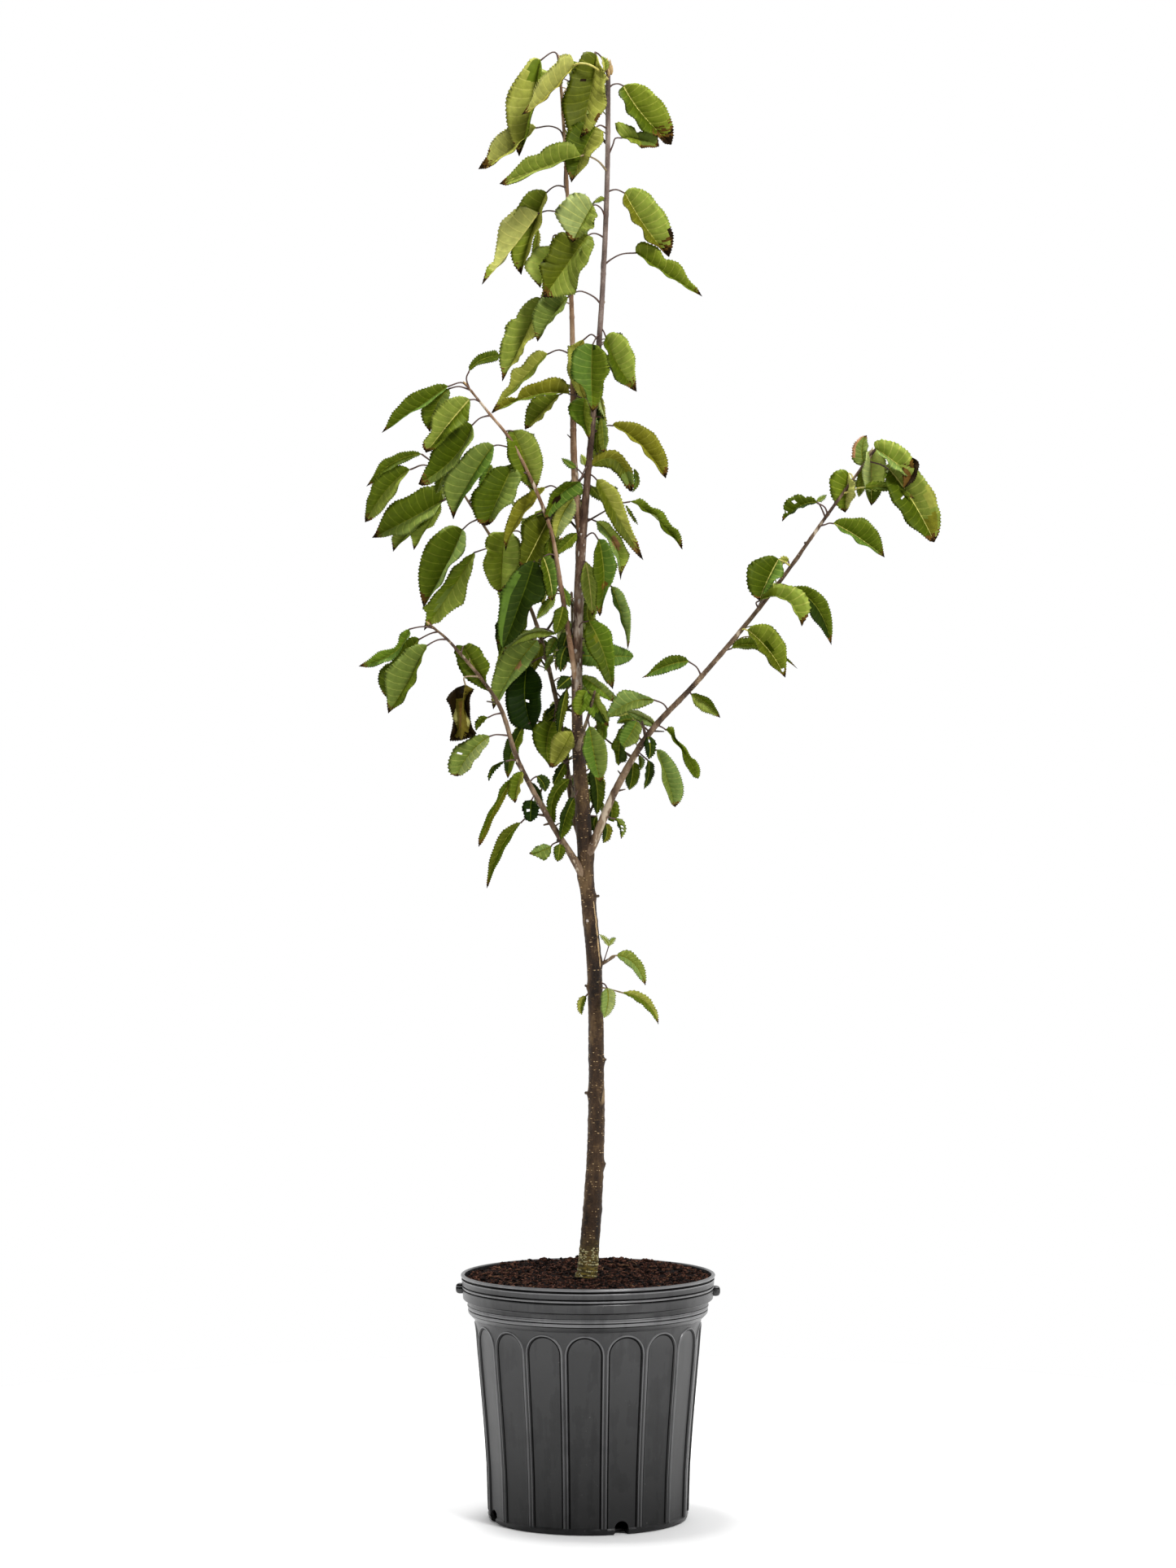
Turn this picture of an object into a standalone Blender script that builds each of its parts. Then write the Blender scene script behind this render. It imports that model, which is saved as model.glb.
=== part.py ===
"""A young cherry tree in a round nursery pot: pot, soil, trunk with two leaders,
boughs, and the masses of foliage that they carry.

Metres, +Z up.  The origin is the centre of the pot's flat underside, and -Y is
the front.  Sizes in the tables are in millimetres.
"""

import math
import random

import bmesh
import bpy
from mathutils import Vector
from mathutils.bvhtree import BVHTree

MM = 0.001
GAP = 0.3                 # clearance kept between neighbouring solids

# ------------------------------------------------------------------ the pot
POT_HEIGHT = 289.0
POT_FOOT_R = 114.0        # underside
POT_HEEL_R = 118.5        # top of the small chamfer round the foot
POT_HEEL_H = 6.0
POT_WALL = 2.6
POT_FLOOR = 4.0
POT_SHOULDER_R = 133.6    # body just under the rim steps
POT_SHOULDER_H = 233.0
POT_STEP_R = 141.8        # plain band under the flange
POT_FLANGE_R = 148.6      # flange that carries the lugs
POT_LIP_R = 150.4         # rolled lip
POT_SEGMENTS = 36
LUG_REACH = 8.6           # how far a lug stands out of the flange
LUG_WIDTH = 22.0
LUG_BOTTOM = 262.0
LUG_TOP = 275.5
NOTCHES = 4               # drain notches in the foot of the wall
NOTCH_FIRST_DEG = -70.5   # measured from +X, seen from above
NOTCH_WIDTH = 17.0
NOTCH_HEIGHT = 16.0

SOIL_TOP = 281.0

# ---------------------------------------------------------------- the limbs
# Stations along each limb's middle: right of the pot's axis, depth behind it,
# height above the underside, and radius there.
TRUNK = [
    (1.0, 0.0, SOIL_TOP + GAP, 15.0),
    (1.2, 0.0, 300.0, 11.6),
    (8.2, 2.0, 416.0, 10.3),
    (10.0, 4.0, 520.0, 9.3),
    (7.6, 4.0, 650.0, 8.9),
    (-0.9, 2.0, 744.0, 8.7),
    (-6.4, 1.0, 838.0, 9.3),
    (-12.4, 0.0, 925.0, 6.5),
    (-12.6, -1.0, 1035.0, 6.0),
    (-8.6, -3.0, 1135.0, 5.8),
    (-1.0, -7.0, 1225.0, 4.1),
    (8.6, -10.0, 1330.0, 3.3),
    (17.0, -12.0, 1450.0, 3.1),
    (22.6, -12.0, 1580.0, 3.0),
    (23.8, -10.0, 1700.0, 2.8),
    (24.1, -9.0, 1731.0, 1.9),
]
LEADER_LEFT = [
    (-7.4, -3.0, 1158.0, 4.6),
    (-12.4, 0.0, 1193.0, 4.4),
    (-17.0, 6.0, 1262.0, 3.9),
    (-18.0, 14.0, 1372.0, 3.1),
    (-21.0, 22.0, 1480.0, 2.6),
    (-26.0, 28.0, 1600.0, 2.0),
    (-31.6, 30.0, 1690.0, 1.7),
    (-35.2, 30.0, 1730.0, 1.2),
]
BOUGHS = {
    "bough_right": [
        (-4.6, 1.0, 782.0, 5.2),
        (6.0, -3.0, 797.0, 4.8),
        (32.6, -12.0, 862.0, 4.2),
        (71.5, -26.0, 930.0, 3.6),
        (131.0, -42.0, 996.0, 3.0),
        (211.5, -62.0, 1090.0, 2.4),
        (278.5, -76.0, 1185.0, 1.9),
        (324.8, -84.0, 1249.0, 1.4),
    ],
    "bough_lower_left": [
        (-3.4, 1.0, 757.0, 4.4),
        (-21.5, -8.0, 787.0, 3.9),
        (-45.0, -22.0, 825.0, 3.3),
        (-82.0, -42.0, 895.0, 2.9),
        (-105.5, -56.0, 963.0, 2.4),
        (-153.5, -78.0, 1029.0, 1.7),
        (-182.0, -88.0, 1056.0, 1.2),
    ],
    "bough_mid_left": [
        (-5.8, 1.0, 795.0, 4.6),
        (-16.2, 10.0, 832.0, 4.0),
        (-25.2, 24.0, 886.0, 3.5),
        (-37.4, 38.0, 965.0, 2.8),
        (-60.0, 52.0, 1054.0, 2.4),
        (-88.0, 62.0, 1120.0, 2.0),
        (-121.0, 72.0, 1172.0, 1.7),
        (-153.0, 80.0, 1222.0, 1.3),
    ],
    "bough_upper_left": [
        (-12.8, -1.0, 982.0, 3.7),
        (-18.6, -6.0, 1018.0, 3.3),
        (-31.4, -14.0, 1097.0, 2.7),
        (-46.6, -22.0, 1176.0, 2.3),
        (-83.6, -33.0, 1263.0, 1.9),
        (-116.0, -40.0, 1305.0, 1.6),
        (-142.8, -45.0, 1336.0, 1.2),
    ],
    "bough_back": [
        (-7.8, 1.0, 852.0, 3.6),
        (-10.0, 24.0, 886.0, 3.1),
        (-13.0, 58.0, 946.0, 2.6),
        (-17.0, 88.0, 1020.0, 2.1),
        (-20.0, 108.0, 1100.0, 1.5),
    ],
    "bough_front": [
        (-13.0, 0.0, 905.0, 3.2),
        (-8.0, -22.0, 924.0, 2.6),
        (0.0, -50.0, 946.0, 2.0),
        (8.0, -74.0, 976.0, 1.4),
    ],
    "trunk_shoot": [
        (6.8, 4.0, 651.0, 2.6),
        (18.0, 0.0, 656.0, 2.1),
        (31.0, -6.0, 664.0, 1.5),
    ],
}

# -------------------------------------------------------------- the foliage
# Each mass: centre, half sizes, how many leaf-sized swellings its surface has,
# its seed, and the leaf tips that it has to reach, measured from its centre.
MASSES = {
    "foliage_top_left": ((-76, 24, 1658), (44, 44, 64), 11, 11,
                         [(20, 0, 76), (-54, 10, -61), (-28, -14, -80), (-24, 6, 46)]),
    "foliage_top_right": ((24, -8, 1662), (40, 42, 58), 11, 12,
                          [(-22, -8, 73), (-43, -12, -80), (74, 10, -34), (44, 16, 52)]),
    "foliage_upper_left": ((-62, 20, 1464), (44, 42, 76), 12, 13,
                           [(-62, 14, -4), (-40, 30, -114), (14, -6, 108), (60, -22, 54)]),
    "foliage_upper_right": ((50, -12, 1522), (40, 38, 40), 10, 14,
                            [(45, -16, -31), (84, 8, -76), (-66, -22, -10), (-6, 10, 50)]),
    "foliage_middle_left": ((-66, -14, 1332), (38, 36, 36), 9, 15,
                            [(-48, -8, -27), (18, -6, 44), (-8, -16, -44)]),
    "foliage_middle_right": ((30, -12, 1308), (34, 40, 66), 11, 16,
                             [(28, 14, 24), (-8, -14, 90), (62, -10, -75), (17, 12, -96)]),
    "foliage_left_high": ((-146, -50, 1268), (50, 30, 64), 12, 17,
                          [(-94, -10, 16), (-54, -20, -42), (-12, 4, -86), (22, 10, -90),
                           (80, 14, -46), (42, 6, 104)]),
    "foliage_left_mid": ((-190, 82, 1164), (52, 28, 58), 12, 18,
                         [(-76, 22, 58), (-76, -6, 16), (-44, 10, -22), (-4, -14, -108),
                          (70, 6, -58)]),
    "foliage_core_left": ((-58, 2, 1164), (34, 34, 44), 10, 19,
                          [(-40, 6, -18), (44, -14, 62), (-28, -14, -44), (14, -16, -76)]),
    "foliage_inner_left": ((-70, -4, 1014), (32, 34, 60), 11, 20,
                           [(-34, 6, 20), (6, 10, 102), (-42, -14, -54), (6, -8, -80),
                            (26, 28, -116)]),
    "foliage_core_right": ((34, 0, 1120), (34, 42, 64), 11, 21,
                           [(32, -16, 12), (76, 8, 26), (14, 14, -92), (-6, -6, -138),
                            (-22, -10, 108)]),
    "foliage_lower_left": ((-180, -86, 1002), (50, 26, 46), 11, 22,
                           [(-86, -8, 6), (-54, -18, -50), (34, -6, -82), (62, 14, -26)]),
    "foliage_low_left": ((-80, -14, 866), (38, 32, 50), 11, 23,
                         [(-76, -10, 12), (-40, 12, -122), (-48, -14, -70), (52, -26, 46),
                          (42, 8, -88)]),
    "foliage_low_right": ((72, -14, 912), (38, 34, 44), 11, 24,
                          [(-50, -12, 34), (-8, 8, 80), (82, -10, 36), (56, 12, -38),
                           (30, -16, -70), (-34, 4, -104)]),
    "foliage_right_mid": ((222, -62, 1060), (42, 24, 42), 10, 25,
                          [(6, 6, 72), (66, 8, -28), (12, -14, -66), (-50, -6, -32)]),
    "foliage_right_tip": ((332, -84, 1212), (44, 24, 38), 10, 26,
                          [(-102, -8, -34), (10, 6, 68), (74, -10, -57), (34, 12, 30),
                           (14, -6, -74)]),
    "foliage_back": ((-26, 136, 1052), (46, 36, 88), 12, 27,
                     [(-34, 30, -72), (36, 26, 10), (0, 10, 118)]),
    "foliage_front": ((12, -108, 938), (28, 32, 56), 9, 28,
                      [(14, -14, 68), (2, -34, -66)]),
    "foliage_shoot": ((42, -14, 646), (20, 18, 26), 8, 29,
                      [(-18, 4, 44), (26, 8, -16), (-22, 6, -54), (42, -8, -62)]),
}
MASS_POINTS = 90          # corners of each mass
BASE_SHARE = 0.80         # how far the hollows between swellings lie from the centre
SWELL_WIDTH = 0.44        # angular width of a swelling, radians
REACH_WIDTH = 0.36        # the same at a leaf tip
LIMB_CLEARANCE = 1.2      # between a mass and a limb that runs through it

COLOURS = {
    "pot": ((0.055, 0.055, 0.058), 0.55),
    "soil": ((0.050, 0.026, 0.018), 0.95),
    "bark": ((0.115, 0.080, 0.060), 0.75),
    "leaf": ((0.060, 0.105, 0.045), 0.55),
}


def clear_scene():
    for obj in list(bpy.data.objects):
        bpy.data.objects.remove(obj, do_unlink=True)
    for mesh in list(bpy.data.meshes):
        bpy.data.meshes.remove(mesh)


def material(name, look):
    colour, rough = COLOURS[look]
    made = bpy.data.materials.new(name)
    made.use_nodes = True
    shader = made.node_tree.nodes["Principled BSDF"]
    shader.inputs["Base Color"].default_value = (*colour, 1.0)
    shader.inputs["Roughness"].default_value = rough
    shader.inputs["Metallic"].default_value = 0.0
    return made


def add_object(name, bm, look, smooth_deg=35.0):
    bmesh.ops.recalc_face_normals(bm, faces=bm.faces[:])
    mesh = bpy.data.meshes.new(name)
    bm.to_mesh(mesh)
    bm.free()
    obj = bpy.data.objects.new(name, mesh)
    bpy.context.scene.collection.objects.link(obj)
    if look:
        mesh.materials.append(material(name, look))
    mesh.shade_smooth()
    mesh.set_sharp_from_angle(angle=math.radians(smooth_deg))
    return obj


def as_cutter(obj):
    obj.hide_render = True
    obj.display_type = "WIRE"
    return obj


def subtract(obj, cutter, label):
    cut = obj.modifiers.new(label, "BOOLEAN")
    cut.operation = "DIFFERENCE"
    cut.solver = "EXACT"
    cut.object = cutter


# --------------------------------------------------------------- turned work
def turned(profile, segments):
    """A closed turned solid from a closed loop of (radius, height) in mm."""
    bm = bmesh.new()
    rings = []
    for radius, height in profile:
        if radius < 1e-6:
            rings.append([bm.verts.new((0, 0, height * MM))])
            continue
        rings.append([
            bm.verts.new((radius * MM * math.cos(2 * math.pi * k / segments),
                          radius * MM * math.sin(2 * math.pi * k / segments),
                          height * MM))
            for k in range(segments)])
    for lower, upper in zip(rings, rings[1:]):
        for k in range(segments):
            n = (k + 1) % segments
            if len(lower) == 1:
                bm.faces.new((lower[0], upper[k], upper[n]))
            elif len(upper) == 1:
                bm.faces.new((lower[k], lower[n], upper[0]))
            else:
                bm.faces.new((lower[k], lower[n], upper[n], upper[k]))
    return bm


def pot_outside():
    """Outer profile from the middle of the underside up to the lip's crown."""
    return [
        (0.0, 0.0),
        (POT_FOOT_R, 0.0),
        (POT_HEEL_R, POT_HEEL_H),
        (120.3, 62.0),
        (123.6, 110.0),
        (128.0, 160.0),
        (132.0, 206.0),
        (POT_SHOULDER_R, POT_SHOULDER_H),
        (POT_STEP_R - 3.5, 238.0),
        (POT_STEP_R, 244.0),
        (POT_STEP_R + 0.4, 257.5),
        (POT_FLANGE_R - 0.8, 263.0),
        (POT_FLANGE_R, 276.0),
        (POT_LIP_R - 1.6, 279.0),
        (POT_LIP_R, 284.0),
        (POT_LIP_R - 1.0, POT_HEIGHT - 1.0),
        (POT_LIP_R - 2.6, POT_HEIGHT),
    ]


def pot_inside():
    """Inner profile, from the lip down to the middle of the floor."""
    return [
        (POT_LIP_R - 4.4, POT_HEIGHT - 0.8),
        (POT_FLANGE_R - POT_WALL, 262.0),
        (POT_STEP_R - POT_WALL, 255.0),
        (POT_STEP_R - POT_WALL - 0.8, 246.0),
        (POT_SHOULDER_R - POT_WALL, 236.0),
        (132.0 - POT_WALL, 206.0),
        (128.0 - POT_WALL, 160.0),
        (123.6 - POT_WALL, 110.0),
        (120.3 - POT_WALL, 62.0),
        (POT_HEEL_R - POT_WALL, POT_HEEL_H + POT_FLOOR),
        (POT_FOOT_R - POT_WALL, POT_FLOOR),
        (0.0, POT_FLOOR),
    ]


def inner_radius(height):
    profile = sorted(pot_inside()[:-1], key=lambda p: p[1])
    for (r0, z0), (r1, z1) in zip(profile, profile[1:]):
        if z0 <= height <= z1:
            return r0 + (r1 - r0) * (height - z0) / (z1 - z0)
    return profile[-1][0] if height > profile[-1][1] else profile[0][0]


def block(name, low, high, turn_deg):
    """A box cut out of a right-angled corner pair, turned about the pot's axis."""
    bm = bmesh.new()
    bmesh.ops.create_cube(bm, size=1.0)
    turn = math.radians(turn_deg)
    for vert in bm.verts:
        x, y, z = (lo + (hi - lo) * (c + 0.5) for lo, hi, c in zip(low, high, vert.co))
        vert.co = Vector((x * math.cos(turn) - y * math.sin(turn),
                          x * math.sin(turn) + y * math.cos(turn), z)) * MM
    return add_object(name, bm, None)


def arch(name, radius, turn_deg):
    """An arched prism through the foot of the wall, for a drain notch."""
    bm = bmesh.new()
    half = NOTCH_WIDTH / 2
    outline = [(-half, -3.0), (half, -3.0)]
    steps = 6
    for k in range(steps + 1):
        a = math.pi * k / steps
        outline.append((half * math.cos(a), NOTCH_HEIGHT - half + half * math.sin(a)))
    turn = math.radians(turn_deg)
    faces = []
    for depth in (radius - 9.0, radius + 9.0):
        faces.append([
            bm.verts.new(Vector((depth * math.cos(turn) - y * math.sin(turn),
                                 depth * math.sin(turn) + y * math.cos(turn), z)) * MM)
            for y, z in outline])
    count = len(outline)
    bm.faces.new(faces[0][::-1])
    bm.faces.new(faces[1])
    for k in range(count):
        n = (k + 1) % count
        bm.faces.new((faces[0][k], faces[0][n], faces[1][n], faces[1][k]))
    return add_object(name, bm, None)


def make_pot():
    profile = pot_outside() + pot_inside()
    pot = add_object("pot", turned(profile, POT_SEGMENTS), "pot", 30.0)
    for k, side in enumerate((0.0, 180.0)):
        lug = as_cutter(block(f"lug_{k}", (POT_FLANGE_R - 1.6, -LUG_WIDTH / 2, LUG_BOTTOM),
                              (POT_FLANGE_R + LUG_REACH, LUG_WIDTH / 2, LUG_TOP), side))
        join = pot.modifiers.new(f"lug_{k}", "BOOLEAN")
        join.operation = "UNION"
        join.solver = "EXACT"
        join.object = lug
    for k in range(NOTCHES):
        cutter = as_cutter(arch(f"notch_{k}", POT_FOOT_R, NOTCH_FIRST_DEG + 360.0 * k / NOTCHES))
        subtract(pot, cutter, f"notch_{k}")
    return pot


def make_soil():
    """Fills the pot from floor to SOIL_TOP, clear of the wall all round."""
    heights = sorted(z for _, z in pot_inside() if POT_FLOOR + 17.0 < z < SOIL_TOP)
    heights = [POT_FLOOR + 17.0] + heights + [SOIL_TOP]
    profile = [(0.0, POT_FLOOR + GAP), (POT_FOOT_R - 12.0, POT_FLOOR + GAP)]
    profile += [(inner_radius(z) - 2.5 * GAP, z) for z in heights]
    profile.append((0.0, SOIL_TOP))
    return add_object("soil", turned(profile, POT_SEGMENTS // 2), "soil", 30.0)


# --------------------------------------------------------------------- limbs
def smooth_route(stations, step=14.0):
    """Points along a limb, through its stations, as (place, radius) in mm."""
    points = [Vector(s[:3]) for s in stations]
    radii = [s[3] for s in stations]
    route = []
    for i in range(len(points) - 1):
        p1, p2 = points[i], points[i + 1]
        p0 = points[i - 1] if i else p1 * 2 - p2
        p3 = points[i + 2] if i + 2 < len(points) else p2 * 2 - p1
        pieces = max(1, round((p2 - p1).length / step))
        for k in range(pieces):
            t = k / pieces
            place = 0.5 * ((2 * p1) + (p2 - p0) * t
                           + (2 * p0 - 5 * p1 + 4 * p2 - p3) * t * t
                           + (3 * p1 - p0 - 3 * p2 + p3) * t ** 3)
            route.append((place, radii[i] + (radii[i + 1] - radii[i]) * t))
    route.append((points[-1], radii[-1]))
    return route


def tube(route, sides, extra=0.0, run_on=0.0):
    """A tapering limb with flat ends.  extra widens it, run_on lengthens it."""
    bm = bmesh.new()
    places = [p.copy() for p, _ in route]
    radii = [r + extra for _, r in route]
    if run_on:
        places[0] = places[0] - (places[1] - places[0]).normalized() * run_on
        places[-1] = places[-1] + (places[-1] - places[-2]).normalized() * run_on
    side = Vector((1, 0, 0))
    rings = []
    for i, (place, radius) in enumerate(zip(places, radii)):
        along = (places[min(i + 1, len(places) - 1)] - places[max(i - 1, 0)]).normalized()
        if i == 0 and not run_on and abs(places[0].z - (SOIL_TOP + GAP)) < 1e-6:
            along = Vector((0, 0, 1))
        side = (side - along * side.dot(along)).normalized()
        across = along.cross(side)
        rings.append([
            bm.verts.new((place + (side * math.cos(2 * math.pi * k / sides)
                                   + across * math.sin(2 * math.pi * k / sides)) * radius) * MM)
            for k in range(sides)])
    bm.faces.new(rings[0][::-1])
    bm.faces.new(rings[-1])
    for lower, upper in zip(rings, rings[1:]):
        for k in range(sides):
            n = (k + 1) % sides
            bm.faces.new((lower[k], lower[n], upper[n], upper[k]))
    return bm


def tree_of(obj, graph):
    return BVHTree.FromObject(obj, graph)


def inside(tree, place):
    """Whether a point in mm lies inside a closed mesh."""
    spot = Vector(place) * MM
    hits, origin = 0, spot.copy()
    for _ in range(40):
        found = tree.ray_cast(origin, Vector((0.31, 0.22, 0.92)).normalized())
        if found[0] is None:
            break
        hits += 1
        origin = found[0] + Vector((0.31, 0.22, 0.92)).normalized() * 1e-6
    return hits % 2 == 1


# ------------------------------------------------------------------- foliage
def spiral_directions(count, seed):
    """Evenly spread directions, each moved a little by a seeded chance."""
    chance = random.Random(seed)
    golden = math.pi * (3 - math.sqrt(5))
    stray = 0.8 / math.sqrt(count)
    made = []
    for k in range(count):
        z = 1 - 2 * (k + 0.5) / count
        flat = math.sqrt(1 - z * z)
        turn = golden * k + seed
        made.append(Vector((flat * math.cos(turn) + chance.uniform(-stray, stray),
                            flat * math.sin(turn) + chance.uniform(-stray, stray),
                            z + chance.uniform(-stray, stray))).normalized())
    return made, chance


def ellipsoid_radius(direction, half):
    return 1 / math.sqrt(sum((d / h) ** 2 for d, h in zip(direction, half)))


def mass_mesh(centre, half, count, seed, tips, extra=0.0):
    """One closed, uneven solid whose swellings point like the leaves it stands for."""
    directions, chance = spiral_directions(count, seed)
    swellings = [(d, ellipsoid_radius(d, half) * chance.uniform(0.88, 1.12), SWELL_WIDTH)
                 for d in directions]
    swellings += [(Vector(t).normalized(), Vector(t).length, REACH_WIDTH) for t in tips]
    bm = bmesh.new()
    # corners spread over a sphere, with one on each leaf tip so that the solid reaches it
    aims = [Vector(t).normalized() for t in tips]
    spread = [d for d in spiral_directions(MASS_POINTS, seed)[0]
              if all(d.angle(aim) > 0.10 for aim in aims)]
    for d in aims + spread:
        bm.verts.new(d)
    hull = bmesh.ops.convex_hull(bm, input=bm.verts[:])
    bmesh.ops.delete(bm, geom=[v for v in hull["geom_interior"]], context="VERTS")
    for vert in bm.verts:
        d = vert.co.normalized()
        base = ellipsoid_radius(d, half) * BASE_SHARE
        length = base
        for aim, reach, width in swellings:
            angle = math.acos(max(-1.0, min(1.0, d.dot(aim))))
            share = math.exp(-((angle / width) ** 2))
            length = max(length, base + (reach - base) * share)
        vert.co = (Vector(centre) + d * (length + extra)) * MM
    return bm


def main():
    clear_scene()
    make_pot()
    make_soil()

    routes = {"trunk": smooth_route(TRUNK, 36.0), "leader_left": smooth_route(LEADER_LEFT, 34.0)}
    for name, stations in BOUGHS.items():
        routes[name] = smooth_route(stations, 18.0)
    sides = {"trunk": 10, "leader_left": 7}

    masses = {name: add_object(name, mass_mesh(*sizes), "leaf", 180.0)
              for name, sizes in MASSES.items()}
    bpy.context.view_layer.update()
    graph = bpy.context.evaluated_depsgraph_get()
    trees = {name: tree_of(obj, graph) for name, obj in masses.items()}

    # a bough stops just short of the mass at its tip
    for name in BOUGHS:
        tip_place = routes[name][-1][0]
        holders = [m for m in masses if inside(trees[m], tip_place)]
        if not holders:
            continue
        kept = list(routes[name])
        while len(kept) > 2 and inside(trees[holders[0]], kept[-1][0]):
            last = kept.pop()
        low, high = kept[-1], last
        for _ in range(12):
            middle = ((low[0] + high[0]) / 2, (low[1] + high[1]) / 2)
            if inside(trees[holders[0]], middle[0]):
                high = middle
            else:
                low = middle
        back = (high[0] - kept[-1][0])
        if back.length > 6.0:
            kept.append((high[0] - back.normalized() * 4.0, low[1]))
        routes[name] = kept

    limbs = {}
    for name, route in routes.items():
        limbs[name] = add_object(name, tube(route, sides.get(name, 6)), "bark", 60.0)

    # each side limb meets the trunk with a fitted foot
    collar = as_cutter(add_object("trunk_collar", tube(routes["trunk"], 10, GAP, 1.0), None))
    for name, obj in limbs.items():
        if name != "trunk":
            subtract(obj, collar, "fit_to_trunk")

    # a mass that a limb runs through is cut round it
    for limb, route in routes.items():
        dense = []
        for (p, r), (q, s) in zip(route, route[1:]):
            dense += [(p.lerp(q, k / 4), r + (s - r) * k / 4) for k in range(4)]
        sleeve = None
        for mass, tree in trees.items():
            near = False
            for place, radius in dense:
                spot = tree.find_nearest(place * MM)
                if spot[3] is not None and spot[3] / MM < radius + LIMB_CLEARANCE + 0.6:
                    near = True
                    break
                if inside(tree, place):
                    near = True
                    break
            if near:
                if sleeve is None:
                    sleeve = as_cutter(add_object(
                        f"{limb}_sleeve",
                        tube(route, sides.get(limb, 6), LIMB_CLEARANCE, LIMB_CLEARANCE), None))
                subtract(masses[mass], sleeve, f"round_{limb}")


main()
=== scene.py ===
import math
import random

import bmesh
import bpy
import numpy as np
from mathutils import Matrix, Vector, noise


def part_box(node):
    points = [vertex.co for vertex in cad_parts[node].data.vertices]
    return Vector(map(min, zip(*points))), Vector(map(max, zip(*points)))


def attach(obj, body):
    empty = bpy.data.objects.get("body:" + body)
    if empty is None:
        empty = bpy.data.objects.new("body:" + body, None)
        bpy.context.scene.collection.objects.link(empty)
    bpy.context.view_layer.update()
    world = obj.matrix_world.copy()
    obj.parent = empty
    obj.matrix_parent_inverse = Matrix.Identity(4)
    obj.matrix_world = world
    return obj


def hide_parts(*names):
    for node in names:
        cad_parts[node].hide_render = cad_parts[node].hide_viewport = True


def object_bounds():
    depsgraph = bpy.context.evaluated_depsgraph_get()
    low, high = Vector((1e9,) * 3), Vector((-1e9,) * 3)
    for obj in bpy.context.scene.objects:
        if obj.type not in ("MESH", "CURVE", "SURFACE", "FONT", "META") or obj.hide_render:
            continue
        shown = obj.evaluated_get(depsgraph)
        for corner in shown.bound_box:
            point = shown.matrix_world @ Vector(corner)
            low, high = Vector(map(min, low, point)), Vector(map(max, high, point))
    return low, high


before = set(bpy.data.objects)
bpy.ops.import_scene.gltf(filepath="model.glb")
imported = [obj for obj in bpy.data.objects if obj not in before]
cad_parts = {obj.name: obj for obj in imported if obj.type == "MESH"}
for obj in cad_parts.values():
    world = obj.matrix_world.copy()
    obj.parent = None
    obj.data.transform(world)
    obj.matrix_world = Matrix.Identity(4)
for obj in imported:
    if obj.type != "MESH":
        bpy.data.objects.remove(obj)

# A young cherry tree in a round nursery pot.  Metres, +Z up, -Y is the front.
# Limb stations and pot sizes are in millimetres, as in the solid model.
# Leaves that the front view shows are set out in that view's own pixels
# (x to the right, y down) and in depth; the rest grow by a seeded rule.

cad_low, cad_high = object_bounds()
MM = 0.001

# ------------------------------------------------------------------ the view
FOCAL = 4774.0
CENTRE_X, CENTRE_Y = 722.5, 963.5
EYE_BACK, EYE_HIGH = 4.6, 0.868
PX = EYE_BACK / FOCAL            # metres to a pixel at the pot's axis


def to_world(points):
    """(x, y, depth) in pixels to metres."""
    p = np.asarray(points, float)
    depth = p[..., 2] * PX
    far = EYE_BACK + depth
    return np.stack([(p[..., 0] - CENTRE_X) * far / FOCAL, depth,
                     EYE_HIGH - (p[..., 1] - CENTRE_Y) * far / FOCAL], -1)


def to_view(points):
    """Metres to (x, y, depth) in pixels."""
    p = np.asarray(points, float)
    far = EYE_BACK + p[..., 1]
    return np.stack([CENTRE_X + p[..., 0] * FOCAL / far,
                     CENTRE_Y - (p[..., 2] - EYE_HIGH) * FOCAL / far,
                     p[..., 1] / PX], -1)


# ------------------------------------------------------------------- colours
def linear(rgb, gain=1.0):
    made = []
    for c in rgb:
        c = c / 255.0
        made.append(gain * (c / 12.92 if c <= 0.04045 else ((c + 0.055) / 1.055) ** 2.4))
    return made


# Leaf tones, dealt one to each half of a leaf. Besides the leaves' own colours, the tones carry painted light and
# shade: the half of a folded leaf that faces away from the light is dealt a darker tone than the half that faces it, BB
# is a pale tone that paints light on leaves lying in shadow, and SH is a near-black green that paints deep shade.
LEAF_COLOURS = {
    "DK": (70, 89, 12), "VD": (36, 54, 14), "MD": (98, 120, 32), "LT": (126, 146, 70),
    "YG": (152, 162, 82), "VB": (146, 170, 80), "PB": (116, 144, 90), "BG": (84, 116, 52),
    "BR": (92, 122, 34), "OL": (98, 104, 26), "OY": (124, 128, 44), "YB": (142, 142, 66),
    "GG": (108, 130, 72), "DB": (44, 64, 26), "DO": (80, 92, 22), "BB": (184, 208, 112),
    "PG": (144, 164, 116), "PY": (172, 182, 112), "MG": (122, 142, 50), "MK": (86, 106, 24),
    "SH": (22, 42, 6),
}
OTHER_COLOURS = {
    "rib": (116, 128, 50), "ribpale": (190, 194, 120), "ribdark": (92, 104, 44),
    "scorch": (36, 26, 22), "brown": (98, 74, 44), "pink": (170, 132, 118),
    # the near-black roll colour is painted shade in the rolled leaf
    "roll": (96, 90, 42), "rolldark": (30, 22, 12), "rollpale": (158, 160, 110), "rollbrown": (112, 90, 52),
    "blotch": (110, 84, 48),
}
BACK_OF = {"DK": "LT", "VD": "GG", "MD": "LT", "LT": "DK", "YG": "DK", "VB": "MD", "PB": "DK",
           "BG": "GG", "BR": "LT", "OL": "YG", "OY": "YG", "YB": "OL", "GG": "DB", "DB": "GG",
           "DO": "LT", "BB": "MD", "PG": "DK", "PY": "MD", "MG": "LT", "MK": "LT", "SH": "VD"}
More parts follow.
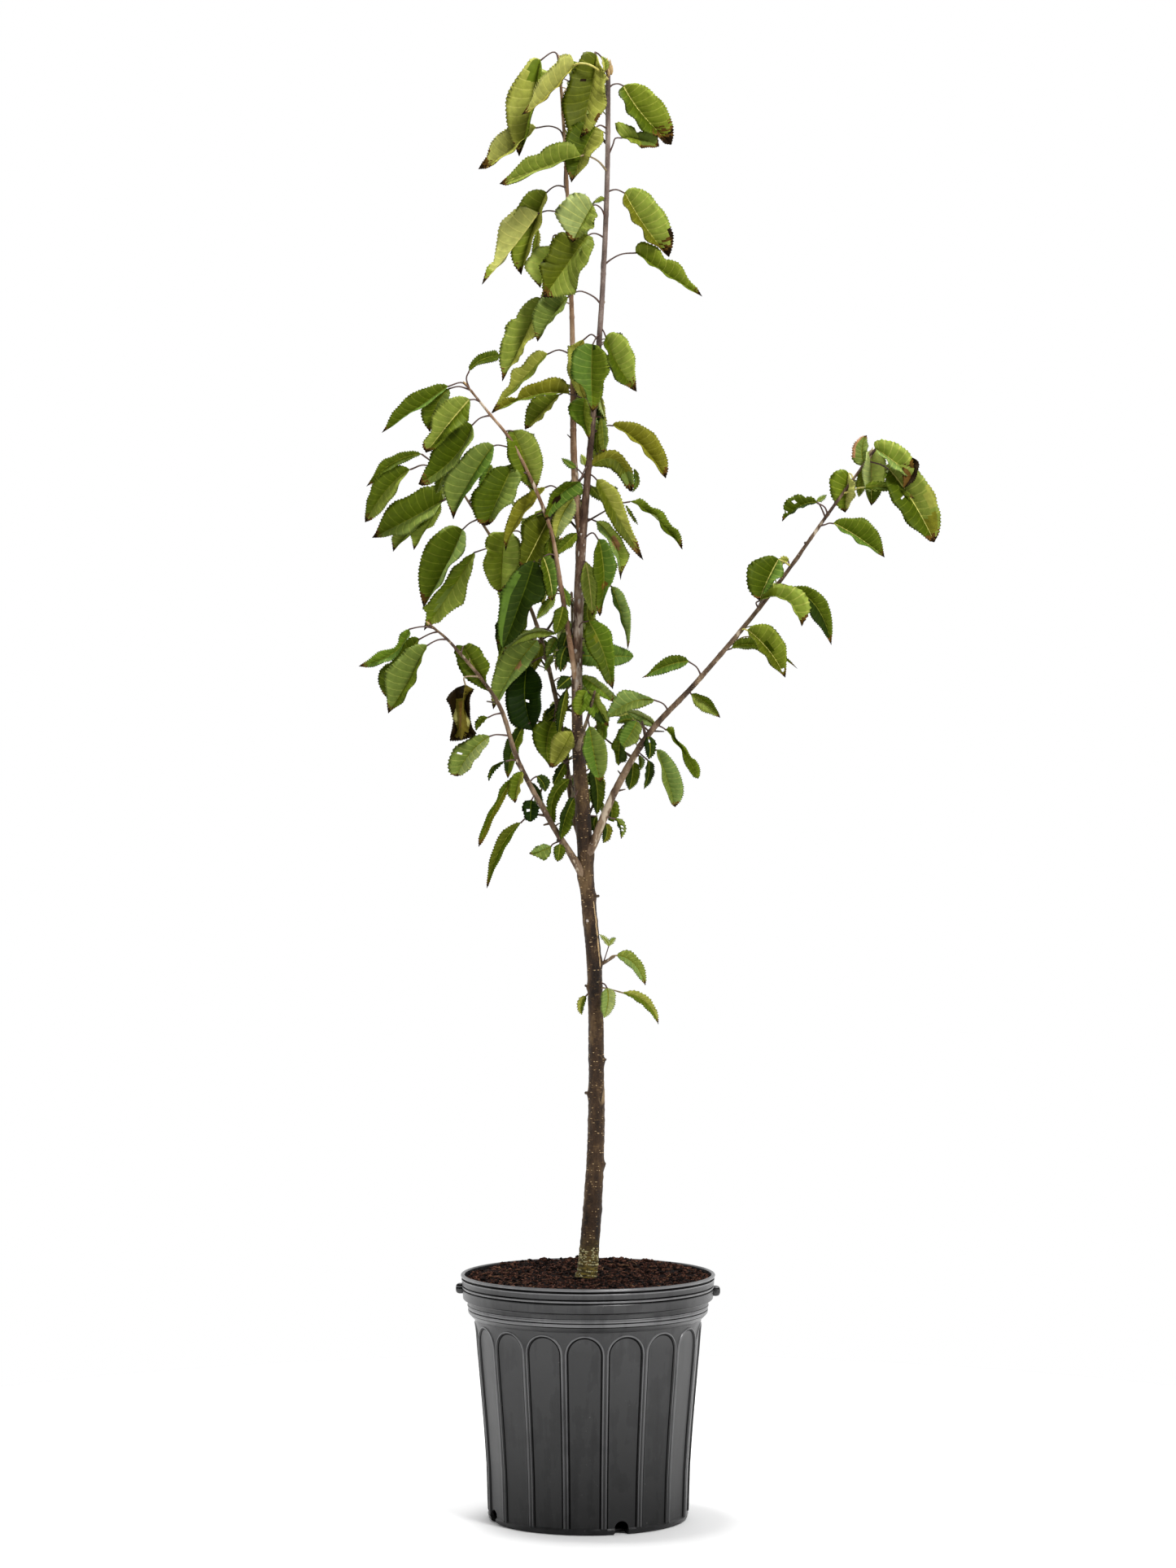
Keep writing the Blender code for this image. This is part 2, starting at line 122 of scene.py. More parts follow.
PALETTE = []
for key in LEAF_COLOURS:
    PALETTE += [key, key + "v"]
PALETTE += list(OTHER_COLOURS)
SLOT = {key: k for k, key in enumerate(PALETTE)}


def node(tree, kind, **settings):
    made = tree.nodes.new(kind)
    for key, value in settings.items():
        setattr(made, key, value)
    return made


def new_material(name):
    mat = bpy.data.materials.new(name)
    mat.use_nodes = True
    tree = mat.node_tree
    shader = tree.nodes["Principled BSDF"]
    return mat, tree, shader


def noise_node(tree, coords, scale, detail=4.0, rough=0.6, stretch=None):
    made = node(tree, "ShaderNodeTexNoise")
    made.inputs["Scale"].default_value = scale
    made.inputs["Detail"].default_value = detail
    made.inputs["Roughness"].default_value = rough
    if stretch:
        mapping = node(tree, "ShaderNodeMapping")
        mapping.inputs["Scale"].default_value = stretch
        tree.links.new(coords, mapping.inputs["Vector"])
        coords = mapping.outputs["Vector"]
    tree.links.new(coords, made.inputs["Vector"])
    return made


def ramp(tree, factor, stops):
    made = node(tree, "ShaderNodeValToRGB")
    ramp_ = made.color_ramp
    while len(ramp_.elements) < len(stops):
        ramp_.elements.new(0.5)
    for element, (place, colour) in zip(ramp_.elements, stops):
        element.position = place
        element.color = (*colour, 1.0)
    tree.links.new(factor, made.inputs["Fac"])
    return made


def spread(tree, factor, low, high):
    made = node(tree, "ShaderNodeMapRange")
    made.inputs["To Min"].default_value = low
    made.inputs["To Max"].default_value = high
    tree.links.new(factor, made.inputs["Value"])
    return made.outputs["Result"]


def blend_colours(tree, factor, one, two):
    made = node(tree, "ShaderNodeMix", data_type="RGBA")
    tree.links.new(factor, made.inputs["Factor"])
    for socket, value in ((made.inputs["A"], one), (made.inputs["B"], two)):
        if isinstance(value, (list, tuple)):
            socket.default_value = (*value[:3], 1.0)
        else:
            tree.links.new(value, socket)
    return made.outputs["Result"]


def bump(tree, shader, heights, distance, strength=0.6):
    made = node(tree, "ShaderNodeBump")
    made.inputs["Strength"].default_value = strength
    made.inputs["Distance"].default_value = distance
    tree.links.new(heights, made.inputs["Height"])
    tree.links.new(made.outputs["Normal"], shader.inputs["Normal"])


def coordinates(tree):
    return node(tree, "ShaderNodeTexCoord").outputs["Object"]


GREEN_GAIN = (1.12, 1.01)


def leaf_material(name, rgb, rough=0.56, vary=0.18, gain=1.0):
    mat, tree, shader = new_material(name)
    at = coordinates(tree)
    broad = noise_node(tree, at, 150.0, 3.0)
    fine = noise_node(tree, at, 900.0, 3.0)
    gains = (GREEN_GAIN[0], GREEN_GAIN[1], 0.32 + 0.34 * (rgb[1] / 165.0) ** 1.5)
    base = [c * g for c, g in zip(linear(rgb, gain), gains)]
    wide = ramp(tree, broad.outputs["Fac"], [
        (0.30, [c * (1 - vary) for c in base]),
        (0.52, base),
        (0.74, [min(1.0, c * (1 + vary)) for c in base])])
    tree.links.new(wide.outputs["Color"], shader.inputs["Base Color"])
    tree.links.new(spread(tree, fine.outputs["Fac"], rough - 0.08, rough + 0.10),
                   shader.inputs["Roughness"])
    shader.inputs["Specular IOR Level"].default_value = 0.04 + 0.12 * min(1.0, rgb[1] / 150.0)
    bump(tree, shader, fine.outputs["Fac"], 0.00035, 0.5)
    return mat


def leaf_palette():
    made = []
    for key in PALETTE:
        if key in LEAF_COLOURS:
            made.append(leaf_material("leaf_" + key, LEAF_COLOURS[key]))
        elif key[:-1] in LEAF_COLOURS and key.endswith("v"):
            rgb = LEAF_COLOURS[key[:-1]]
            share = 0.03 + 0.38 * min(1.15, rgb[1] / 160.0) ** 1.8
            lift = [c + (v - c) * share for c, v in zip(rgb, (214, 218, 130))]
            made.append(leaf_material("vein_" + key[:-1], lift, 0.52))
        else:
            made.append(leaf_material("leaf_" + key, OTHER_COLOURS[key], 0.62, 0.25))
    return made


# ------------------------------------------------------- collecting mesh data
class Batch:
    """Many small meshes that become one object."""

    def __init__(self):
        self.points, self.faces, self.slots, self.uvs, self.count = [], [], [], [], 0

    def add(self, points, faces, slots, uvs=None):
        faces = np.asarray(faces, int)
        self.faces.append(np.where(faces >= 0, faces + self.count, -1))
        self.points.append(np.asarray(points, float))
        self.slots.append(np.asarray(slots, int))
        if uvs is not None:
            self.uvs.append(np.asarray(uvs, float))
        self.count += len(points)

    def triangles(self):
        return int(sum(np.where(f[:, 3] < 0, 1, 2).sum() for f in self.faces))

    def build(self, name, materials, smooth=True):
        points = np.concatenate(self.points)
        faces = np.concatenate(self.faces)
        slots = np.concatenate(self.slots)
        used = sorted(set(slots.tolist()))
        remap = {s: k for k, s in enumerate(used)}
        mesh = bpy.data.meshes.new(name)
        mesh.from_pydata(points.tolist(), [],
                         [f[:3] if f[3] < 0 else f for f in faces.tolist()])
        for s in used:
            mesh.materials.append(materials[s])
        mesh.polygons.foreach_set("material_index", [remap[s] for s in slots.tolist()])
        if smooth:
            mesh.shade_smooth()
        if self.uvs:
            layer = mesh.uv_layers.new(name="OFBake")
            uvs = np.concatenate(self.uvs)
            keep = faces >= 0
            layer.data.foreach_set("uv", uvs[keep].astype(np.float32).ravel())
        mesh.validate()
        obj = bpy.data.objects.new(name, mesh)
        bpy.context.scene.collection.objects.link(obj)
        return obj


def finish_piece(obj, slot, *replaced):
    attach(obj, "root")
    if replaced:
        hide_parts(*replaced)
    return obj


# --------------------------------------------------------------------- limbs
SOIL_TOP = 281.0
TRUNK = [
    (-4.4, 0.0, SOIL_TOP - 6.0, 11.4), (-3.4, 0.0, SOIL_TOP + 1.3, 11.8), (0.0, 0.0, 300.0, 11.8), (8.2, 2.0, 416.0, 10.3),
    (10.0, 4.0, 520.0, 9.3), (7.6, 4.0, 650.0, 8.9), (-0.9, 2.0, 744.0, 8.7),
    (-6.4, 1.0, 838.0, 9.3), (-12.4, 0.0, 925.0, 6.5), (-12.6, -1.0, 1035.0, 6.0),
    (-8.6, -3.0, 1135.0, 5.8), (-1.0, -7.0, 1225.0, 4.1), (8.6, -10.0, 1330.0, 3.3),
    (17.0, -12.0, 1450.0, 3.1), (22.6, -12.0, 1580.0, 3.0), (23.8, -10.0, 1700.0, 2.8),
    (24.0, -9.0, 1713.0, 2.4),
]
LIMBS = {
    "leader_left": [
        (-7.4, -3.0, 1158.0, 4.6), (-12.4, 0.0, 1193.0, 4.4), (-17.0, 6.0, 1262.0, 3.9),
        (-18.0, 14.0, 1372.0, 3.1), (-21.0, 22.0, 1480.0, 2.6), (-26.0, 28.0, 1600.0, 2.0),
        (-31.6, 30.0, 1690.0, 1.7), (-35.2, 30.0, 1730.0, 1.2)],
    "bough_right": [
        (-4.6, 1.0, 782.0, 6.6), (6.0, -3.0, 797.0, 5.3), (33.0, -12.0, 861.6, 4.2),
        (73.0, -26.0, 928.6, 3.6), (133.2, -42.0, 994.0, 3.0), (212.4, -62.0, 1089.2, 2.4),
        (280.4, -76.0, 1183.8, 1.9), (326.8, -84.0, 1247.8, 1.4)],
    "bough_lower_left": [
        (-3.4, 1.0, 757.0, 5.8), (-21.5, -8.0, 787.0, 4.2), (-45.0, -22.0, 825.0, 3.3),
        (-82.0, -42.0, 895.0, 2.9), (-105.5, -56.0, 963.0, 2.4), (-155.0, -78.0, 1027.0, 1.7),
        (-184.0, -88.0, 1053.4, 1.2)],
    "bough_mid_left": [
        (-5.8, 1.0, 795.0, 4.6), (-16.2, 10.0, 832.0, 4.0), (-25.2, 24.0, 886.0, 3.5),
        (-37.4, 38.0, 965.0, 2.8), (-60.0, 52.0, 1054.0, 2.4), (-88.0, 62.0, 1120.0, 2.0),
        (-121.0, 72.0, 1172.0, 1.7), (-153.0, 80.0, 1222.0, 1.3)],
    "bough_upper_left": [
        (-12.8, -1.0, 982.0, 3.7), (-18.6, -6.0, 1018.0, 3.3), (-31.4, -14.0, 1097.0, 2.7),
        (-46.6, -22.0, 1176.0, 2.3), (-84.8, -33.0, 1262.0, 1.9), (-117.0, -40.0, 1304.2, 1.6),
        (-142.8, -45.0, 1336.0, 1.2)],
    "bough_back": [
        (-7.8, 1.0, 852.0, 3.6), (-10.0, 24.0, 886.0, 3.1), (-13.0, 58.0, 946.0, 2.6),
        (-17.0, 88.0, 1020.0, 2.1), (-20.0, 108.0, 1100.0, 1.5)],
    "bough_front": [
        (-13.0, 0.0, 905.0, 3.2), (-8.0, -22.0, 924.0, 2.6), (0.0, -50.0, 946.0, 2.0),
        (8.0, -74.0, 976.0, 1.4)],
    "trunk_shoot": [
        (6.8, 4.0, 651.0, 2.6), (18.0, 0.0, 656.0, 2.1), (31.0, -6.0, 664.0, 1.5)],
}


def smooth_route(stations, step):
    """Points along a limb, through its stations: arrays of places and radii, in mm."""
    points = [Vector(s[:3]) for s in stations]
    radii = [s[3] for s in stations]
    places, sizes = [], []
    for i in range(len(points) - 1):
        p1, p2 = points[i], points[i + 1]
        p0 = points[i - 1] if i else p1 * 2 - p2
        p3 = points[i + 2] if i + 2 < len(points) else p2 * 2 - p1
        pieces = max(1, round((p2 - p1).length / step))
        for k in range(pieces):
            t = k / pieces
            places.append(0.5 * ((2 * p1) + (p2 - p0) * t
                                 + (2 * p0 - 5 * p1 + 4 * p2 - p3) * t * t
                                 + (3 * p1 - p0 - 3 * p2 + p3) * t ** 3))
            sizes.append(radii[i] + (radii[i + 1] - radii[i]) * t)
    places.append(points[-1])
    sizes.append(radii[-1])
    return np.array([list(p) for p in places]), np.array(sizes)


ROUTES = {"trunk": smooth_route(TRUNK, 2.6)}
for limb, stations in LIMBS.items():
    ROUTES[limb] = smooth_route(stations, 2.6)
SHORT = {"TR": "trunk", "LL": "leader_left", "BR": "bough_right", "BL": "bough_lower_left",
         "BM": "bough_mid_left", "BU": "bough_upper_left", "BB": "bough_back",
         "BF": "bough_front", "TS": "trunk_shoot"}
VIEW_ROUTES = {k: to_view(ROUTES[v][0] * MM) for k, v in SHORT.items()}


def frames_along(places):
    """Unit vectors along, and two across, at each point of a route."""
    along = np.gradient(places, axis=0)
    along /= np.linalg.norm(along, axis=1)[:, None]
    side = np.array([1.0, 0.0, 0.0])
    one, two = [], []
    for a in along:
        side = side - a * side.dot(a)
        side /= np.linalg.norm(side)
        one.append(side.copy())
        two.append(np.cross(a, side))
    return along, np.array(one), np.array(two)


class Limb:
    """A limb's bark surface, which later pieces can be set on."""

    def __init__(self, key, sides, rough, seed, rings=(), knots=(), collar=0.0, flute=0.0):
        self.key, self.sides, self.rough, self.seed = key, sides, rough, seed
        self.places, self.radii = ROUTES[SHORT[key]]
        self.along, self.one, self.two = frames_along(self.places)
        steps = np.linalg.norm(np.diff(self.places, axis=0), axis=1)
        self.run = np.concatenate([[0.0], np.cumsum(steps)])
        self.rings, self.knots, self.collar, self.flute = rings, knots, collar, flute

    def radius(self, i, turn):
        """Radius at ring i and angle turn, with the bark's relief."""
        r, s = self.radii[i], self.run[i]
        c, d = math.cos(turn), math.sin(turn)
        k = self.seed * 7.3
        grow = 1.0 + self.rough * (
            0.55 * noise.noise((c * 1.3 + k, d * 1.3, s / 34.0))
            + 0.42 * noise.noise((c * 3.4 + k, d * 3.4, s / 5.0))
            + 0.30 * noise.noise((c * 2.0 + k, d * 2.0 + 9, s / 1.7)))
        if self.flute:
            grow += self.flute * math.cos(4.0 * turn + 0.8) * math.exp(-s / 14.0)
        made = r * grow + self.collar * r * math.exp(-s / 7.0)
        z = self.places[i][2]
        for height, rise, width in self.rings:
            if abs(z - height) < 4 * width:
                made += rise * math.exp(-((z - height) / width) ** 2)
        for height, at, rise, width, wide in self.knots:
            if abs(z - height) < 4 * width:
                off = (turn - at + math.pi) % (2 * math.pi) - math.pi
                made += rise * math.exp(-((z - height) / width) ** 2 - (off / wide) ** 2)
        return made

    def surface(self, i, turn, lift=0.0):
        out = self.one[i] * math.cos(turn) + self.two[i] * math.sin(turn)
        return self.places[i] + out * (self.radius(i, turn) + lift)

    def mesh(self, batch, slot, tip_round=True):
        n, sides = len(self.places), self.sides
        points = []
        for i in range(n):
            for k in range(sides):
                points.append(self.surface(i, 2 * math.pi * k / sides))
        points.append(self.places[0] - self.along[0] * 0.4)
        points.append(self.places[-1] + self.along[-1] * self.radii[-1] * 1.2)
        faces = []
        for i in range(n - 1):
            for k in range(sides):
                m = (k + 1) % sides
                faces.append((i * sides + k, i * sides + m, (i + 1) * sides + m,
                              (i + 1) * sides + k))
        for k in range(sides):
            m = (k + 1) % sides
            faces.append((n * sides, m, k, -1))
            faces.append((n * sides + 1, (n - 1) * sides + k, (n - 1) * sides + m, -1))
        batch.add(np.array(points) * MM, faces, [slot] * len(faces))


def limb_root(key, x, y):
    """The point of a limb's centre line that shows at a pixel, in view pixels."""
    route = VIEW_ROUTES[key]
    gap = (route[:, 0] - x) ** 2 + (route[:, 1] - y) ** 2
    return route[int(np.argmin(gap))]


# -------------------------------------------------------------------- tubes
def curve_through(points, pieces):
    """A smooth line through points, as an array."""
    p = np.asarray(points, float)
    if len(p) == 2:
        t = np.linspace(0, 1, pieces + 1)[:, None]
        return p[0] + (p[1] - p[0]) * t
    made = []
    for i in range(len(p) - 1):
        p1, p2 = p[i], p[i + 1]
        p0 = p[i - 1] if i else 2 * p1 - p2
        p3 = p[i + 2] if i + 2 < len(p) else 2 * p2 - p1
        count = max(2, round(pieces / (len(p) - 1)))
        for k in range(count):
            t = k / count
            made.append(0.5 * ((2 * p1) + (p2 - p0) * t + (2 * p0 - 5 * p1 + 4 * p2 - p3) * t * t
                               + (3 * p1 - p0 - 3 * p2 + p3) * t ** 3))
    made.append(p[-1])
    return np.array(made)


def tube(batch, line, radii, sides, slot, world=False):
    """A closed tube along a line of view points (or of metres)."""
    along, one, two = frames_along(line)
    n = len(line)
    radii = np.interp(np.linspace(0, 1, n), np.linspace(0, 1, len(radii)), radii)
    turn = np.arange(sides) * 2 * math.pi / sides
    ring = (one[:, None, :] * np.cos(turn)[None, :, None]
            + two[:, None, :] * np.sin(turn)[None, :, None])
    points = (line[:, None, :] + ring * radii[:, None, None]).reshape(-1, 3)
    points = np.vstack([points, line[0] - along[0] * radii[0] * 0.4,
                        line[-1] + along[-1] * radii[-1] * 0.6])
    faces = []
    for i in range(n - 1):
        for k in range(sides):
            m = (k + 1) % sides
            faces.append((i * sides + k, i * sides + m, (i + 1) * sides + m, (i + 1) * sides + k))
    for k in range(sides):
        m = (k + 1) % sides
        faces.append((n * sides, m, k, -1))
        faces.append((n * sides + 1, (n - 1) * sides + k, (n - 1) * sides + m, -1))
    batch.add(points if world else to_world(points), faces, [slot] * len(faces))


# -------------------------------------------------------------------- leaves
OUTLINES = {
    "leaf": [(0, .04), (.03, .20), (.08, .44), (.16, .72), (.26, .91), (.36, .99), (.44, 1.0),
             (.56, .94), (.68, .79), (.78, .60), (.86, .40), (.92, .23), (.96, .11), (1, .015)],
    "full": [(0, .06), (.03, .34), (.08, .62), (.16, .86), (.26, .98), (.36, 1.0), (.50, .97),
             (.64, .86), (.76, .69), (.85, .48), (.92, .27), (.96, .13), (1, .015)],
    "slim": [(0, .05), (.04, .22), (.12, .52), (.24, .82), (.38, .98), (.48, 1.0), (.60, .93),
             (.72, .76), (.82, .54), (.90, .31), (.95, .16), (1, .015)],
    "blunt": [(0, .06), (.03, .36), (.08, .62), (.18, .86), (.32, .98), (.50, 1.0), (.66, .96),
              (.80, .82), (.90, .60), (.96, .36), (1, .06)],
    "late": [(0, .05), (.05, .22), (.15, .48), (.30, .76), (.46, .95), (.58, 1.0), (.70, .94),
             (.81, .74), (.89, .48), (.95, .22), (1, .015)],
}


def outline_table(points):
    u = np.linspace(0, 1, 241)
    x = np.interp(u, [p[0] for p in points], [p[1] for p in points])
    kernel = np.hanning(15)
    kernel /= kernel.sum()
    padded = np.concatenate([np.full(7, x[0]), x, np.full(7, x[-1])])
    smooth = np.convolve(padded, kernel, "valid")
    mix = np.clip(np.minimum(u, 1 - u) / 0.04, 0, 1)
    return u, smooth * mix + x * (1 - mix)


OUTLINE_TABLES = {k: outline_table(v) for k, v in OUTLINES.items()}
ROW_SHARES = {5: (0, .11, .34, .56, .78), 4: (0, .14, .44, .72), 3: (0, .18, .60), 2: (0, .5)}


def unit(v):
    v = np.asarray(v, float)
    return v / np.linalg.norm(v)


def chance_at(*numbers):
    """A steady number from 0 to 1 for a cell of a leaf."""
    x = math.sin(sum(n * k for n, k in zip(numbers, (12.9898, 78.233, 37.719)))) * 43758.5453
    return x - math.floor(x)


def blade(batch, base, mid, tip, one, two, front, outline="leaf", veins=9, rows=4, cols=5,
          back=None, rib="rib", ribwide=1.0, scorch=0.0, edge=None, spots=(), holes=(),
          wave=(1.2, 2.0, 0.0), under=False, bulge=0.05, relief=0.34, teeth=1.25, seed=0, ragged=0.07,
          toward=(0, 0, -1), shear=0.12, tiles=None, curl=0.0, sides=None, deep=1.07, lift=-1.0):
    """One leaf: a thin closed blade along a curved midrib.

    one and two give each half's full reach as functions of the place along the rib.
    Returns the grid of its middle surface in view pixels."""
    base, mid, tip = (np.asarray(p, float) for p in (base, mid, tip))
    bend = 2 * mid - (base + tip) / 2
    phase = np.array([(k + s) / veins for k in range(veins) for s in ROW_SHARES[rows]] + [1.0])
    count = len(phase)
    shares = {5: (.30, .56, .80, 1.0), 4: (.38, .70, 1.0), 3: (.52, 1.0), 2: (1.0,)}[cols]
    v = np.array([-s for s in reversed((0.06,) + shares)] + [0.0] + list((0.06,) + shares))
    width = len(v)
    middle = width // 2
    size = np.abs(v)[None, :]
    p = phase[:, None]
    u = np.clip(p + shear * size * 4 * p * (1 - p), 0, 1)
    u[0, :], u[-1, :] = 0.0, 1.0
    spine = ((1 - u) ** 2)[..., None] * base + (2 * u * (1 - u))[..., None] * bend \
        + (u ** 2)[..., None] * tip
    table_u, table_w = OUTLINE_TABLES[outline]
    broad = np.interp(u, table_u, table_w)
    for half, cols_ in ((0, slice(0, width // 2)), (1, slice(width // 2 + 1, width))):
        lumps = sum(high * np.sin(2 * math.pi * (often * u[:, cols_] + chance_at(seed, half, often)))
                    for often, high in ((1.3, 0.6), (2.9, 0.45), (5.6, 0.25)))
        broad[:, cols_] *= 1 + ragged * lumps
    reach = np.where((v < 0)[None, :, None], one(u), two(u))
    if sides:
        at = np.clip(phase + 0.3 * shear * 4 * phase * (1 - phase), 0, 1)
        rims, gaps = [], []
        for side, outer in zip(sides, (0, width - 1)):
            middle_line = spine[:, outer, :2]
            if side is None:
                rims.append(None)
                gaps.append(np.linalg.norm(reach[:, outer, :2], axis=1) * broad[:, outer])
                continue
            legs = np.concatenate([[0], np.cumsum(np.linalg.norm(np.diff(side, axis=0), axis=1))])
            rim = np.stack([np.interp(at * legs[-1], legs, side[:, c]) for c in (0, 1)], 1)
            aside = reach[:, outer, :2] / np.linalg.norm(reach[:, outer, :2], axis=1)[:, None]
            short = 0.8 * np.sin(math.pi * phase) - ((rim - middle_line) * aside).sum(1)
            rim = rim + aside * np.maximum(short, 0)[:, None]
            rims.append(rim)
            gaps.append(np.linalg.norm(rim - middle_line, axis=1))
        true = deep * np.maximum(*gaps)
        for rim, gap, cols_ in zip(rims, gaps, (slice(0, width // 2), slice(width // 2 + 1, width))):
            if rim is None:
                continue
            away = np.zeros(reach[:, cols_].shape)
            away[..., :2] = rim[:, None] - spine[:, cols_, :2]
            away[..., 2] = (lift * np.sqrt(np.maximum(true ** 2 - gap ** 2, 0)))[:, None]
            span = np.linalg.norm(away, axis=2)
            broad[:, cols_] = span / span.max()
            reach[:, cols_] = away / np.maximum(span, 1e-6)[..., None] * span.max()
    length = np.linalg.norm(reach, axis=2)
    share = np.repeat(size, count, axis=0)
    ribcols = [middle - 1, middle + 1]
    for c in ribcols:
        share[:, c] = np.clip(ribwide * (1.15 - 0.75 * u[:, c])
                              / np.maximum(length[:, c] * broad[:, c], 1e-3), 0.02, 0.28)
    tooth = np.where(np.arange(count) % 2 == 1, 1.0, -0.35) * teeth
    tooth[0] = tooth[-1] = 0.0
    place = spine + reach * (broad * share)[..., None]
    for c in (0, width - 1):
        away = reach[:, c] / np.maximum(length[:, c], 1e-6)[:, None]
        fade = np.clip(broad[:, c] * 3, 0, 1)
        place[:, c] += away * (tooth * fade)[:, None]
        step = np.gradient(spine[:, c], axis=0)
        step /= np.maximum(np.linalg.norm(step, axis=1), 1e-6)[:, None]
        place[:, c] += step * (np.maximum(tooth, 0) * fade * 0.7)[:, None]

    def normals(grid):
        du = np.gradient(grid, axis=0)
        dv = np.gradient(grid, axis=1)
        n = np.cross(du, dv)
        return n / np.maximum(np.linalg.norm(n, axis=2), 1e-9)[..., None]

    n = normals(place)
    weight = (broad * share * length)
    facing = (n * np.asarray(toward, float)).sum(2)
    if (facing * weight).sum() < 0:
        n = -n
        flip = True
    else:
        flip = False
    upper = -n if under else n
    rise = bulge * length * broad * np.sin(math.pi * np.clip(share, 0, 1))
    amp, often, start = wave
    rise += amp * broad * share ** 1.4 * np.sin(
        2 * math.pi * often * u + start + np.where(v < 0, 0.0, 1.9)[None, :])
    rise -= curl * broad * share ** 2 * np.clip((u - 0.3) / 0.7, 0, 1)
    at = np.arange(count) % rows
    groove = np.where((at == 0) | (at == 1), 1.0, 0.0)[:, None] * (1 - share ** 3) \
        * np.clip(length * broad / 8.0, 0, 1)
    rise -= relief * groove
    place = place + upper * rise[..., None]
    n = normals(place)
    if flip:
        n = -n

    thick = 0.22
    inner = np.ones((count, width), bool)
    inner[0, :] = inner[-1, :] = False
    inner[:, 0] = inner[:, -1] = False
    above = np.arange(count * width).reshape(count, width)
    below = above.copy()
    below[inner] = count * width + np.arange(inner.sum())
    points = np.concatenate([
        np.where(inner[..., None], place + n * thick, place).reshape(-1, 3),
        (place - n * thick)[inner]])

    mu = (u[:-1, :-1] + u[1:, :-1] + u[:-1, 1:] + u[1:, 1:]) / 4
    signed = share * np.sign(v)[None, :]
    mv = (signed[:-1, :-1] + signed[:-1, 1:] + signed[1:, 1:] + signed[1:, :-1]) / 4
    keep = np.ones((count - 1, width - 1), bool)
    for hu, hv, ru, rv in holes:
        keep &= ((mu - hu) / ru) ** 2 + ((mv - hv) / rv) ** 2 > 1
    half_one = np.arange(width - 1) < middle
    faces, slots, uvs = [], [], []
    back = back or tuple(BACK_OF.get(c, c) for c in front)
    tile_one, tile_two = tiles if tiles else ((0, 0, 1, 1), (0, 0, 1, 1))
    for r in range(count - 1):
        vein_row = r % rows == 0
        for c in range(width - 1):
            if not keep[r, c]:
                continue
            near_rib = c in (middle - 1, middle)
            side = 0 if half_one[c] else 1
            jitter = (chance_at(r, c, seed) - 0.5)
            uu, vv = mu[r, c], mv[r, c]
            key_f, key_b = front[side], back[side]
            if near_rib:
                key_f, key_b = rib, "ribdark"
            elif vein_row:
                key_f = key_f + "v" if key_f + "v" in SLOT else key_f
                key_b = key_b + "v" if key_b + "v" in SLOT else key_b
            for su, sv, ru, rv, key in spots:
                if ((uu - su) / ru) ** 2 + ((vv - sv) / rv) ** 2 < 1 + 0.5 * jitter:
                    if not near_rib or key in ("scorch", "brown"):
                        key_f = key
                        key_b = key if key in ("scorch", "brown", "blotch") else key_b
            if edge and edge[0] < uu < edge[1] and edge[2] * vv > edge[3] + 0.12 * jitter:
                key_f = key_b = edge[4]
            if scorch and uu > 1 - scorch * (1 + 0.8 * jitter):
                key_f = key_b = "scorch"
            elif scorch and uu > 1 - scorch * 1.7 * (1 + 0.8 * jitter):
                key_f = "brown"
            quad = (above[r, c], above[r + 1, c], above[r + 1, c + 1], above[r, c + 1])
            lower = (below[r, c], below[r, c + 1], below[r + 1, c + 1], below[r + 1, c])
            faces.append(quad if not flip else quad[::-1])
            faces.append(lower if not flip else lower[::-1])
            slots += [SLOT.get(key_f, SLOT["DK"]), SLOT.get(key_b, SLOT["DK"])]
            corners = [(c, r), (c, r + 1), (c + 1, r + 1), (c + 1, r)]
            uv_a = [(tile_one[0] + tile_one[2] * (x / (width - 1)),
                     tile_one[1] + tile_one[3] * (y / (count - 1))) for x, y in corners]
            uv_b = [(tile_two[0] + tile_two[2] * (x / (width - 1)),
                     tile_two[1] + tile_two[3] * (y / (count - 1))) for x, y in corners]
            uv_b = [uv_b[0], uv_b[3], uv_b[2], uv_b[1]]
            uvs.append(uv_a if not flip else uv_a[::-1])
            uvs.append(uv_b if not flip else uv_b[::-1])
            # walls round a hole
            for (dr, dc, ends) in ((-1, 0, ((r, c + 1), (r, c))), (1, 0, ((r + 1, c), (r + 1, c + 1))),
                                   (0, -1, ((r, c), (r + 1, c))), (0, 1, ((r + 1, c + 1), (r, c + 1)))):
                rr, cc = r + dr, c + dc
                if 0 <= rr < count - 1 and 0 <= cc < width - 1 and not keep[rr, cc]:
                    (r0, c0), (r1, c1) = ends
                    wall = [above[r0, c0], above[r1, c1], below[r1, c1], below[r0, c0]]
                    wall = [w for k, w in enumerate(wall) if w not in wall[:k]]
                    if len(wall) < 3:
                        continue
                    if flip:
                        wall = wall[::-1]
                    faces.append(tuple(wall[::-1]) if len(wall) == 4 else (*wall[::-1], -1))
                    slots.append(SLOT["brown"])
                    uvs.append([uv_a[0]] * 4)
    used = np.unique(np.array([i for f in faces for i in f if i >= 0]))
    renumber = np.full(len(points), -1)
    renumber[used] = np.arange(len(used))
    faces = np.array([[renumber[i] if i >= 0 else -1 for i in f] for f in faces])
    batch.add(to_world(points[used]), faces, slots, uvs)
    return place


LEAVES = []          # what the front view shows, for the rule that fills the rest
FOLIAGE = {}


def box_centre(name):
    low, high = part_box(name)
    return (np.array(low) + np.array(high)) / 2, (np.array(high) - np.array(low)) / 2


MASS_BOXES = {n: box_centre(n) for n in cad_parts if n.startswith("foliage_")}


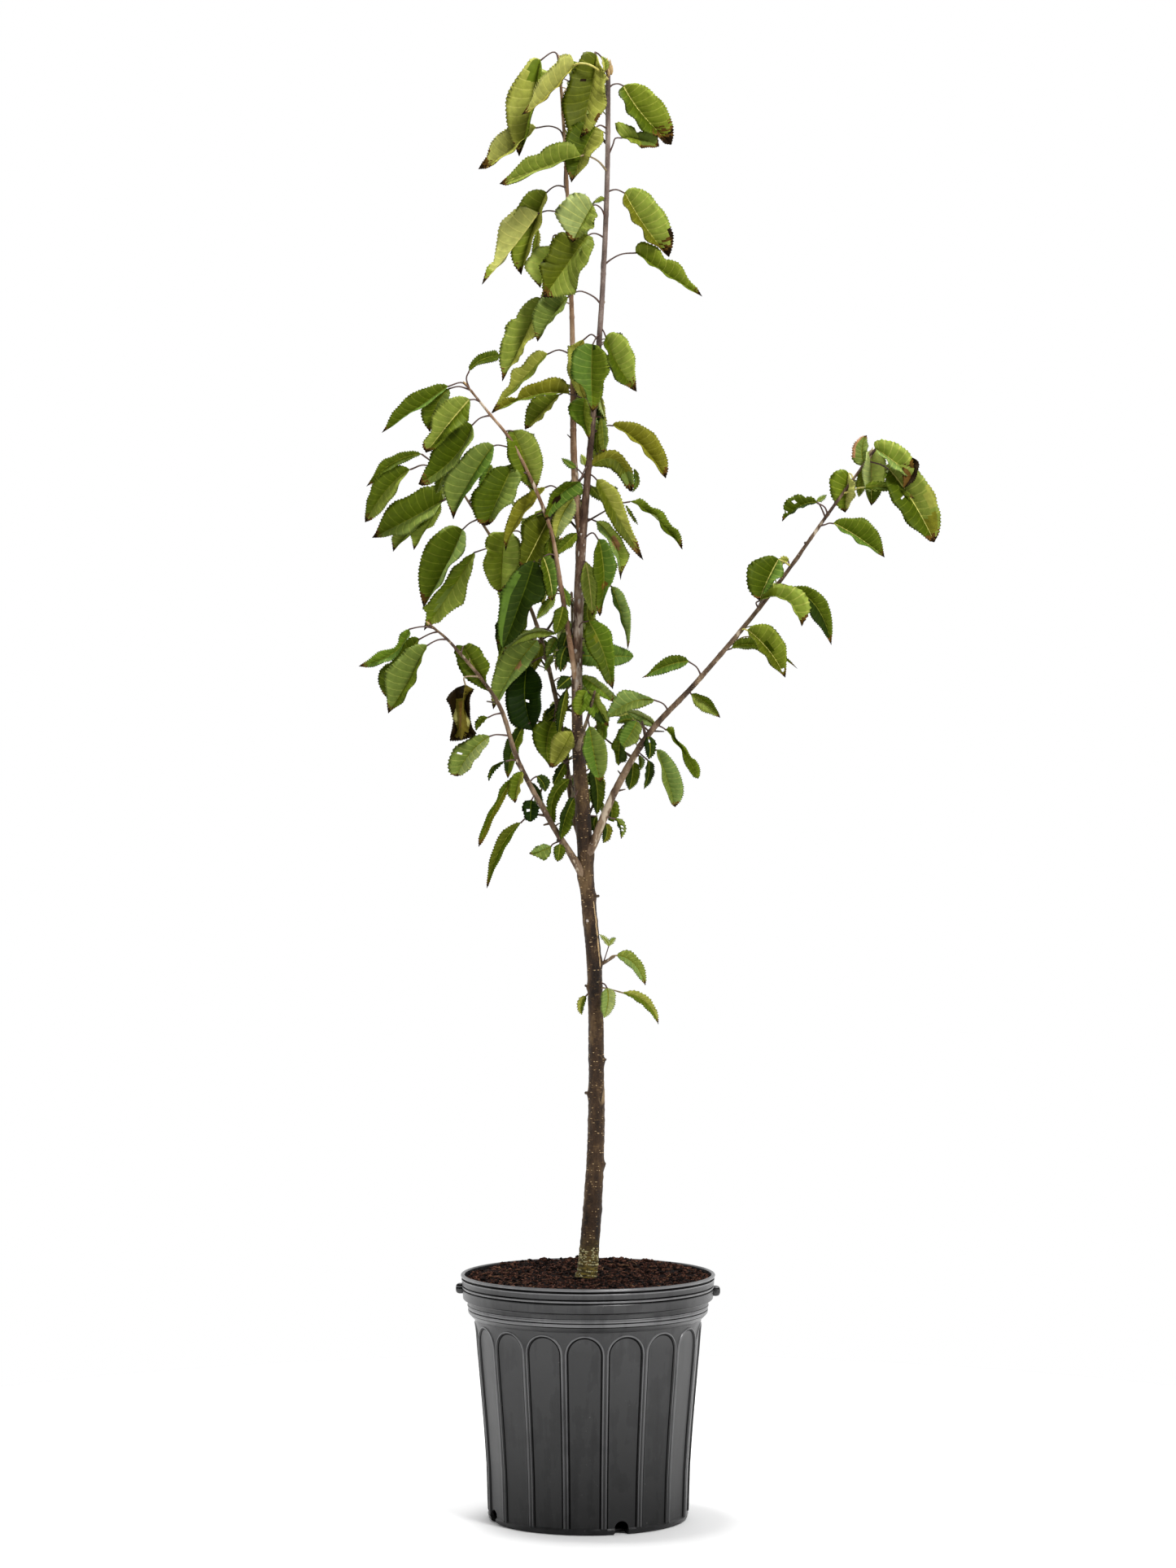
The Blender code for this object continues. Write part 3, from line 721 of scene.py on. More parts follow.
def nearest_mass(place):
    """The mass of foliage that a point in metres belongs to."""
    best, found = 1e9, None
    for name, (centre, half) in MASS_BOXES.items():
        far = float((((place - centre) / (half + 0.004)) ** 2).sum())
        if far < best:
            best, found = far, name
    return found


def batch_for(place):
    return FOLIAGE.setdefault(nearest_mass(place), Batch())


TILE = {"next": 0}


def next_tiles():
    """Two cells of the leaf layout, one for each face of the next leaf."""
    across = 32
    made = []
    for _ in range(2):
        k = TILE["next"] % (across * across)
        TILE["next"] += 1
        made.append(((k % across + 0.05) / across, (k // across + 0.05) / across,
                     0.9 / across, 0.9 / across))
    return made


petioles = Batch()
STALKS = {"red": 0, "pale": 1, "yellow": 2, "green": 3, "twig": 4, "bud": 5}


def stalk(limb_key, root, base, via=(), kind="red", thick=0.85, direction=None):
    """A leaf stalk from inside its limb to the leaf's base, through view points."""
    start = limb_root(limb_key, *root)
    stops = [np.array(root, float)] + [np.array(q[:2], float) for q in via] + [np.array(base[:2], float)]
    legs = np.concatenate([[0], np.cumsum([np.linalg.norm(b - a) for a, b in zip(stops, stops[1:])])])
    share = legs / max(legs[-1], 1e-6)
    line = [start]
    for q, s, told in zip(stops[1:], share[1:], [*via, base[:2]]):
        line.append(np.array([q[0], q[1], start[2] + told[2] if len(told) > 2
                              else start[2] + (base[2] - start[2]) * s ** 0.8]))
    if len(line) == 2:
        middle = (line[0] + line[1]) / 2
        middle[1] -= 0.10 * np.linalg.norm(line[1] - line[0])
        line.insert(1, middle)
    path = curve_through(line, max(8, int(legs[-1] / 3.5)))
    tube(petioles, path, [thick * 1.7, thick * 1.2, thick * 1.1, thick * 1.3], 7, STALKS[kind])
    return path


# Margins measured for the leaves that show best: base, middle and tip of the midrib, then the
# two margins from base to tip.  A margin of None keeps the half's own width.
TRACES = {
    "T1": ((664, 73), (654, 128), (638, 192.5),
           [(658.5, 70.5), (652, 72), (648, 77), (641.5, 85), (635.5, 93), (630, 103), (625.5, 113), (622.5, 124), (621.5, 136), (621.5, 147), (623, 156), (629, 172), (634.5, 184)],
           [(667, 82), (667, 100), (663, 120), (657, 140), (652, 152), (645, 172), (641, 185)]),
    "T2": ((705, 80), (677, 114), (641, 141),
           [(704.5, 74), (702, 67.5), (694, 66.5), (687.5, 68), (683, 78), (675.5, 85.5), (668, 91.5), (662, 98), (657, 109), (654, 121), (648, 131)],
           [(699, 90), (691, 100), (682, 110.5), (673, 119.5), (664, 127.5), (652, 137)]),
    "T3": ((733, 67), (726, 112), (712, 170),
           [(728, 64), (722, 63), (716, 64.5), (712.5, 71.5), (709, 78), (705, 85.5), (700, 97), (696.5, 107), (693, 115.5), (691, 124.5), (691.5, 134.5), (693, 143), (694.5, 153), (698, 161), (705, 167)],
           [(740, 81.5), (743.5, 95.5), (744.5, 110), (744, 124.5), (742, 135.5), (738.5, 143), (734.5, 150), (730.5, 154.5), (721, 163)]),
    "T4": ((659, 156.5), (628, 184), (587.5, 208),
           [(654.5, 152), (644, 151), (634, 152), (624, 156), (616, 162.5), (608.5, 170), (603.5, 176), (600, 184), (598, 192.5), (592.5, 200)],
           [(655, 161), (648, 168), (640, 176), (631, 185), (620, 193.5), (608, 201.5), (597, 207)]),
    "T5": ((714.5, 191.5), (666, 207), (613.5, 226),
           [(711, 187), (706.5, 178), (697, 174), (687, 174), (678.5, 177), (670, 182), (663, 189.5), (656, 191), (648.5, 192), (641.5, 197), (633, 207), (627, 214), (620, 220)],
           [(700, 196), (684, 201.5), (667, 209.5), (650, 217), (634, 224), (622, 228)]),
    "T6": ((732, 156), (718, 184), (702, 224.5),
           [(728, 151), (721, 149.3), (711, 149.5), (703, 154.5), (697, 163), (694.5, 171.5), (693.5, 185), (694.5, 198), (696.5, 207), (699.5, 216)],
           [(737, 158), (741.5, 161.5), (740, 173), (736.5, 181.5), (731.5, 187), (725.5, 191.5), (721.5, 200), (714.5, 208.5), (708.5, 216)]),
    "T7": ((766, 105), (787, 138), (825, 178),
           [(760, 111), (761, 118), (767, 128), (772, 139), (781.5, 152), (791, 160.5), (801, 165.5), (810, 170.5), (817, 176.5)],
           [(771, 103), (781.5, 101.5), (791.5, 105.5), (801, 112), (810.5, 121.5), (818.5, 133), (823.5, 143), (826.5, 154), (827, 168)]),
    "T8": ((764, 169.5), (786, 171), (810, 180),
           [(772, 172.5), (782, 178), (788, 181.5), (801, 181.5)],
           [(757, 161), (755.5, 151.5), (761, 149), (770.5, 153.5), (778.5, 156.5), (782, 163), (786, 161.5), (797.5, 160), (807.5, 166.5)]),
    "T9": ((671.5, 236), (655, 280), (640.5, 338),
           [(667, 233), (659, 232.5), (650.5, 235.5), (642, 243), (636, 253), (630, 270), (627, 290), (627.5, 309), (629, 317), (633, 327.5)],
           [(672.5, 243), (669, 255), (666, 267.5), (662, 280), (658, 290), (652.5, 303), (646.5, 317)]),
    "T10": ((662, 261.5), (634, 300), (592, 350),
            [(653, 257), (646.5, 254), (638, 254), (630, 259), (623.5, 264.5), (616.5, 272), (612.5, 284), (610.5, 296.5), (609, 309), (607, 321), (599, 327.5), (596, 336)], None),
    "T11": ((728.5, 252), (717, 272), (703.5, 298),
            [(724, 242.5), (717, 238), (710.5, 236.5), (702, 238.5), (694, 244), (688.5, 251), (683.5, 259), (682.5, 265), (687, 274), (692, 280.5), (696.5, 285), (699.5, 292.5)],
            [(731.5, 256), (733.5, 265), (731, 274), (726, 281), (718, 286.5), (710.5, 293)]),
    "T12": ((722.5, 289), (702, 318), (668, 365.5),
            [(716, 286), (698, 287), (692, 284.5), (687, 285), (681.5, 292), (676.5, 300.5), (675, 309), (669, 317), (663.5, 327), (666, 338), (667, 348), (667, 358)],
            [(728, 291), (730.5, 300.5), (728, 309), (721, 321.5), (715, 333.5), (710.5, 344), (708, 352), (707, 361), (697, 363.5), (684, 365)]),
    "T13": ((679, 303), (669, 327), (664, 354),
            [(673, 302), (661, 302.5), (656, 308), (650, 316), (645, 323), (645, 331), (651, 338), (657, 345)], None),
    "T14": ((767.5, 236.5), (790, 275), (822, 316),
            [(765, 243), (766.5, 251), (771.5, 261.5), (779, 272), (787, 282), (792.5, 292), (799.5, 298.5), (808, 304.5), (816, 311)],
            [(771.5, 232), (779, 230), (789, 232), (797.5, 238.5), (806, 248), (814, 257.5), (820.5, 270), (824.5, 280), (827.5, 288), (826.5, 299), (824.5, 309)]),
    "T15": ((781, 310), (819, 337.5), (863, 364.5),
            [(789, 318), (803.5, 328), (818, 337.5), (832.5, 345), (847, 353), (857, 361)],
            [(780.5, 304), (783, 299.5), (789, 297), (797.5, 299.5), (806, 302), (811, 307), (814, 315), (817.5, 319), (824, 319), (832.5, 321.5), (838, 328), (841, 334), (845, 342), (850, 348), (856, 353)]),
    "T16": ((698, 365), (680, 388), (660.5, 420),
            [(694, 363.5), (685.5, 362), (674.5, 362.5), (667, 365.5), (660.5, 371.5), (657, 379), (654.5, 387), (654.5, 397), (656, 404), (658, 412)],
            [(696, 373), (693.5, 378.5), (688.5, 383), (685.5, 388), (678.5, 393), (671.5, 398.5), (666, 404.5), (662.5, 411.5)]),
    "T17": ((664, 366), (646, 411), (617, 469),
            [(660, 364.5), (653, 366.5), (648.5, 370), (644, 375), (640, 380), (635.5, 386), (633.5, 391.5), (628.5, 392), (624.5, 397), (621.5, 401.5), (621.5, 407), (619, 413), (615.5, 418.5), (614.5, 426), (614, 436), (614.5, 447), (616.5, 457)],
            [(669, 372), (668, 385), (664, 398), (659, 410), (654.5, 416.5), (650.5, 420), (645.5, 426), (642, 433), (637.5, 437), (636.5, 444), (630, 449), (624.5, 456), (620.5, 463)]),
    "C18": ((576, 456.5), (592, 442), (614.5, 437),
            [(584.5, 450.5), (594, 446.5), (605, 445), (611, 443)],
            [(576, 450), (580.5, 443), (588, 436), (597, 432.5), (608.5, 430.5)]),
    "C19": ((673, 434.5), (641, 468), (603.5, 508),
            [(668, 431.5), (662, 430.5), (653.5, 434.5), (647.5, 439.5), (644, 447), (640, 451.5), (631, 453), (627, 458), (626.5, 467), (625.5, 474.5), (618, 482), (612.5, 491.5), (607, 500.5)],
            [(670, 439), (665, 447), (657.5, 456), (648.5, 467), (639, 475), (629.5, 482.5), (620, 491.5), (611, 502.5)]),
    "C20": ((700, 484), (655, 486.5), (604.5, 508),
            [(698.5, 475), (694.5, 467), (689, 464.5), (681.5, 464), (672, 466), (661, 469), (651.5, 472.5), (642, 477.5), (638.5, 482), (635, 489), (629, 487.5), (623, 488.5), (616, 493.5), (609, 501)], None),
    "C21": ((688, 484.5), (668, 504), (645, 528),
            [(680, 484), (672, 485.5), (662.5, 487.5), (653.5, 489.5), (648.5, 499), (646, 510), (644.5, 521)],
            [(684, 492), (681, 496), (674, 505), (665, 514.5), (654, 523.5)]),
    "C22": ((728, 423), (727, 465), (728, 507),
            [(720, 421.5), (709, 426), (704, 433.5), (701.5, 443), (701, 454), (703, 463.5), (708, 469.5), (715, 475), (720, 483), (722.5, 492), (725.5, 502)],
            [(735.5, 424.5), (743, 433.5), (747.5, 443), (748.5, 452.5), (745.5, 462), (742, 473), (740, 482), (737, 492), (733, 501)]),
    "C23": ((744, 413), (759, 448), (782.5, 481.5),
            [(742, 420.5), (744, 430), (747, 439), (749, 448.5), (751, 458), (756.5, 465.5), (763.5, 472), (771, 475.5), (778, 479.5)],
            [(748.5, 409), (754, 407.5), (763.5, 411), (771, 418.5), (776.5, 428), (779.5, 439), (780.5, 450), (780.5, 463), (781.5, 475)]),
    "C24": ((717, 417), (707, 450), (722, 500),
            [(708, 420), (699.5, 426), (697, 437), (697, 450.5), (699, 462), (703, 473), (709, 482), (717, 491.5)], None),
    "C25": ((719, 489), (718, 512), (724, 540.5),
            [(713, 489), (705.5, 491), (700, 495.5), (698.5, 503), (699, 510.5), (707.5, 517.5), (715, 525), (720.5, 534.5)],
            [(722.5, 493.5), (725.5, 504.5), (726.5, 516), (725.5, 529)]),
    "C26": ((738.5, 512), (741, 533), (742, 556),
            [(735.5, 519.5), (734, 531), (734.5, 542), (738.5, 553)],
            [(743.5, 517.5), (746.5, 527), (747.5, 538), (746, 549)]),
    "C27": ((752.5, 522.5), (788, 547), (818, 588),
            [(763.5, 530), (775, 539), (786, 548.5), (795.5, 560), (804, 571), (812, 581)],
            [(754, 519.5), (761.5, 517.5), (773, 518.5), (784, 520.5), (793.5, 525), (803, 532.5), (810, 542), (816, 553), (820, 566), (820.5, 578)]),
    "C29": ((733, 589), (756, 630), (790.5, 688.5),
            [(732, 598), (735, 610), (742, 620), (745, 632), (750.5, 641.5), (757, 652), (768, 664), (777, 675.5), (784.5, 683.5)],
            [(741, 588.5), (748.5, 594), (755.5, 599.5), (761.5, 607), (765, 616), (767.5, 625), (770.5, 636), (774, 645), (778.5, 655.5), (783, 664.5), (786.5, 677)]),
    "C30": ((732, 640), (757, 672), (762.5, 713),
            [(734, 650), (740, 656), (747, 665), (752.5, 679), (757, 687), (760, 696)],
            [(741, 640), (748.5, 643), (756, 652), (763, 661), (769, 672), (773.5, 681), (771, 689), (767, 698), (764, 706)]),
    "C31": ((773, 616), (806, 637), (838.5, 675.5),
            [(785, 620.5), (795, 627), (804, 635), (811, 643), (818, 652.5), (826, 662), (833, 670)],
            [(779, 615), (786, 613), (793.5, 616.5), (800.5, 623), (808, 625), (815, 630.5), (820.5, 639.5), (826, 646.5), (833, 650), (836.5, 659), (838, 668)]),
    "C32": ((735, 662), (742, 708), (737, 757.5),
            [(733, 668), (731, 677), (728.5, 688), (728.5, 697), (729.5, 706), (732, 715), (733, 725), (732.5, 742), (734.5, 753)],
            [(743, 663), (748.5, 670), (754, 681), (756.5, 695), (756.5, 706), (753, 715), (747, 722), (743.5, 733), (741.5, 742), (739.5, 753)]),
    "C33": ((751, 720), (764, 757), (771.5, 798),
            [(750.5, 729), (753, 738), (757, 746), (761, 757), (765, 766), (767.5, 775), (770, 787)],
            [(759, 722), (765.5, 729.5), (770, 738.5), (773.5, 749), (775, 760.5), (775, 771), (774, 780), (773.5, 788.5)]),
    "C34": ((723, 762), (741, 800), (753, 847),
            [(720, 769.5), (718, 778), (718, 788.5), (721.5, 797), (727, 806), (734.5, 816.5), (739, 827), (745.5, 838.5)],
            [(731, 764), (738.5, 765), (745.5, 769.5), (750, 776.5), (752.5, 785), (754.5, 797), (754.5, 809), (755, 821.5), (755, 836)]),
    "C35": ((712, 806), (745, 806), (778.5, 807),
            [(714, 817), (728, 818.5), (739, 819), (752.5, 819), (763, 817), (773, 812.5)],
            [(714, 796), (728, 790), (742, 789), (754, 792), (763, 795.5), (771.5, 799), (777, 803.5)]),
    "C36": ((713.5, 830), (735, 845), (753.5, 863),
            [(714.5, 837), (718, 844), (725, 849), (733.5, 853), (744, 858.5)],
            [(721, 829), (732, 833.5), (740.5, 839.5), (747.5, 846), (752.5, 854)]),
    "C38": ((724, 892), (730, 927), (738, 962),
            [(720, 899), (718, 909), (716.5, 918.5), (717, 927.5), (719.5, 935.5), (723.5, 943), (728, 950.5), (733, 956)],
            [(730, 894), (736, 901.5), (742, 909), (745.5, 917), (746.5, 926), (745.5, 935), (745, 944.5), (742, 953.5)]),
    "D40": ((703, 899), (691, 922), (678, 944),
            [(697, 898), (689, 898.5), (683.5, 901.5), (678, 910), (676, 920), (675.5, 930), (676, 938)],
            [(705.5, 906), (705, 917), (700.5, 924.5), (696, 930.5), (688.5, 936), (683.5, 941.5)]),
    "D41": ((680, 886), (672, 915), (676, 944),
            [(668, 885), (658, 890.5), (654, 896), (653.5, 903), (655, 909), (657.5, 915.5), (662, 924.5), (668, 932), (673, 938.5)],
            [(688, 893), (690, 905), (688, 920), (682, 933)]),
    "D42": ((648, 816), (645, 858), (655, 898),
            [(641, 822), (636, 830), (629.5, 839), (622.5, 847.5), (621, 858), (621, 868), (623.5, 878.5), (627, 887.5), (633, 892.5), (643, 895)],
            [(655, 821), (660, 827), (664, 834), (667, 844), (665, 853), (664, 865), (662.5, 878.5), (660, 887.5)]),
    "D43": ((660, 786), (631, 824), (606, 872),
            [(648, 788), (636, 791), (627, 795), (620.5, 799), (615, 808.5), (610.5, 816), (609, 823.5), (606, 832), (603.5, 841), (603, 852.5), (604.5, 864.5)],
            [(664, 795), (660, 805), (651, 815), (642, 824), (634, 835), (628, 842), (622, 849), (615.5, 858.5), (609.5, 866)]),
    "D44": ((684, 779), (650, 779), (616, 806),
            [(676, 775.5), (669, 773.5), (659, 772.5), (648.5, 775), (638, 779.5), (629.5, 786.5), (621, 795.5)],
            [(672, 782), (659, 784), (648.5, 788), (635, 794.5), (623, 802)]),
    "D45": ((656, 689), (640, 738), (618, 796),
            [(650, 689.5), (640, 695.5), (633, 701.5), (627, 708.5), (621, 718.5), (616, 728.5), (615, 738.5), (613.5, 748.5), (612, 757), (611, 770), (612.5, 782), (615, 792)],
            [(661, 692), (665, 697.5), (669, 706), (670.5, 719), (669, 731), (664.5, 738.5), (658.5, 741.5), (653, 746), (649.5, 755), (645, 768), (637.5, 780), (627, 790)]),
    "D45b": ((617, 752), (612, 778), (614, 806),
             [(612, 760), (608.5, 770), (608.5, 780), (610, 789), (611.5, 798)], None),
    "D46": ((671, 598), (640, 633), (621, 677.5),
            [(662, 599.5), (653, 603), (644, 608.5), (635, 616), (628.5, 625), (624.5, 635.5), (623, 643), (620.5, 651.5), (619, 663), (620.5, 673)],
            [(668, 603), (660.5, 612.5), (651.5, 623), (643, 635.5), (634, 648.5), (627, 661), (623, 671)]),
    "D47": ((713, 592), (688, 608), (670, 640),
            [(707, 591), (696, 592.5), (687, 596), (680, 603.5), (674.5, 612.5), (672, 623), (669.5, 634)],
            [(716, 598), (716, 607), (707, 610), (698, 615), (690, 622), (681, 629), (675, 636)]),
    "D48": ((705, 612), (690, 635), (683, 662),
            [(697, 616), (688, 622), (681, 631), (678, 640), (679, 651)],
            [(708, 620), (707, 630), (702, 640), (695, 648), (690, 656)]),
    "D50": ((673, 640), (659, 668), (642, 700),
            [(665.5, 632.5), (658, 635.5), (649.5, 637.5), (644, 643), (642, 652), (642, 662), (639, 673), (639, 683), (638, 690), (639, 696)],
            [(676, 648), (675, 658), (671, 668), (668, 680), (660, 692), (650, 699)]),
    "D51": ((667, 684), (675, 708), (679.5, 738),
            [(664.5, 688), (664.5, 697), (667, 706), (669, 717), (671, 727.5), (674, 735)],
            [(674.5, 682.5), (680, 688), (682, 697), (684, 706), (684.5, 717), (683.5, 728)]),
    "D54": ((620, 654), (617, 690), (616, 729.5),
            [(612, 653.5), (605, 653.5), (600, 657.5), (597.5, 662), (597, 669), (598, 677), (595.5, 683), (594, 691.5), (595, 700), (597, 708.5), (601.5, 717), (607, 723)],
            [(630, 655), (636, 661), (639, 668), (641, 680), (640, 692), (634, 703), (627, 709), (622, 719)]),
    "E55": ((551, 474.5), (515, 500), (469, 532),
            [(546.5, 472), (537.5, 472), (528, 475), (517.5, 478), (506.5, 483.5), (497.5, 491), (490, 499), (482, 506.5), (477.5, 516), (474.5, 523.5)],
            [(544, 483), (531, 493), (517, 501.5), (504, 509), (491.5, 517), (480, 525)]),
    "E56": ((552, 477), (535, 500), (528, 531),
            [(545, 478), (530, 487), (519, 497), (517.5, 505), (518.5, 513), (521, 520), (525, 526)],
            [(553, 483), (551, 491), (545, 502), (538, 514), (532, 524)]),
    "E57": ((577.5, 490.5), (553, 519), (523.5, 556.5),
            [(572.5, 488), (565, 486.5), (556, 488), (548, 491.5), (540.5, 499), (534.5, 505), (530.5, 513), (530, 522), (529.5, 530), (525, 536), (520.5, 542), (519.5, 549)],
            [(578.5, 498), (577, 507), (575, 516), (566, 524), (555, 533), (545, 542), (533, 552)]),
    "E58": ((580, 522), (558, 562), (514, 595),
            [(575.5, 519), (568, 516.5), (560, 518), (552.5, 522), (546.5, 527), (540.5, 537), (534.5, 546.5), (530, 557.5), (527.5, 568), (522, 577.5), (517.5, 586.5)],
            [(581.5, 528), (581.5, 537.5), (577.5, 547), (572.5, 554.5), (566.5, 562), (560.5, 570), (553, 577), (545.5, 585), (537, 591.5), (527, 596), (519, 597)]),
    "E59": ((606.5, 547), (578, 590), (557, 638.5),
            [(600, 543.5), (592.5, 544), (583.5, 547.5), (577, 551.5), (572.5, 556), (568.5, 562), (563.5, 568), (556, 574.5), (548.5, 582), (544.5, 589.5), (543.5, 598.5), (546, 608), (550, 617.5), (554, 628)],
            [(607.5, 553), (606, 562), (602, 569.5), (596.5, 577), (591, 585), (585, 594), (579.5, 601.5), (572.5, 606.5), (568, 612.5), (565, 619), (560.5, 628)]),
    "E60": ((628, 577), (614, 608), (597.5, 646),
            [(621.5, 572.5), (614, 572.5), (606.5, 575.5), (600, 581), (595.5, 588), (589.5, 595.5), (584, 600.5), (580, 607), (579.5, 617), (581, 626.5), (584, 635.5), (588.5, 642.5), (593, 645)],
            [(635, 576), (640.5, 585), (640, 592.5), (636.5, 600), (634, 608), (628, 617), (620, 624), (614, 631), (608, 638.5), (602, 644)]),
    "E61": ((630, 529), (645, 565), (658, 602),
            [(624, 530), (621.5, 536), (622.5, 549.5), (624, 560.5), (628, 571), (634, 582), (642, 592), (650, 599)],
            [(640, 527), (649.5, 530.5), (657, 538), (662.5, 547.5), (666.5, 560), (667, 572), (664.5, 583), (662, 593)]),
    "F62": ((518, 558), (483, 569), (450, 598),
            [(514, 555.5), (506.5, 554), (497.5, 555), (490, 557), (482, 560.5), (473, 564), (466.5, 570), (462, 577), (458.5, 585), (453, 594)],
            [(513, 561), (502, 565.5), (492, 571), (480, 577), (470, 583), (461, 592)]),
    "F63": ((504, 577), (475, 602), (448.5, 642),
            [(499, 573.5), (493, 572), (485, 572.5), (476, 575.5), (468.5, 581), (462, 588), (457, 597), (454, 606.5), (450.5, 614), (450, 625), (448.5, 635)],
            [(498, 584.5), (491.5, 595), (487, 603), (482, 612.5), (474.5, 622), (465.5, 631), (456, 639)]),
    "F64": ((545, 615), (507, 636), (457, 661),
            [(543, 603), (535, 598), (524, 598), (517.5, 600.5), (512.5, 603.5), (503.5, 608), (494.5, 612.5), (486.5, 615.5), (479, 622), (473, 629.5), (468.5, 638.5), (464.5, 648), (461, 655.5)],
            [(541, 622), (535, 630), (528, 637), (520, 643), (512, 648), (503, 655), (494, 659), (484, 658), (472, 660)]),
    "F65": ((541, 617), (512, 645), (483, 678),
            [(532, 622), (515, 633), (498, 646), (484, 655), (481.5, 662), (482.5, 670)],
            [(538, 628), (520, 645), (503, 658), (494, 666), (487, 673)]),
    "F66": ((541, 617), (526, 645), (508.5, 676),
            [(533, 624), (520, 638), (509, 650), (504, 657), (506.5, 663), (507.5, 670)],
            [(542.5, 623), (541.5, 629), (537, 638.5), (533, 645.5), (523, 650), (516, 655.5), (511.5, 663), (509.5, 671)]),
    "F67": ((568, 650.5), (550, 692), (520.5, 746.5),
            [(565.5, 648.5), (561.5, 646.5), (555.5, 645.5), (548.5, 647), (541.5, 650.5), (535.5, 655.5), (530, 661.5), (524.5, 670), (520, 678.5), (516.5, 687), (514.5, 697), (514.5, 708.5), (515.5, 720), (517, 731.5), (519, 741.5)],
            [(571.5, 653.5), (573.5, 661.5), (573.5, 670), (570, 677), (564.5, 683), (560, 690), (553, 698.5), (546, 708.5), (541, 718.5), (535, 725.5), (529.5, 734), (524, 742)]),
    "F68": ((583, 678), (557, 722), (521, 775),
            [(580, 680), (571.5, 684.5), (565.5, 691.5), (557, 697), (551.5, 705.5), (545.5, 714.5), (540, 723), (533, 733), (527, 741.5), (519, 747), (524, 753), (523, 761), (521.5, 769)],
            [(584, 682), (581, 690), (580, 700), (578.5, 708.5), (574.5, 720), (572, 731.5), (568.5, 741.5), (560, 747), (553, 753), (547, 760), (540, 765), (531.5, 767), (525, 771)]),
    "G72": ((503, 772.5), (484, 802), (440.5, 819),
            [(497.5, 774), (493, 778), (491, 784), (489.5, 789.5), (484.5, 795.5), (477, 798.5), (465, 801.5), (458, 805.5), (452, 811.5), (445, 816)],
            [(504, 778), (499.5, 784), (498.5, 790), (494, 798), (486.5, 807.5), (478.5, 813.5), (470, 817), (459, 818.5), (450, 819.5)]),
    "G73": ((515, 785), (489, 825), (476.5, 858.5),
            [(513, 783), (507.5, 782), (502, 784.5), (494.5, 792.5), (488.5, 803), (484, 810), (480, 814.5), (474, 816), (467, 823), (465, 832), (465, 838), (467.5, 845.5), (471, 852.5)], None),
    "G74": ((525, 792.5), (504, 833), (477, 877),
            [(521, 791.5), (512, 791.5), (506, 794), (499, 797), (494.5, 804), (487, 811.5), (480, 817.5), (474, 826), (472.5, 838), (474, 848.5), (476, 858.5), (476, 868)],
            [(524, 798.5), (518, 808.5), (515, 820.5), (512, 832), (506.5, 844), (500.5, 854), (494.5, 863), (488.5, 867.5), (481.5, 873)]),
    "G75": ((569, 793.5), (583, 820), (601, 850),
            [(562, 792), (559, 795.5), (558, 801.5), (560.5, 808.5), (562.5, 816), (565.5, 823.5), (568, 829), (574, 835), (581, 839.5), (588.5, 844), (595.5, 847.5)],
            [(575, 791), (582.5, 791.5), (588.5, 795.5), (591.5, 801), (595.5, 807), (599.5, 811.5), (601, 817.5), (599.5, 825), (597.5, 832), (598, 841)]),
    "G77": ((600, 881.5), (592, 888.5), (585, 898),
            [(594, 879), (588.5, 881), (584.5, 886.5), (583.5, 893)], None),
    "G78": ((602, 904.5), (578, 925), (561, 954),
            [(596, 902.5), (590, 902.5), (582.5, 904.5), (575, 908.5), (566.5, 913), (559, 918.5), (554, 926), (551.5, 933.5), (551, 941), (552, 948), (555, 952)],
            [(601, 911.5), (595.5, 920), (590, 926), (584, 935), (579.5, 941), (575, 946.5), (569, 952.5)]),
    "G79": ((643, 893), (629, 925), (624, 957),
            [(637, 894), (631, 899), (625.5, 905), (621.5, 912), (618.5, 923), (619, 934), (620, 946), (622.5, 953)],
            [(644, 900), (642, 909), (638.5, 919), (635.5, 930), (631.5, 940), (628, 948)]),
    "G80": ((622, 935.5), (606, 942.5), (600.5, 960),
            [(613, 938), (606, 941), (601.5, 946.5), (599, 953)], [(615, 940.5), (609.5, 946), (604.5, 952)]),
    "G81": ((642, 948), (636, 966), (633, 987),
            [(637, 948.5), (631, 951), (627, 957), (625.5, 966), (623.5, 975), (627, 980.5)],
            [(643.5, 952), (643, 958), (640, 964.5), (639, 971), (636, 981)]),
    "G82": ((632, 955), (607, 995), (588, 1041),
            [(626, 957.5), (620.5, 961.5), (614.5, 970), (610.5, 981), (605, 992), (599, 1001), (594.5, 1010.5), (591.5, 1019.5), (588.5, 1030)],
            [(630, 962), (625, 970), (621, 981), (614.5, 991), (610, 1000), (604, 1012), (597.5, 1026), (593, 1035)]),
    "G83": ((640.5, 1010.5), (616, 1041), (598, 1092),
            [(634.5, 1011), (626.5, 1015), (618, 1020), (612.5, 1029), (608, 1038), (603.5, 1050), (601, 1061), (599.5, 1073), (598, 1084)],
            [(636.5, 1016.5), (628.5, 1029), (621, 1042.5), (614.5, 1055), (608.5, 1067), (603.5, 1079), (600, 1088.5)]),
    "G84": ((653, 983), (652, 996), (652, 1010),
            [(646, 983.5), (642.5, 987), (641.5, 993), (643.5, 999), (644, 1004), (647.5, 1008)],
            [(658, 985), (662, 991), (662, 998), (660, 1003), (656, 1007.5)]),
    "G85": ((677.5, 1040), (664, 1046), (650, 1049),
            [(671, 1037), (662, 1038.5), (656, 1043)], [(677.5, 1047), (674.5, 1053), (670, 1057.5), (665, 1055.5), (657.5, 1052)]),
    "G87": ((659, 954), (667, 962), (670, 973), [(660, 960), (664, 967)], [(664, 951.5), (671, 953.5), (676, 960), (674, 967)]),
    "G89": ((700, 957), (680, 980), (679, 1017),
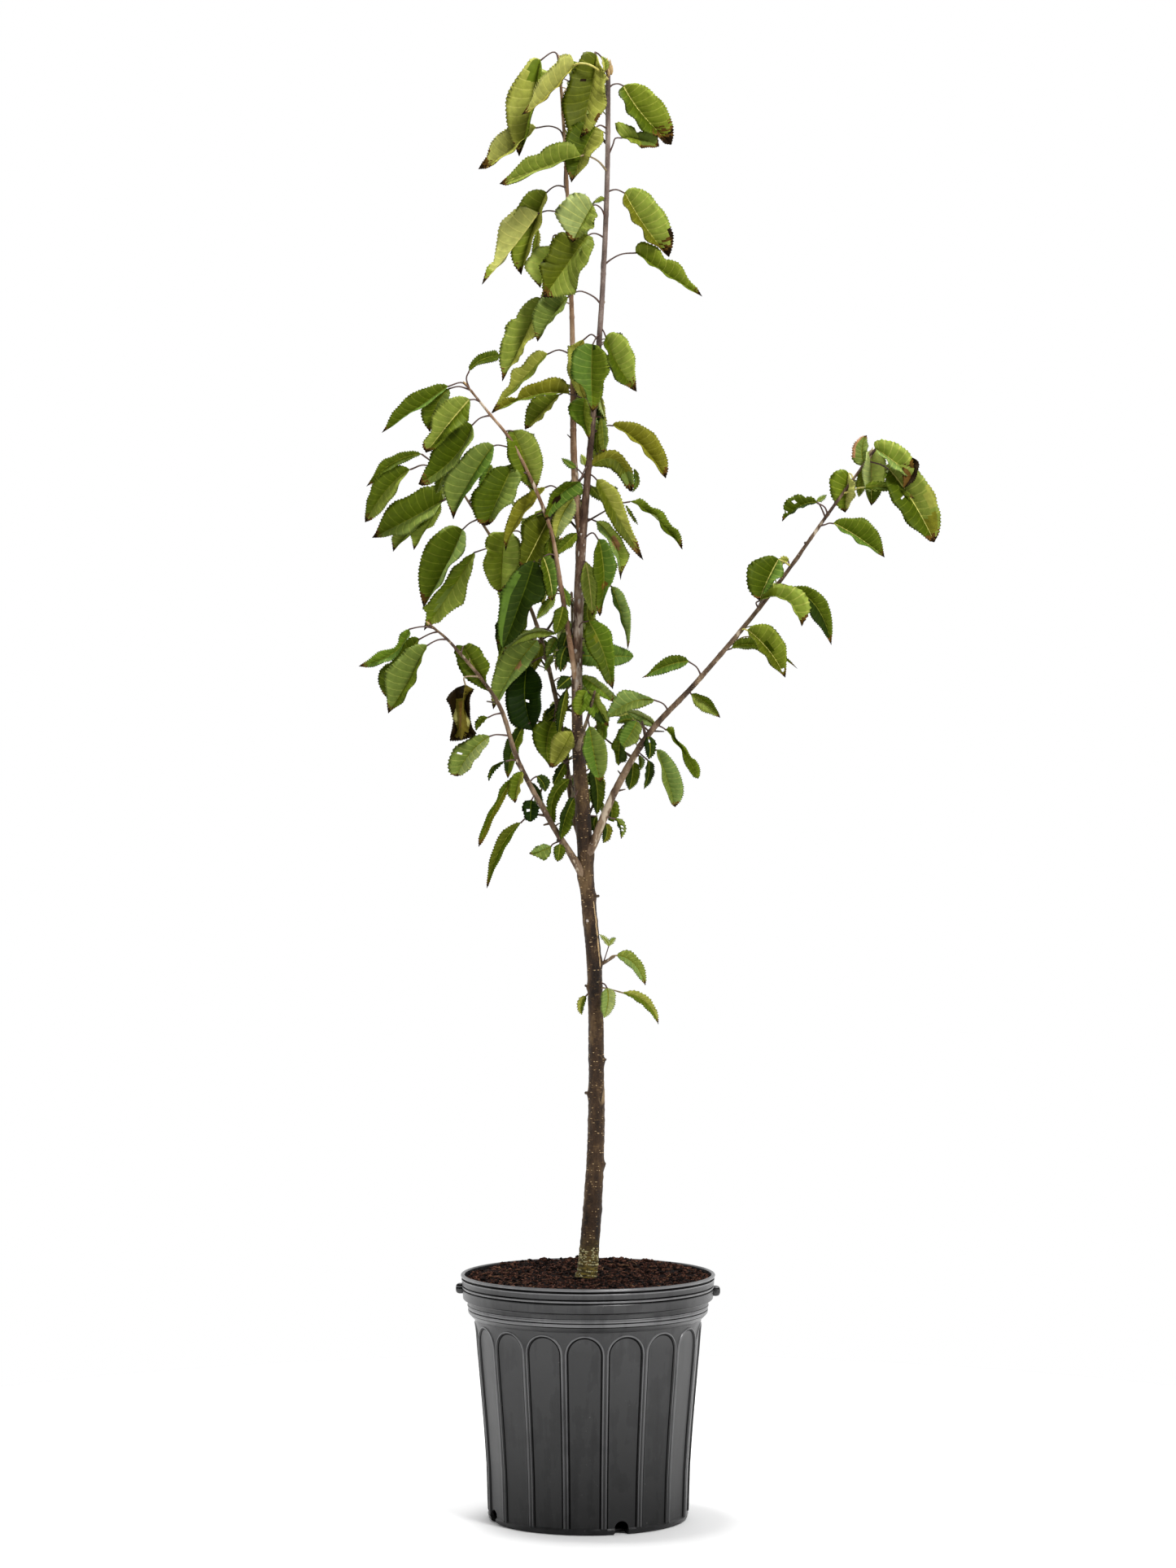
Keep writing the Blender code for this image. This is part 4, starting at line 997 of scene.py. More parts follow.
            [(693, 956.5), (685, 961), (677.5, 969), (674, 977), (672, 986), (672.5, 999.5), (675.5, 1010)],
            [(699, 962), (696, 969), (690, 977), (685, 986), (683, 995), (682.5, 1007)]),
    "G90": ((706, 980), (695, 1004), (689, 1032),
            [(700.5, 980), (696, 986), (691, 995), (688, 1004.5), (687, 1016.5), (687.5, 1026)],
            [(707, 989), (706, 998), (703, 1007.5), (702, 1016.5), (697.5, 1023), (693, 1028)]),
    "H94": ((804, 860), (776, 863), (745.5, 882),
            [(796, 855.5), (787, 852), (777, 849), (766.5, 848), (759.5, 851), (755, 858), (750.5, 866.5), (747, 875)],
            [(802.5, 863.5), (794, 867), (783.5, 871), (773, 874.5), (761, 878.5)]),
    "H96": ((847, 813), (820, 818), (788.5, 833),
            [(843, 808), (836, 805), (825, 806), (815, 809.5), (806, 816.5), (799, 825), (794, 830)],
            [(842.5, 817.5), (832, 822), (820, 827), (808, 829), (799, 831)]),
    "R1": ((1004.5, 618), (983, 622), (961, 641),
           [(1002, 613.5), (996.5, 610), (990, 611.5), (986, 608), (980, 607.5), (975.5, 610), (969, 612), (965.5, 615), (963, 623.5), (965, 628.5), (961.5, 634.5)],
           [(995.5, 620.5), (984.5, 624), (973.5, 630.5), (965, 637)]),
    "R2": ((1042.5, 581), (1040.5, 605), (1038.5, 630),
           [(1039.5, 577.5), (1033, 576.5), (1026, 578.5), (1022, 584), (1019, 590.5), (1019.5, 601.5), (1022, 610), (1026.5, 619), (1033, 626)],
           [(1047, 588), (1051, 598), (1050.5, 608), (1045, 620)]),
    "R4": ((1075, 551), (1098, 567), (1121, 586),
           [(1084, 562), (1093, 571), (1100, 577), (1110, 584)],
           [(1073, 546), (1075, 542), (1083.5, 539), (1092, 542), (1101, 545), (1110, 549.5), (1116.5, 554), (1120, 562), (1122, 572)]),
    "R5": ((1070, 553), (1070.5, 590), (1070.5, 621.5),
           [(1064, 556), (1061.5, 570), (1060, 586), (1061.5, 599), (1065, 608.5)],
           [(1077, 551), (1084, 557), (1088, 566), (1089, 576), (1088, 587), (1085.5, 597), (1081, 608), (1075, 617)]),
    "R6": ((1092, 576), (1122, 617), (1148, 666.5),
           [(1089, 585), (1088, 596), (1091, 606), (1097, 615), (1103.5, 626), (1112, 639), (1123, 650), (1134.5, 659), (1142.5, 665)],
           [(1100, 571), (1112, 571), (1121, 575), (1128, 580), (1136.5, 588), (1143, 597), (1148.5, 608), (1151, 619), (1156, 630), (1155.5, 643), (1153, 656)]),
    "R8": ((1023.5, 643), (1055, 661), (1087, 685),
           [(1031, 650.5), (1041.5, 657.5), (1052.5, 665), (1063.5, 671.5), (1074.5, 678)],
           [(1028.5, 638.5), (1037, 636.5), (1048, 636.5), (1059, 636.5), (1066, 640), (1072.5, 645.5), (1078, 652), (1081.5, 661), (1083.5, 669.5), (1085.5, 678)]),
    "R9": ((957, 687), (944, 712), (933, 738),
           [(951.5, 683), (942.5, 682.5), (934, 685), (926, 689.5), (919.5, 696), (917, 705), (917, 713.5), (919.5, 722.5), (925, 731.5)],
           [(962, 693), (963, 700), (960, 709), (952, 716), (945, 722), (938, 731)]),
    "R10": ((933, 738), (965, 737), (985, 770),
            [(945, 731), (956, 732.5), (964.5, 737.5), (973.5, 745), (980, 756)],
            [(936, 725), (943, 719), (951.5, 717.5), (962.5, 718.5), (971, 719), (980, 722.5), (987, 728), (993, 737), (996.5, 747), (993, 756), (989, 762)]),
    "R11": ((971, 721), (1004, 747), (1021.5, 793),
            [(979, 733), (988, 744), (995.5, 754), (1002, 764.5), (1011, 775.5), (1017, 784)],
            [(980, 720), (991, 720.5), (1002, 724.5), (1009, 731), (1016.5, 740), (1021, 751), (1022, 764), (1022.5, 777.5)]),
    "R12": ((918, 774), (945, 800), (965, 833),
            [(921, 782), (929, 793), (936, 804), (943, 811), (951.5, 821.5), (960, 828.5)],
            [(922, 770.5), (927, 767.5), (936, 766.5), (945, 768.5), (954, 775), (959.5, 784), (965, 793), (967, 804), (966, 818)]),
    "R13": ((898, 797), (936, 795), (980, 822),
            [(910, 797), (925, 798), (936, 801), (952, 804), (967, 811)],
            [(903, 788.5), (912, 784), (921, 783), (935, 787), (950, 796), (963, 805), (972, 813)]),
    "H92": ((764, 893), (761, 918), (760, 941),
            [(760, 897), (757, 905), (753, 912), (751, 918), (754, 923), (755.5, 930), (757, 937)],
            [(766, 900), (766, 908), (766, 916), (769, 923), (770.5, 931), (768, 936.5), (763, 937)]),
    "H98": ((818, 896.5), (841, 926), (858, 957),
            [(823, 903), (829, 911), (835, 920), (839, 930), (843, 940), (847, 949), (852, 955)],
            [(821, 893), (826, 893.5), (828, 899), (831, 906), (836, 912), (841, 918), (846, 926), (850, 931), (855, 933),
             (858.5, 939), (860, 946), (859.5, 953)]),
    "H99": ((806.5, 921), (819, 955), (829.5, 992),
            [(808, 929), (810, 937), (812, 946), (814, 955), (816, 964), (818, 973), (821, 981), (825, 988)],
            [(812, 921), (818, 924), (824, 931), (829, 939), (834, 948), (838, 957), (840, 966), (839.5, 975), (836, 984)]),
    "G76": ((572, 841), (568, 875), (567, 910),
            [(562, 844.5), (554.5, 851), (547.5, 859.5), (551.5, 866), (555, 875), (557.5, 885), (556, 895), (553, 904), (552.5, 910)],
            [(577, 844), (582, 846.5), (579.5, 853), (577.5, 864.5), (576.5, 875), (578, 885), (581, 894), (585.5, 901), (577, 906)]),
}


def L(name, base, mid, tip, a, b, ca, cb, limb, root, via=(), ob=-3.0, dz=-8.0, under=False,
      shape="leaf", stem="red", scorch=0.05, arch=0.0, thick=0.85, nostalk=False, **more):
    """A leaf that shows from the front.  a is the half on the left of a hanging leaf."""
    rims = (None, None)
    if name in TRACES:
        base, mid, tip, *rims = TRACES[name]
    start = limb_root(SHORT_OF[limb], *root)
    w0 = start[2] + ob * MM / PX
    w2 = w0 + dz * MM / PX
    w1 = w0 + 0.42 * (w2 - w0) + arch * MM / PX
    p0, p1, p2 = (np.array([base[0], base[1], w0], float), np.array([mid[0], mid[1], w1], float),
                  np.array([tip[0], tip[1], w2], float))
    wide = max(a, b) * 1.07
    lift = 1.0 if under else -1.0
    high_a, high_b = (lift * math.sqrt(max(wide ** 2 - x ** 2, 0.0)) for x in (a, b))
    # a narrow half stands nearly edge-on
    bend = 2 * p1 - (p0 + p2) / 2

    def normal(u):
        t = (2 * (1 - u))[..., None] * (bend - p0) + (2 * u)[..., None] * (p2 - bend)
        n = np.stack([-t[..., 1], t[..., 0]], -1)
        return n / np.maximum(np.linalg.norm(n, axis=-1), 1e-6)[..., None]

    def one(u):
        n = normal(u) * a
        return np.concatenate([n, np.full(n.shape[:-1] + (1,), high_a)], -1)

    def two(u):
        n = -normal(u) * b
        return np.concatenate([n, np.full(n.shape[:-1] + (1,), high_b)], -1)

    length = np.linalg.norm(p2 - p0)
    detail = dict(veins=12, rows=5, cols=5) if length > 66 else (
        dict(veins=9, rows=4, cols=4) if length > 34 else dict(veins=6, rows=3, cols=3))
    detail.update({k: more.pop(k) for k in ("veins", "rows", "cols") if k in more})
    seed = sum(ord(c) * (k + 3) for k, c in enumerate(name)) % 97
    more.setdefault("wave", (0.06 * wide + 0.4, 2.0 + (seed % 5) * 0.35, seed * 0.7))
    centre = to_world(p1)
    sides = None
    if rims[0] is not None or rims[1] is not None:
        sides = [None if rim is None else np.array([base, *rim, tip], float) for rim in rims]
    grid = blade(batch_for(centre), p0, p1, p2, one, two, (ca, cb), outline=shape, under=under,
                 sides=sides, lift=lift, scorch=scorch, seed=seed, tiles=next_tiles(), **detail, **more)
    LEAVES.append((name, grid))
    if not nostalk:
        stalk(SHORT_OF[limb], root, p0 + (p1 - p0) * 0.03, via, stem, thick)


SHORT_OF = {k: k for k in SHORT}

# Each leaf's two tones, one to each half, are partly its own colour and partly painted light and shade: a half turned
# away from the light is dealt a darker tone.
# The two leaders' tops
L("T0", (742, 88), (742, 78), (739, 69), 6, 2, "LT", "PY", "TR", (745, 92), (), -8, -4, scorch=0, rib="ribpale")
L("T1", (664, 73), (656, 125), (638, 192), 36, 7, "YG", "MD", "LL", (686, 73), [(684, 66), (679, 64), (672, 68)], -4, -14, shape="full",
  spots=[(.12, -.3, .16, .5, "MD")])
L("T2", (705, 80), (678, 112), (643, 141), 22, 1, "PY", "YB", "TR", (744, 97), [(741, 92, -16), (735, 86, -30), (724, 79.5, -36), (712, 78, -33)], -24, -6, stem="yellow", rib="ribpale", ribwide=1.4, thick=1.15)
L("T3", (726, 66), (724, 115), (704, 165), 32, 20, "DO", "YG", "TR", (743, 78), [(738, 69), (731, 64)], -10, -16, shape="full",
  edge=(.72, .80, 1, .86, "brown"), holes=[(.74, .20, .03, .10)], spots=[(.40, -.45, .018, .09, "scorch")])
L("T4", (658, 157), (625, 188), (587, 208), 22, 3, "PY", "YG", "LL", (692, 172), [(688, 160), (675, 155)], -4, -12, scorch=.10, rib="ribpale", ribwide=1.2)
L("T5", (714, 191), (675, 201), (614, 228), 20, 1, "LT", "LT", "TR", (744, 211), [(735, 198), (720, 191)], -34, -2, shape="full", stem="pale", rib="ribpale", thick=1.0)
L("T6", (731, 158), (716, 190), (702, 224), 26, 16, "DK", "YG", "TR", (744, 159), [(738, 154)], -14, -18, shape="full")
L("T7", (766, 105), (787, 138), (822, 177), 12, 28, "DK", "MG", "TR", (748, 108), [(753, 104), (760, 103)], 2, 10, scorch=.12, rib="ribpale", ribwide=1.3, shape="full")
L("T8", (758, 166), (776, 166), (806, 176), 6, 13, "MG", "VB", "TR", (749, 193), [(753, 178), (756, 170)], 0, 2, scorch=.05, shape="blunt",
  spots=[(.80, .1, .32, 1.4, "GG"), (.80, -.9, .22, .22, "brown")])
L("T9", (671, 236), (663, 275), (641, 338), 26, 6, "MG", "YG", "LL", (695, 232), [(686, 228), (678, 231)], -4, -6)
L("T10", (662, 262), (635, 298), (592, 350), 27, 1, "PY", "YG", "LL", (696, 262), [(683, 260), (672, 259)], -22, -12, under=True, rib="ribpale", ribwide=1.5, spots=[(.93, 0, .09, 1.2, "MG")])
L("T11", (728, 252), (716, 272), (704, 297), 32, 12, "PG", "LT", "TR", (744, 270), [(740, 258), (733, 252)], -8, -16, shape="full")
L("T11b", (743, 244), (737, 245), (730, 250), 3, 3, "LT", "BR", "TR", (746, 240), (), -4, -2, scorch=0)
L("T12", (722, 289), (700, 318), (668, 365), 26, 22, "DO", "LT", "TR", (741, 293), [(735, 288), (728, 287)], -10, -18,
  holes=[(.30, .24, .035, .12), (.70, -.3, .03, .12)], shape="full")
# T13 is dealt BB, a pale tone that paints light on a leaf lying in shadow.
L("T13", (672, 296), (668, 325), (664, 354), 26, 5, "BB", "BB", "LL", (697, 300), [(688, 290), (680, 290)], -10, -4)
L("T14", (767, 237), (785, 268), (822, 316), 9, 28, "OL", "VB", "TR", (749, 236), [(757, 233)], 2, 8, scorch=.1, edge=(.74, .90, 1, .78, "scorch"), rib="ribpale", ribwide=1.2)
L("T15", (782, 309), (818, 336), (862, 364), 1, 18, "MD", "MG", "TR", (744, 326), [(752, 318), (765, 312)], 2, 10, shape="slim")
L("T16", (698, 366), (682, 388), (660, 423), 20, 8, "GG", "GG", "TR", (737, 374), [(730, 365), (715, 358), (705, 360)], -8, -10)
L("T17", (668, 366), (648, 405), (618, 468), 28, 11, "LT", "YG", "LL", (698, 360), [(690, 356), (676, 358)], -18, -12)
L("C18", (577, 455), (592, 443), (614, 437), 7, 7, "DK", "DK", "BU", (574, 478), [(573, 465)], 0, 6, scorch=0)
L("C19", (673, 435), (645, 466), (603, 508), 22, 2, "YG", "LT", "LL", (700, 436), [(687, 430)], -4, -12)
L("C20", (700, 484), (658, 484), (605, 508), 20, 2, "OY", "MD", "TR", (725, 500), [(718, 493), (710, 487)], -6, -8, rib="ribpale", ribwide=1.2)
L("C21", (688, 485), (670, 503), (645, 528), 18, 6, "MG", "YG", "LL", (702, 480), (), -4, -6)
L("C22", (727, 427), (725, 465), (731, 505), 26, 22, "BG", "MD", "TR", (735, 412), (), -16, -18, shape="full", spots=[(.02, .3, .09, .5, "DB")])
L("C23", (744, 413), (757, 445), (782, 481), 14, 24, "DK", "VB", "TR", (738, 402), [(741, 406)], -4, -10, scorch=.08)
L("C24", (718, 414), (708, 455), (716, 505), 16, 16, "YG", "YB", "TR", (735, 418), [(727, 411)], 8, 8)
L("C25", (720, 490), (713, 515), (724, 540), 20, 4, "BR", "MG", "TR", (727, 500), (), -4, -8)
L("C26", (738, 512), (743, 535), (742, 556), 6, 8, "DO", "GG", "TR", (731, 515), (), -4, -4)
L("C26c", (738, 486), (740, 499), (744, 514), 5, 3, "PG", "PY", "TR", (727, 500), (), -2, -6, scorch=.05)
L("C27", (752, 523), (790, 545), (818, 587), 1, 20, "OY", "OY", "TR", (730, 532), [(738, 527), (746, 523)], 0, 8)
L("C28", (727, 572), (757, 566), (776, 604), 12, 10, "DO", "OY", "TR", (722, 582), (), 2, 8, shape="blunt", spots=[(.9, 0, .14, 1.2, "GG")])
L("C28b", (708, 575), (699, 570), (690, 563), 4, 4, "BG", "BG", "TR", (717, 592), (), 0, -2, scorch=0)
L("C28c", (719, 572), (717, 566), (714, 558), 4, 4, "VB", "PG", "TR", (720, 584), (), 0, -2, scorch=0)
L("C29", (733, 589), (757, 628), (790, 688), 14, 12, "DO", "YG", "TR", (726, 582), (), -10, -12, scorch=.08)
L("C29d", (726, 598), (733, 606), (742, 616), 7, 6, "DK", "DK", "TR", (721, 600), (), 0, 4, scorch=0)
L("C30", (732, 641), (753, 668), (764, 710), 12, 12, "PB", "VB", "TR", (722, 640), (), -6, -8, scorch=.09, spots=[(.45, .1, .12, .5, "pink")])
L("C31", (773, 616), (808, 640), (838, 675), 3, 9, "DK", "MD", "TR", (727, 645), [(740, 630), (758, 620)], 4, 12, wave=(4, 2.4, 0.5), shape="slim")
L("C31b", (769, 621), (776, 633), (784, 645), 2, 2, "DK", "DK", "TR", (724, 650), (), 6, 8, scorch=0, nostalk=True)
L("C32", (735, 662), (742, 710), (737, 757), 13, 15, "DK", "BG", "TR", (719, 668), [(722, 658), (729, 655)], -16, -18, spots=[(.62, .1, .05, .4, "blotch")])
L("C32b", (720, 690), (725, 722), (728, 757), 10, 9, "LT", "LT", "TR", (714, 692), (), -8, -8, rib="ribpale", ribwide=1.2)
L("C33", (751, 720), (764, 755), (771, 799), 2, 16, "DB", "PB", "TR", (711, 735), [(725, 715), (740, 712)], 4, 10)
L("C34", (722, 762), (738, 795), (753, 847), 14, 14, "DK", "BR", "TR", (711, 778), [(714, 766)], -14, -18, spots=[(.30, -.1, .07, .25, "OL")])
L("C34b", (737, 795), (742, 815), (746, 841), 7, 4, "OL", "OL", "TR", (711, 784), [(722, 786)], -10, -10)
L("C35", (712, 805), (745, 806), (779, 808), 12, 14, "BG", "BG", "TR", (709, 815), (), 8, 16, shape="blunt", scorch=0)
L("C36", (714, 830), (735, 845), (753, 862), 10, 9, "BR", "GG", "TR", (709, 845), (), 4, 10)
L("C37", (724, 850), (716, 864), (710, 881), 13, 8, "MD", "BR", "BF", (724, 878), [(728, 862)], -4, -8, shape="full")
L("C37b", (722, 848), (734, 868), (748, 893), 14, 8, "BR", "LT", "BF", (728, 868), [(726, 856)], 2, 4, spots=[(.78, -.3, .16, .7, "DB")], shape="full")
L("C38", (724, 893), (731, 928), (738, 962), 14, 14, "BG", "GG", "BF", (722, 884), (), -8, -14, rib="rib", relief=0.8)
L("C39", (728, 942), (734, 972), (733, 1002), 9, 9, "VD", "DK", "TR", (712, 955), (), 4, 4, scorch=0, shape="full")

# Left of the trunk
L("D40", (703, 900), (691, 920), (678, 944), 15, 10, "YG", "YG", "TR", (711, 893), [(708, 896)], -6, -10)
L("D41", (683, 886), (673, 915), (676, 943), 20, 9, "DK", "MD", "BM", (690, 880), (), -4, -8, shape="full")
# D42 is dealt SH, a near-black green that paints deep shade.
L("D42", (650, 815), (645, 855), (655, 898), 25, 20, "SH", "SH", "BM", (676, 815), [(665, 808)], -4, -10, shape="full", rib="DK", scorch=0, holes=[(.565, -.28, .014, .12), (.55, .2, .014, .12)])
L("D43", (660, 788), (632, 820), (606, 872), 22, 16, "GG", "PB", "BM", (671, 790), (), -14, -14, spots=[(.42, .2, .06, .3, "pink")])
L("D44", (684, 779), (652, 776), (616, 806), 12, 8, "PG", "VB", "BM", (670, 770), (), -8, -10)
# The grey-green band along the outer margin of D45's left half, from a quarter of its length to the tip, is a painted
# highlight.
L("D45", (657, 690), (641, 735), (618, 795), 24, 21, "DB", "VD", "BU", (680, 702), [(670, 688)], -6, -14, shape="full", scorch=0, rib="DK", edge=(.25, 1, -1, .5, "BG"))
L("D45b", (618, 748), (610, 775), (614, 808), 9, 8, "VD", "DK", "BM", (645, 735), [(632, 738)], 8, 10, scorch=0)
L("D46", (668, 600), (638, 635), (621, 677), 16, 4, "OY", "YB", "LL", (700, 620), [(688, 603), (678, 597)], -4, -10)
L("D47", (713, 592), (691, 603), (670, 640), 14, 14, "DK", "BG", "TR", (724, 570), (), -10, -8, shape="full", spots=[(.6, 0, .12, .3, "scorch")])
L("D48", (704, 620), (699, 640), (696, 658), 7, 7, "YG", "PG", "LL", (705, 612), (), -4, -6, scorch=0)
L("D49", (709, 655), (696, 668), (682, 681), 8, 7, "DK", "MD", "TR", (711, 668), (), -8, -4, scorch=0)
L("D50", (673, 640), (660, 665), (642, 700), 18, 9, "DO", "DO", "LL", (706, 635), [(690, 632)], -6, -10, rib="ribpale", ribwide=1.2)
L("D50b", (660, 632), (648, 648), (643, 667), 7, 6, "DK", "DK", "LL", (706, 640), [(690, 630), (674, 626)], 4, 2, scorch=0)
L("D51", (667, 684), (674, 708), (680, 738), 9, 10, "DK", "BG", "BU", (683, 684), [(675, 681)], -6, -8, rib="ribpale", ribwide=1.2)
L("D52", (682, 732), (671, 746), (659, 761), 6, 6, "DK", "GG", "BU", (688, 720), (), -4, -4, scorch=0)
L("D53", (692, 745), (688, 762), (682, 779), 9, 9, "DK", "DK", "BU", (693, 738), (), -4, -4, shape="full", scorch=0)
L("D53b", (692, 722), (696, 735), (700, 746), 5, 5, "BG", "BG", "BU", (690, 714), (), 2, 4, scorch=0)
L("D54", (625, 655), (617, 690), (616, 729), 24, 18, "MG", "VB", "BM", (662, 740), [(650, 690), (640, 655)], -10, -6, shape="full")

L("N1", (696, 794), (690, 808), (689, 826), 7, 8, "DB", "VD", "BU", (702, 800), (), 6, 2, scorch=0, shape="full")
L("N2", (665, 789), (661, 806), (656, 826), 6, 6, "OL", "DO", "BM", (663, 780), (), -4, -4, scorch=0)
L("N3", (680, 806), (675, 812), (669, 825), 4, 4, "PB", "GG", "BM", (672, 812), (), -6, -8, scorch=0)
L("N4", (684, 784), (678, 794), (671, 808), 7, 6, "GG", "BG", "BM", (665, 786), [(674, 782)], -2, -4, scorch=0, shape="full")

# Upper-left bough
L("E55", (551, 475), (515, 497), (469, 532), 17, 5, "MK", "BG", "BU", (574, 477), [(566, 470)], -2, -10)
L("E56", (552, 478), (540, 503), (529, 532), 15, 5, "MK", "GG", "BU", (575, 480), [(564, 475)], 2, 2)
L("E57", (577, 491), (555, 517), (524, 556), 22, 10, "LT", "MK", "BU", (590, 493), [(583, 491)], -6, -10, rib="ribpale", ribwide=1.4)
L("E58", (580, 522), (556, 562), (514, 597), 24, 9, "DK", "GG", "BU", (602, 511), [(595, 512), (588, 515)], -6, -10)
L("E59", (606, 547), (585, 585), (557, 639), 22, 14, "GG", "BG", "BU", (632, 554), [(622, 549), (612, 547)], -10, -12)
L("E60", (627, 580), (614, 610), (598, 646), 22, 15, "DK", "GG", "BU", (640, 585), [(634, 580)], -4, -8)
L("E61", (630, 530), (644, 563), (658, 602), 15, 18, "MK", "LT", "BU", (624, 527), (), 6, 10, shape="full")

# Mid-left bough
L("F62", (518, 558), (485, 566), (450, 598), 9, 8, "MK", "DK", "BM", (566, 602), [(527, 565)], -4, -8, nostalk=True)
L("F63", (504, 577), (475, 598), (449, 641), 16, 6, "MK", "LT", "BM", (566, 602), (), -4, -8, nostalk=True)
L("F64", (545, 615), (505, 637), (457, 661), 20, 5, "MK", "GG", "BM", (566, 602), (), 0, -8, nostalk=True)
L("F65", (540, 616), (512, 645), (483, 678), 5, 6, "LT", "MD", "BM", (566, 602), (), 4, 2, nostalk=True)
L("F66", (541, 617), (527, 645), (508, 676), 8, 10, "VB", "VB", "BM", (566, 602), (), 6, 6, nostalk=True)
L("F67", (568, 651), (546, 692), (520, 746), 26, 10, "MD", "PB", "BM", (585, 640), [(577, 643)], -8, -12)
L("F68", (583, 680), (560, 718), (522, 774), 14, 14, "MD", "LT", "BM", (614, 676), [(605, 673), (595, 675)], -6, -10, wave=(3, 2.2, 1.0), spots=[(.62, -.2, .16, .3, "GG")])
L("F70", (648, 757), (630, 772), (610, 792), 13, 12, "DK", "DK", "BM", (655, 745), (), -6, -8, rib="ribpale", ribwide=1.2)

# Lower-left bough
L("G72", (503, 773), (489, 800), (441, 819), 5, 9, "BR", "BG", "BL", (534, 773), [(522, 770), (512, 771)], -2, -6, wave=(3.2, 2.6, 0.6), shape="late", ragged=0.22)
L("G73", (514, 785), (494, 820), (476, 858), 10, 9, "DK", "MK", "BL", (538, 778), [(528, 779)], 4, 6)
L("G74", (525, 793), (501, 832), (477, 877), 20, 12, "GG", "MK", "BL", (548, 787), [(540, 786), (532, 789)], -6, -10, shape="full")
L("G75", (569, 795), (585, 822), (601, 850), 17, 17, "DK", "MK", "BL", (572, 800), (), 8, 10, shape="full", scorch=0)
L("G77", (600, 882), (592, 890), (585, 898), 6, 1, "DK", "DK", "BL", (616, 877), [(608, 878)], -2, -2, scorch=0)
L("G78", (602, 905), (582, 928), (562, 954), 17, 15, "GG", "PG", "BL", (625, 906), [(615, 903), (608, 903)], -6, -8, shape="blunt", scorch=.03, holes=[(.60, -.5, .012, .06)])
L("G79", (643, 893), (630, 925), (624, 957), 10, 8, "VD", "MK", "BM", (672, 900), [(660, 886)], 0, 4)
L("G80", (637, 933), (614, 936), (601, 960), 2, 4, "VD", "VD", "BL", (640, 934), (), -4, -6, scorch=0, shape="slim")
L("G81", (642, 948), (637, 966), (633, 987), 11, 4, "MK", "YG", "BL", (647, 948), (), -4, -6)
L("G82", (632, 955), (605, 992), (588, 1041), 7, 6, "DK", "OL", "BL", (648, 955), [(640, 951)], -6, -12, shape="slim")
L("G83", (640, 1011), (616, 1040), (598, 1092), 8, 7, "DO", "DK", "BL", (662, 985), [(652, 998), (647, 1004)], -6, -12, shape="slim")
# G84 is dealt SH, a near-black green that paints deep shade.
L("G84", (650, 983), (652, 996), (651, 1009), 12, 12, "SH", "SH", "BL", (663, 985), [(657, 978)], -6, -4, shape="blunt", scorch=0, rib="DK", holes=[(.36, -.42, .06, .1), (.5, -.28, .06, .1)])
L("G85", (677, 1040), (664, 1047), (650, 1049), 9, 9, "PB", "GG", "BL", (687, 1035), [(680, 1037)], -4, -4, shape="full")
L("G86", (688, 1037), (687, 1048), (685, 1059), 7, 7, "DK", "DK", "BL", (688, 1030), (), -6, -4, shape="full")
L("G87", (658, 955), (664, 963), (668, 973), 7, 7, "DB", "DB", "BL", (655, 960), (), 6, 4, scorch=0, shape="full")
L("G88", (652, 961), (660, 976), (667, 992), 5, 5, "VD", "VD", "BL", (658, 972), (), 8, 4, scorch=0)
L("G89", (700, 957), (680, 980), (679, 1017), 6, 6, "DK", "DK", "TR", (711, 950), (), -10, -8, scorch=0, shape="full")
L("G90", (705, 980), (694, 1003), (689, 1032), 7, 7, "DB", "DK", "TR", (714, 968), (), -14, -8, scorch=0, shape="full")
L("G91", (701, 832), (693, 839), (684, 847), 8, 8, "VD", "DB", "TR", (709, 828), (), -4, 0, scorch=0)
L("G91b", (692, 862), (680, 872), (668, 881), 5, 5, "VD", "DK", "BM", (681, 850), (), 2, 2, scorch=0)
L("G91c", (697, 846), (690, 874), (686, 905), 6, 6, "VD", "DO", "TR", (709, 840), (), 6, 2, scorch=0)

L("N5", (694, 938), (687, 951), (680, 964), 6, 7, "VD", "DK", "TR", (710, 930), (), 8, 2, scorch=0, shape="full")
L("N6", (681, 880), (673, 886), (664, 896), 6, 6, "DK", "VD", "BM", (683, 868), (), 6, 2, scorch=0, shape="full")
L("N7", (698, 777), (693, 791), (691, 806), 8, 9, "DB", "VD", "TR", (710, 775), (), 12, 4, scorch=0, shape="full")
L("N8", (724, 740), (722, 756), (728, 772), 8, 8, "DK", "DO", "TR", (711, 735), (), 6, 2, scorch=0, shape="full")
L("N10", (677, 660), (674, 676), (671, 690), 6, 6, "DK", "MD", "BU", (683, 655), (), 4, 2, scorch=0, shape="full")
L("N11", (737, 500), (740, 514), (744, 527), 6, 3, "VD", "DO", "TR", (728, 500), (), 2, 2, scorch=0, shape="full")
L("N12", (779, 576), (783, 591), (777, 605), 4, 3, "BG", "GG", "TR", (724, 575), (), 8, 4, scorch=0, nostalk=True)
L("N13", (738, 880), (741, 896), (739, 914), 8, 6, "DK", "BR", "BF", (724, 878), (), 2, 2, scorch=0, shape="full")
L("N14", (1061, 573), (1059, 592), (1055, 611), 7, 7, "MG", "LT", "BR", (1062, 574), (), 8, 6, scorch=0, shape="full")
L("N18", (735, 529), (733, 544), (735, 558), 5, 5, "DK", "DO", "TR", (726, 530), (), 6, 2, scorch=0, shape="full")
L("N19", (604, 571), (597, 585), (588, 600), 6, 5, "BG", "GG", "BU", (632, 554), (), 4, 2, scorch=0, nostalk=True, shape="full")
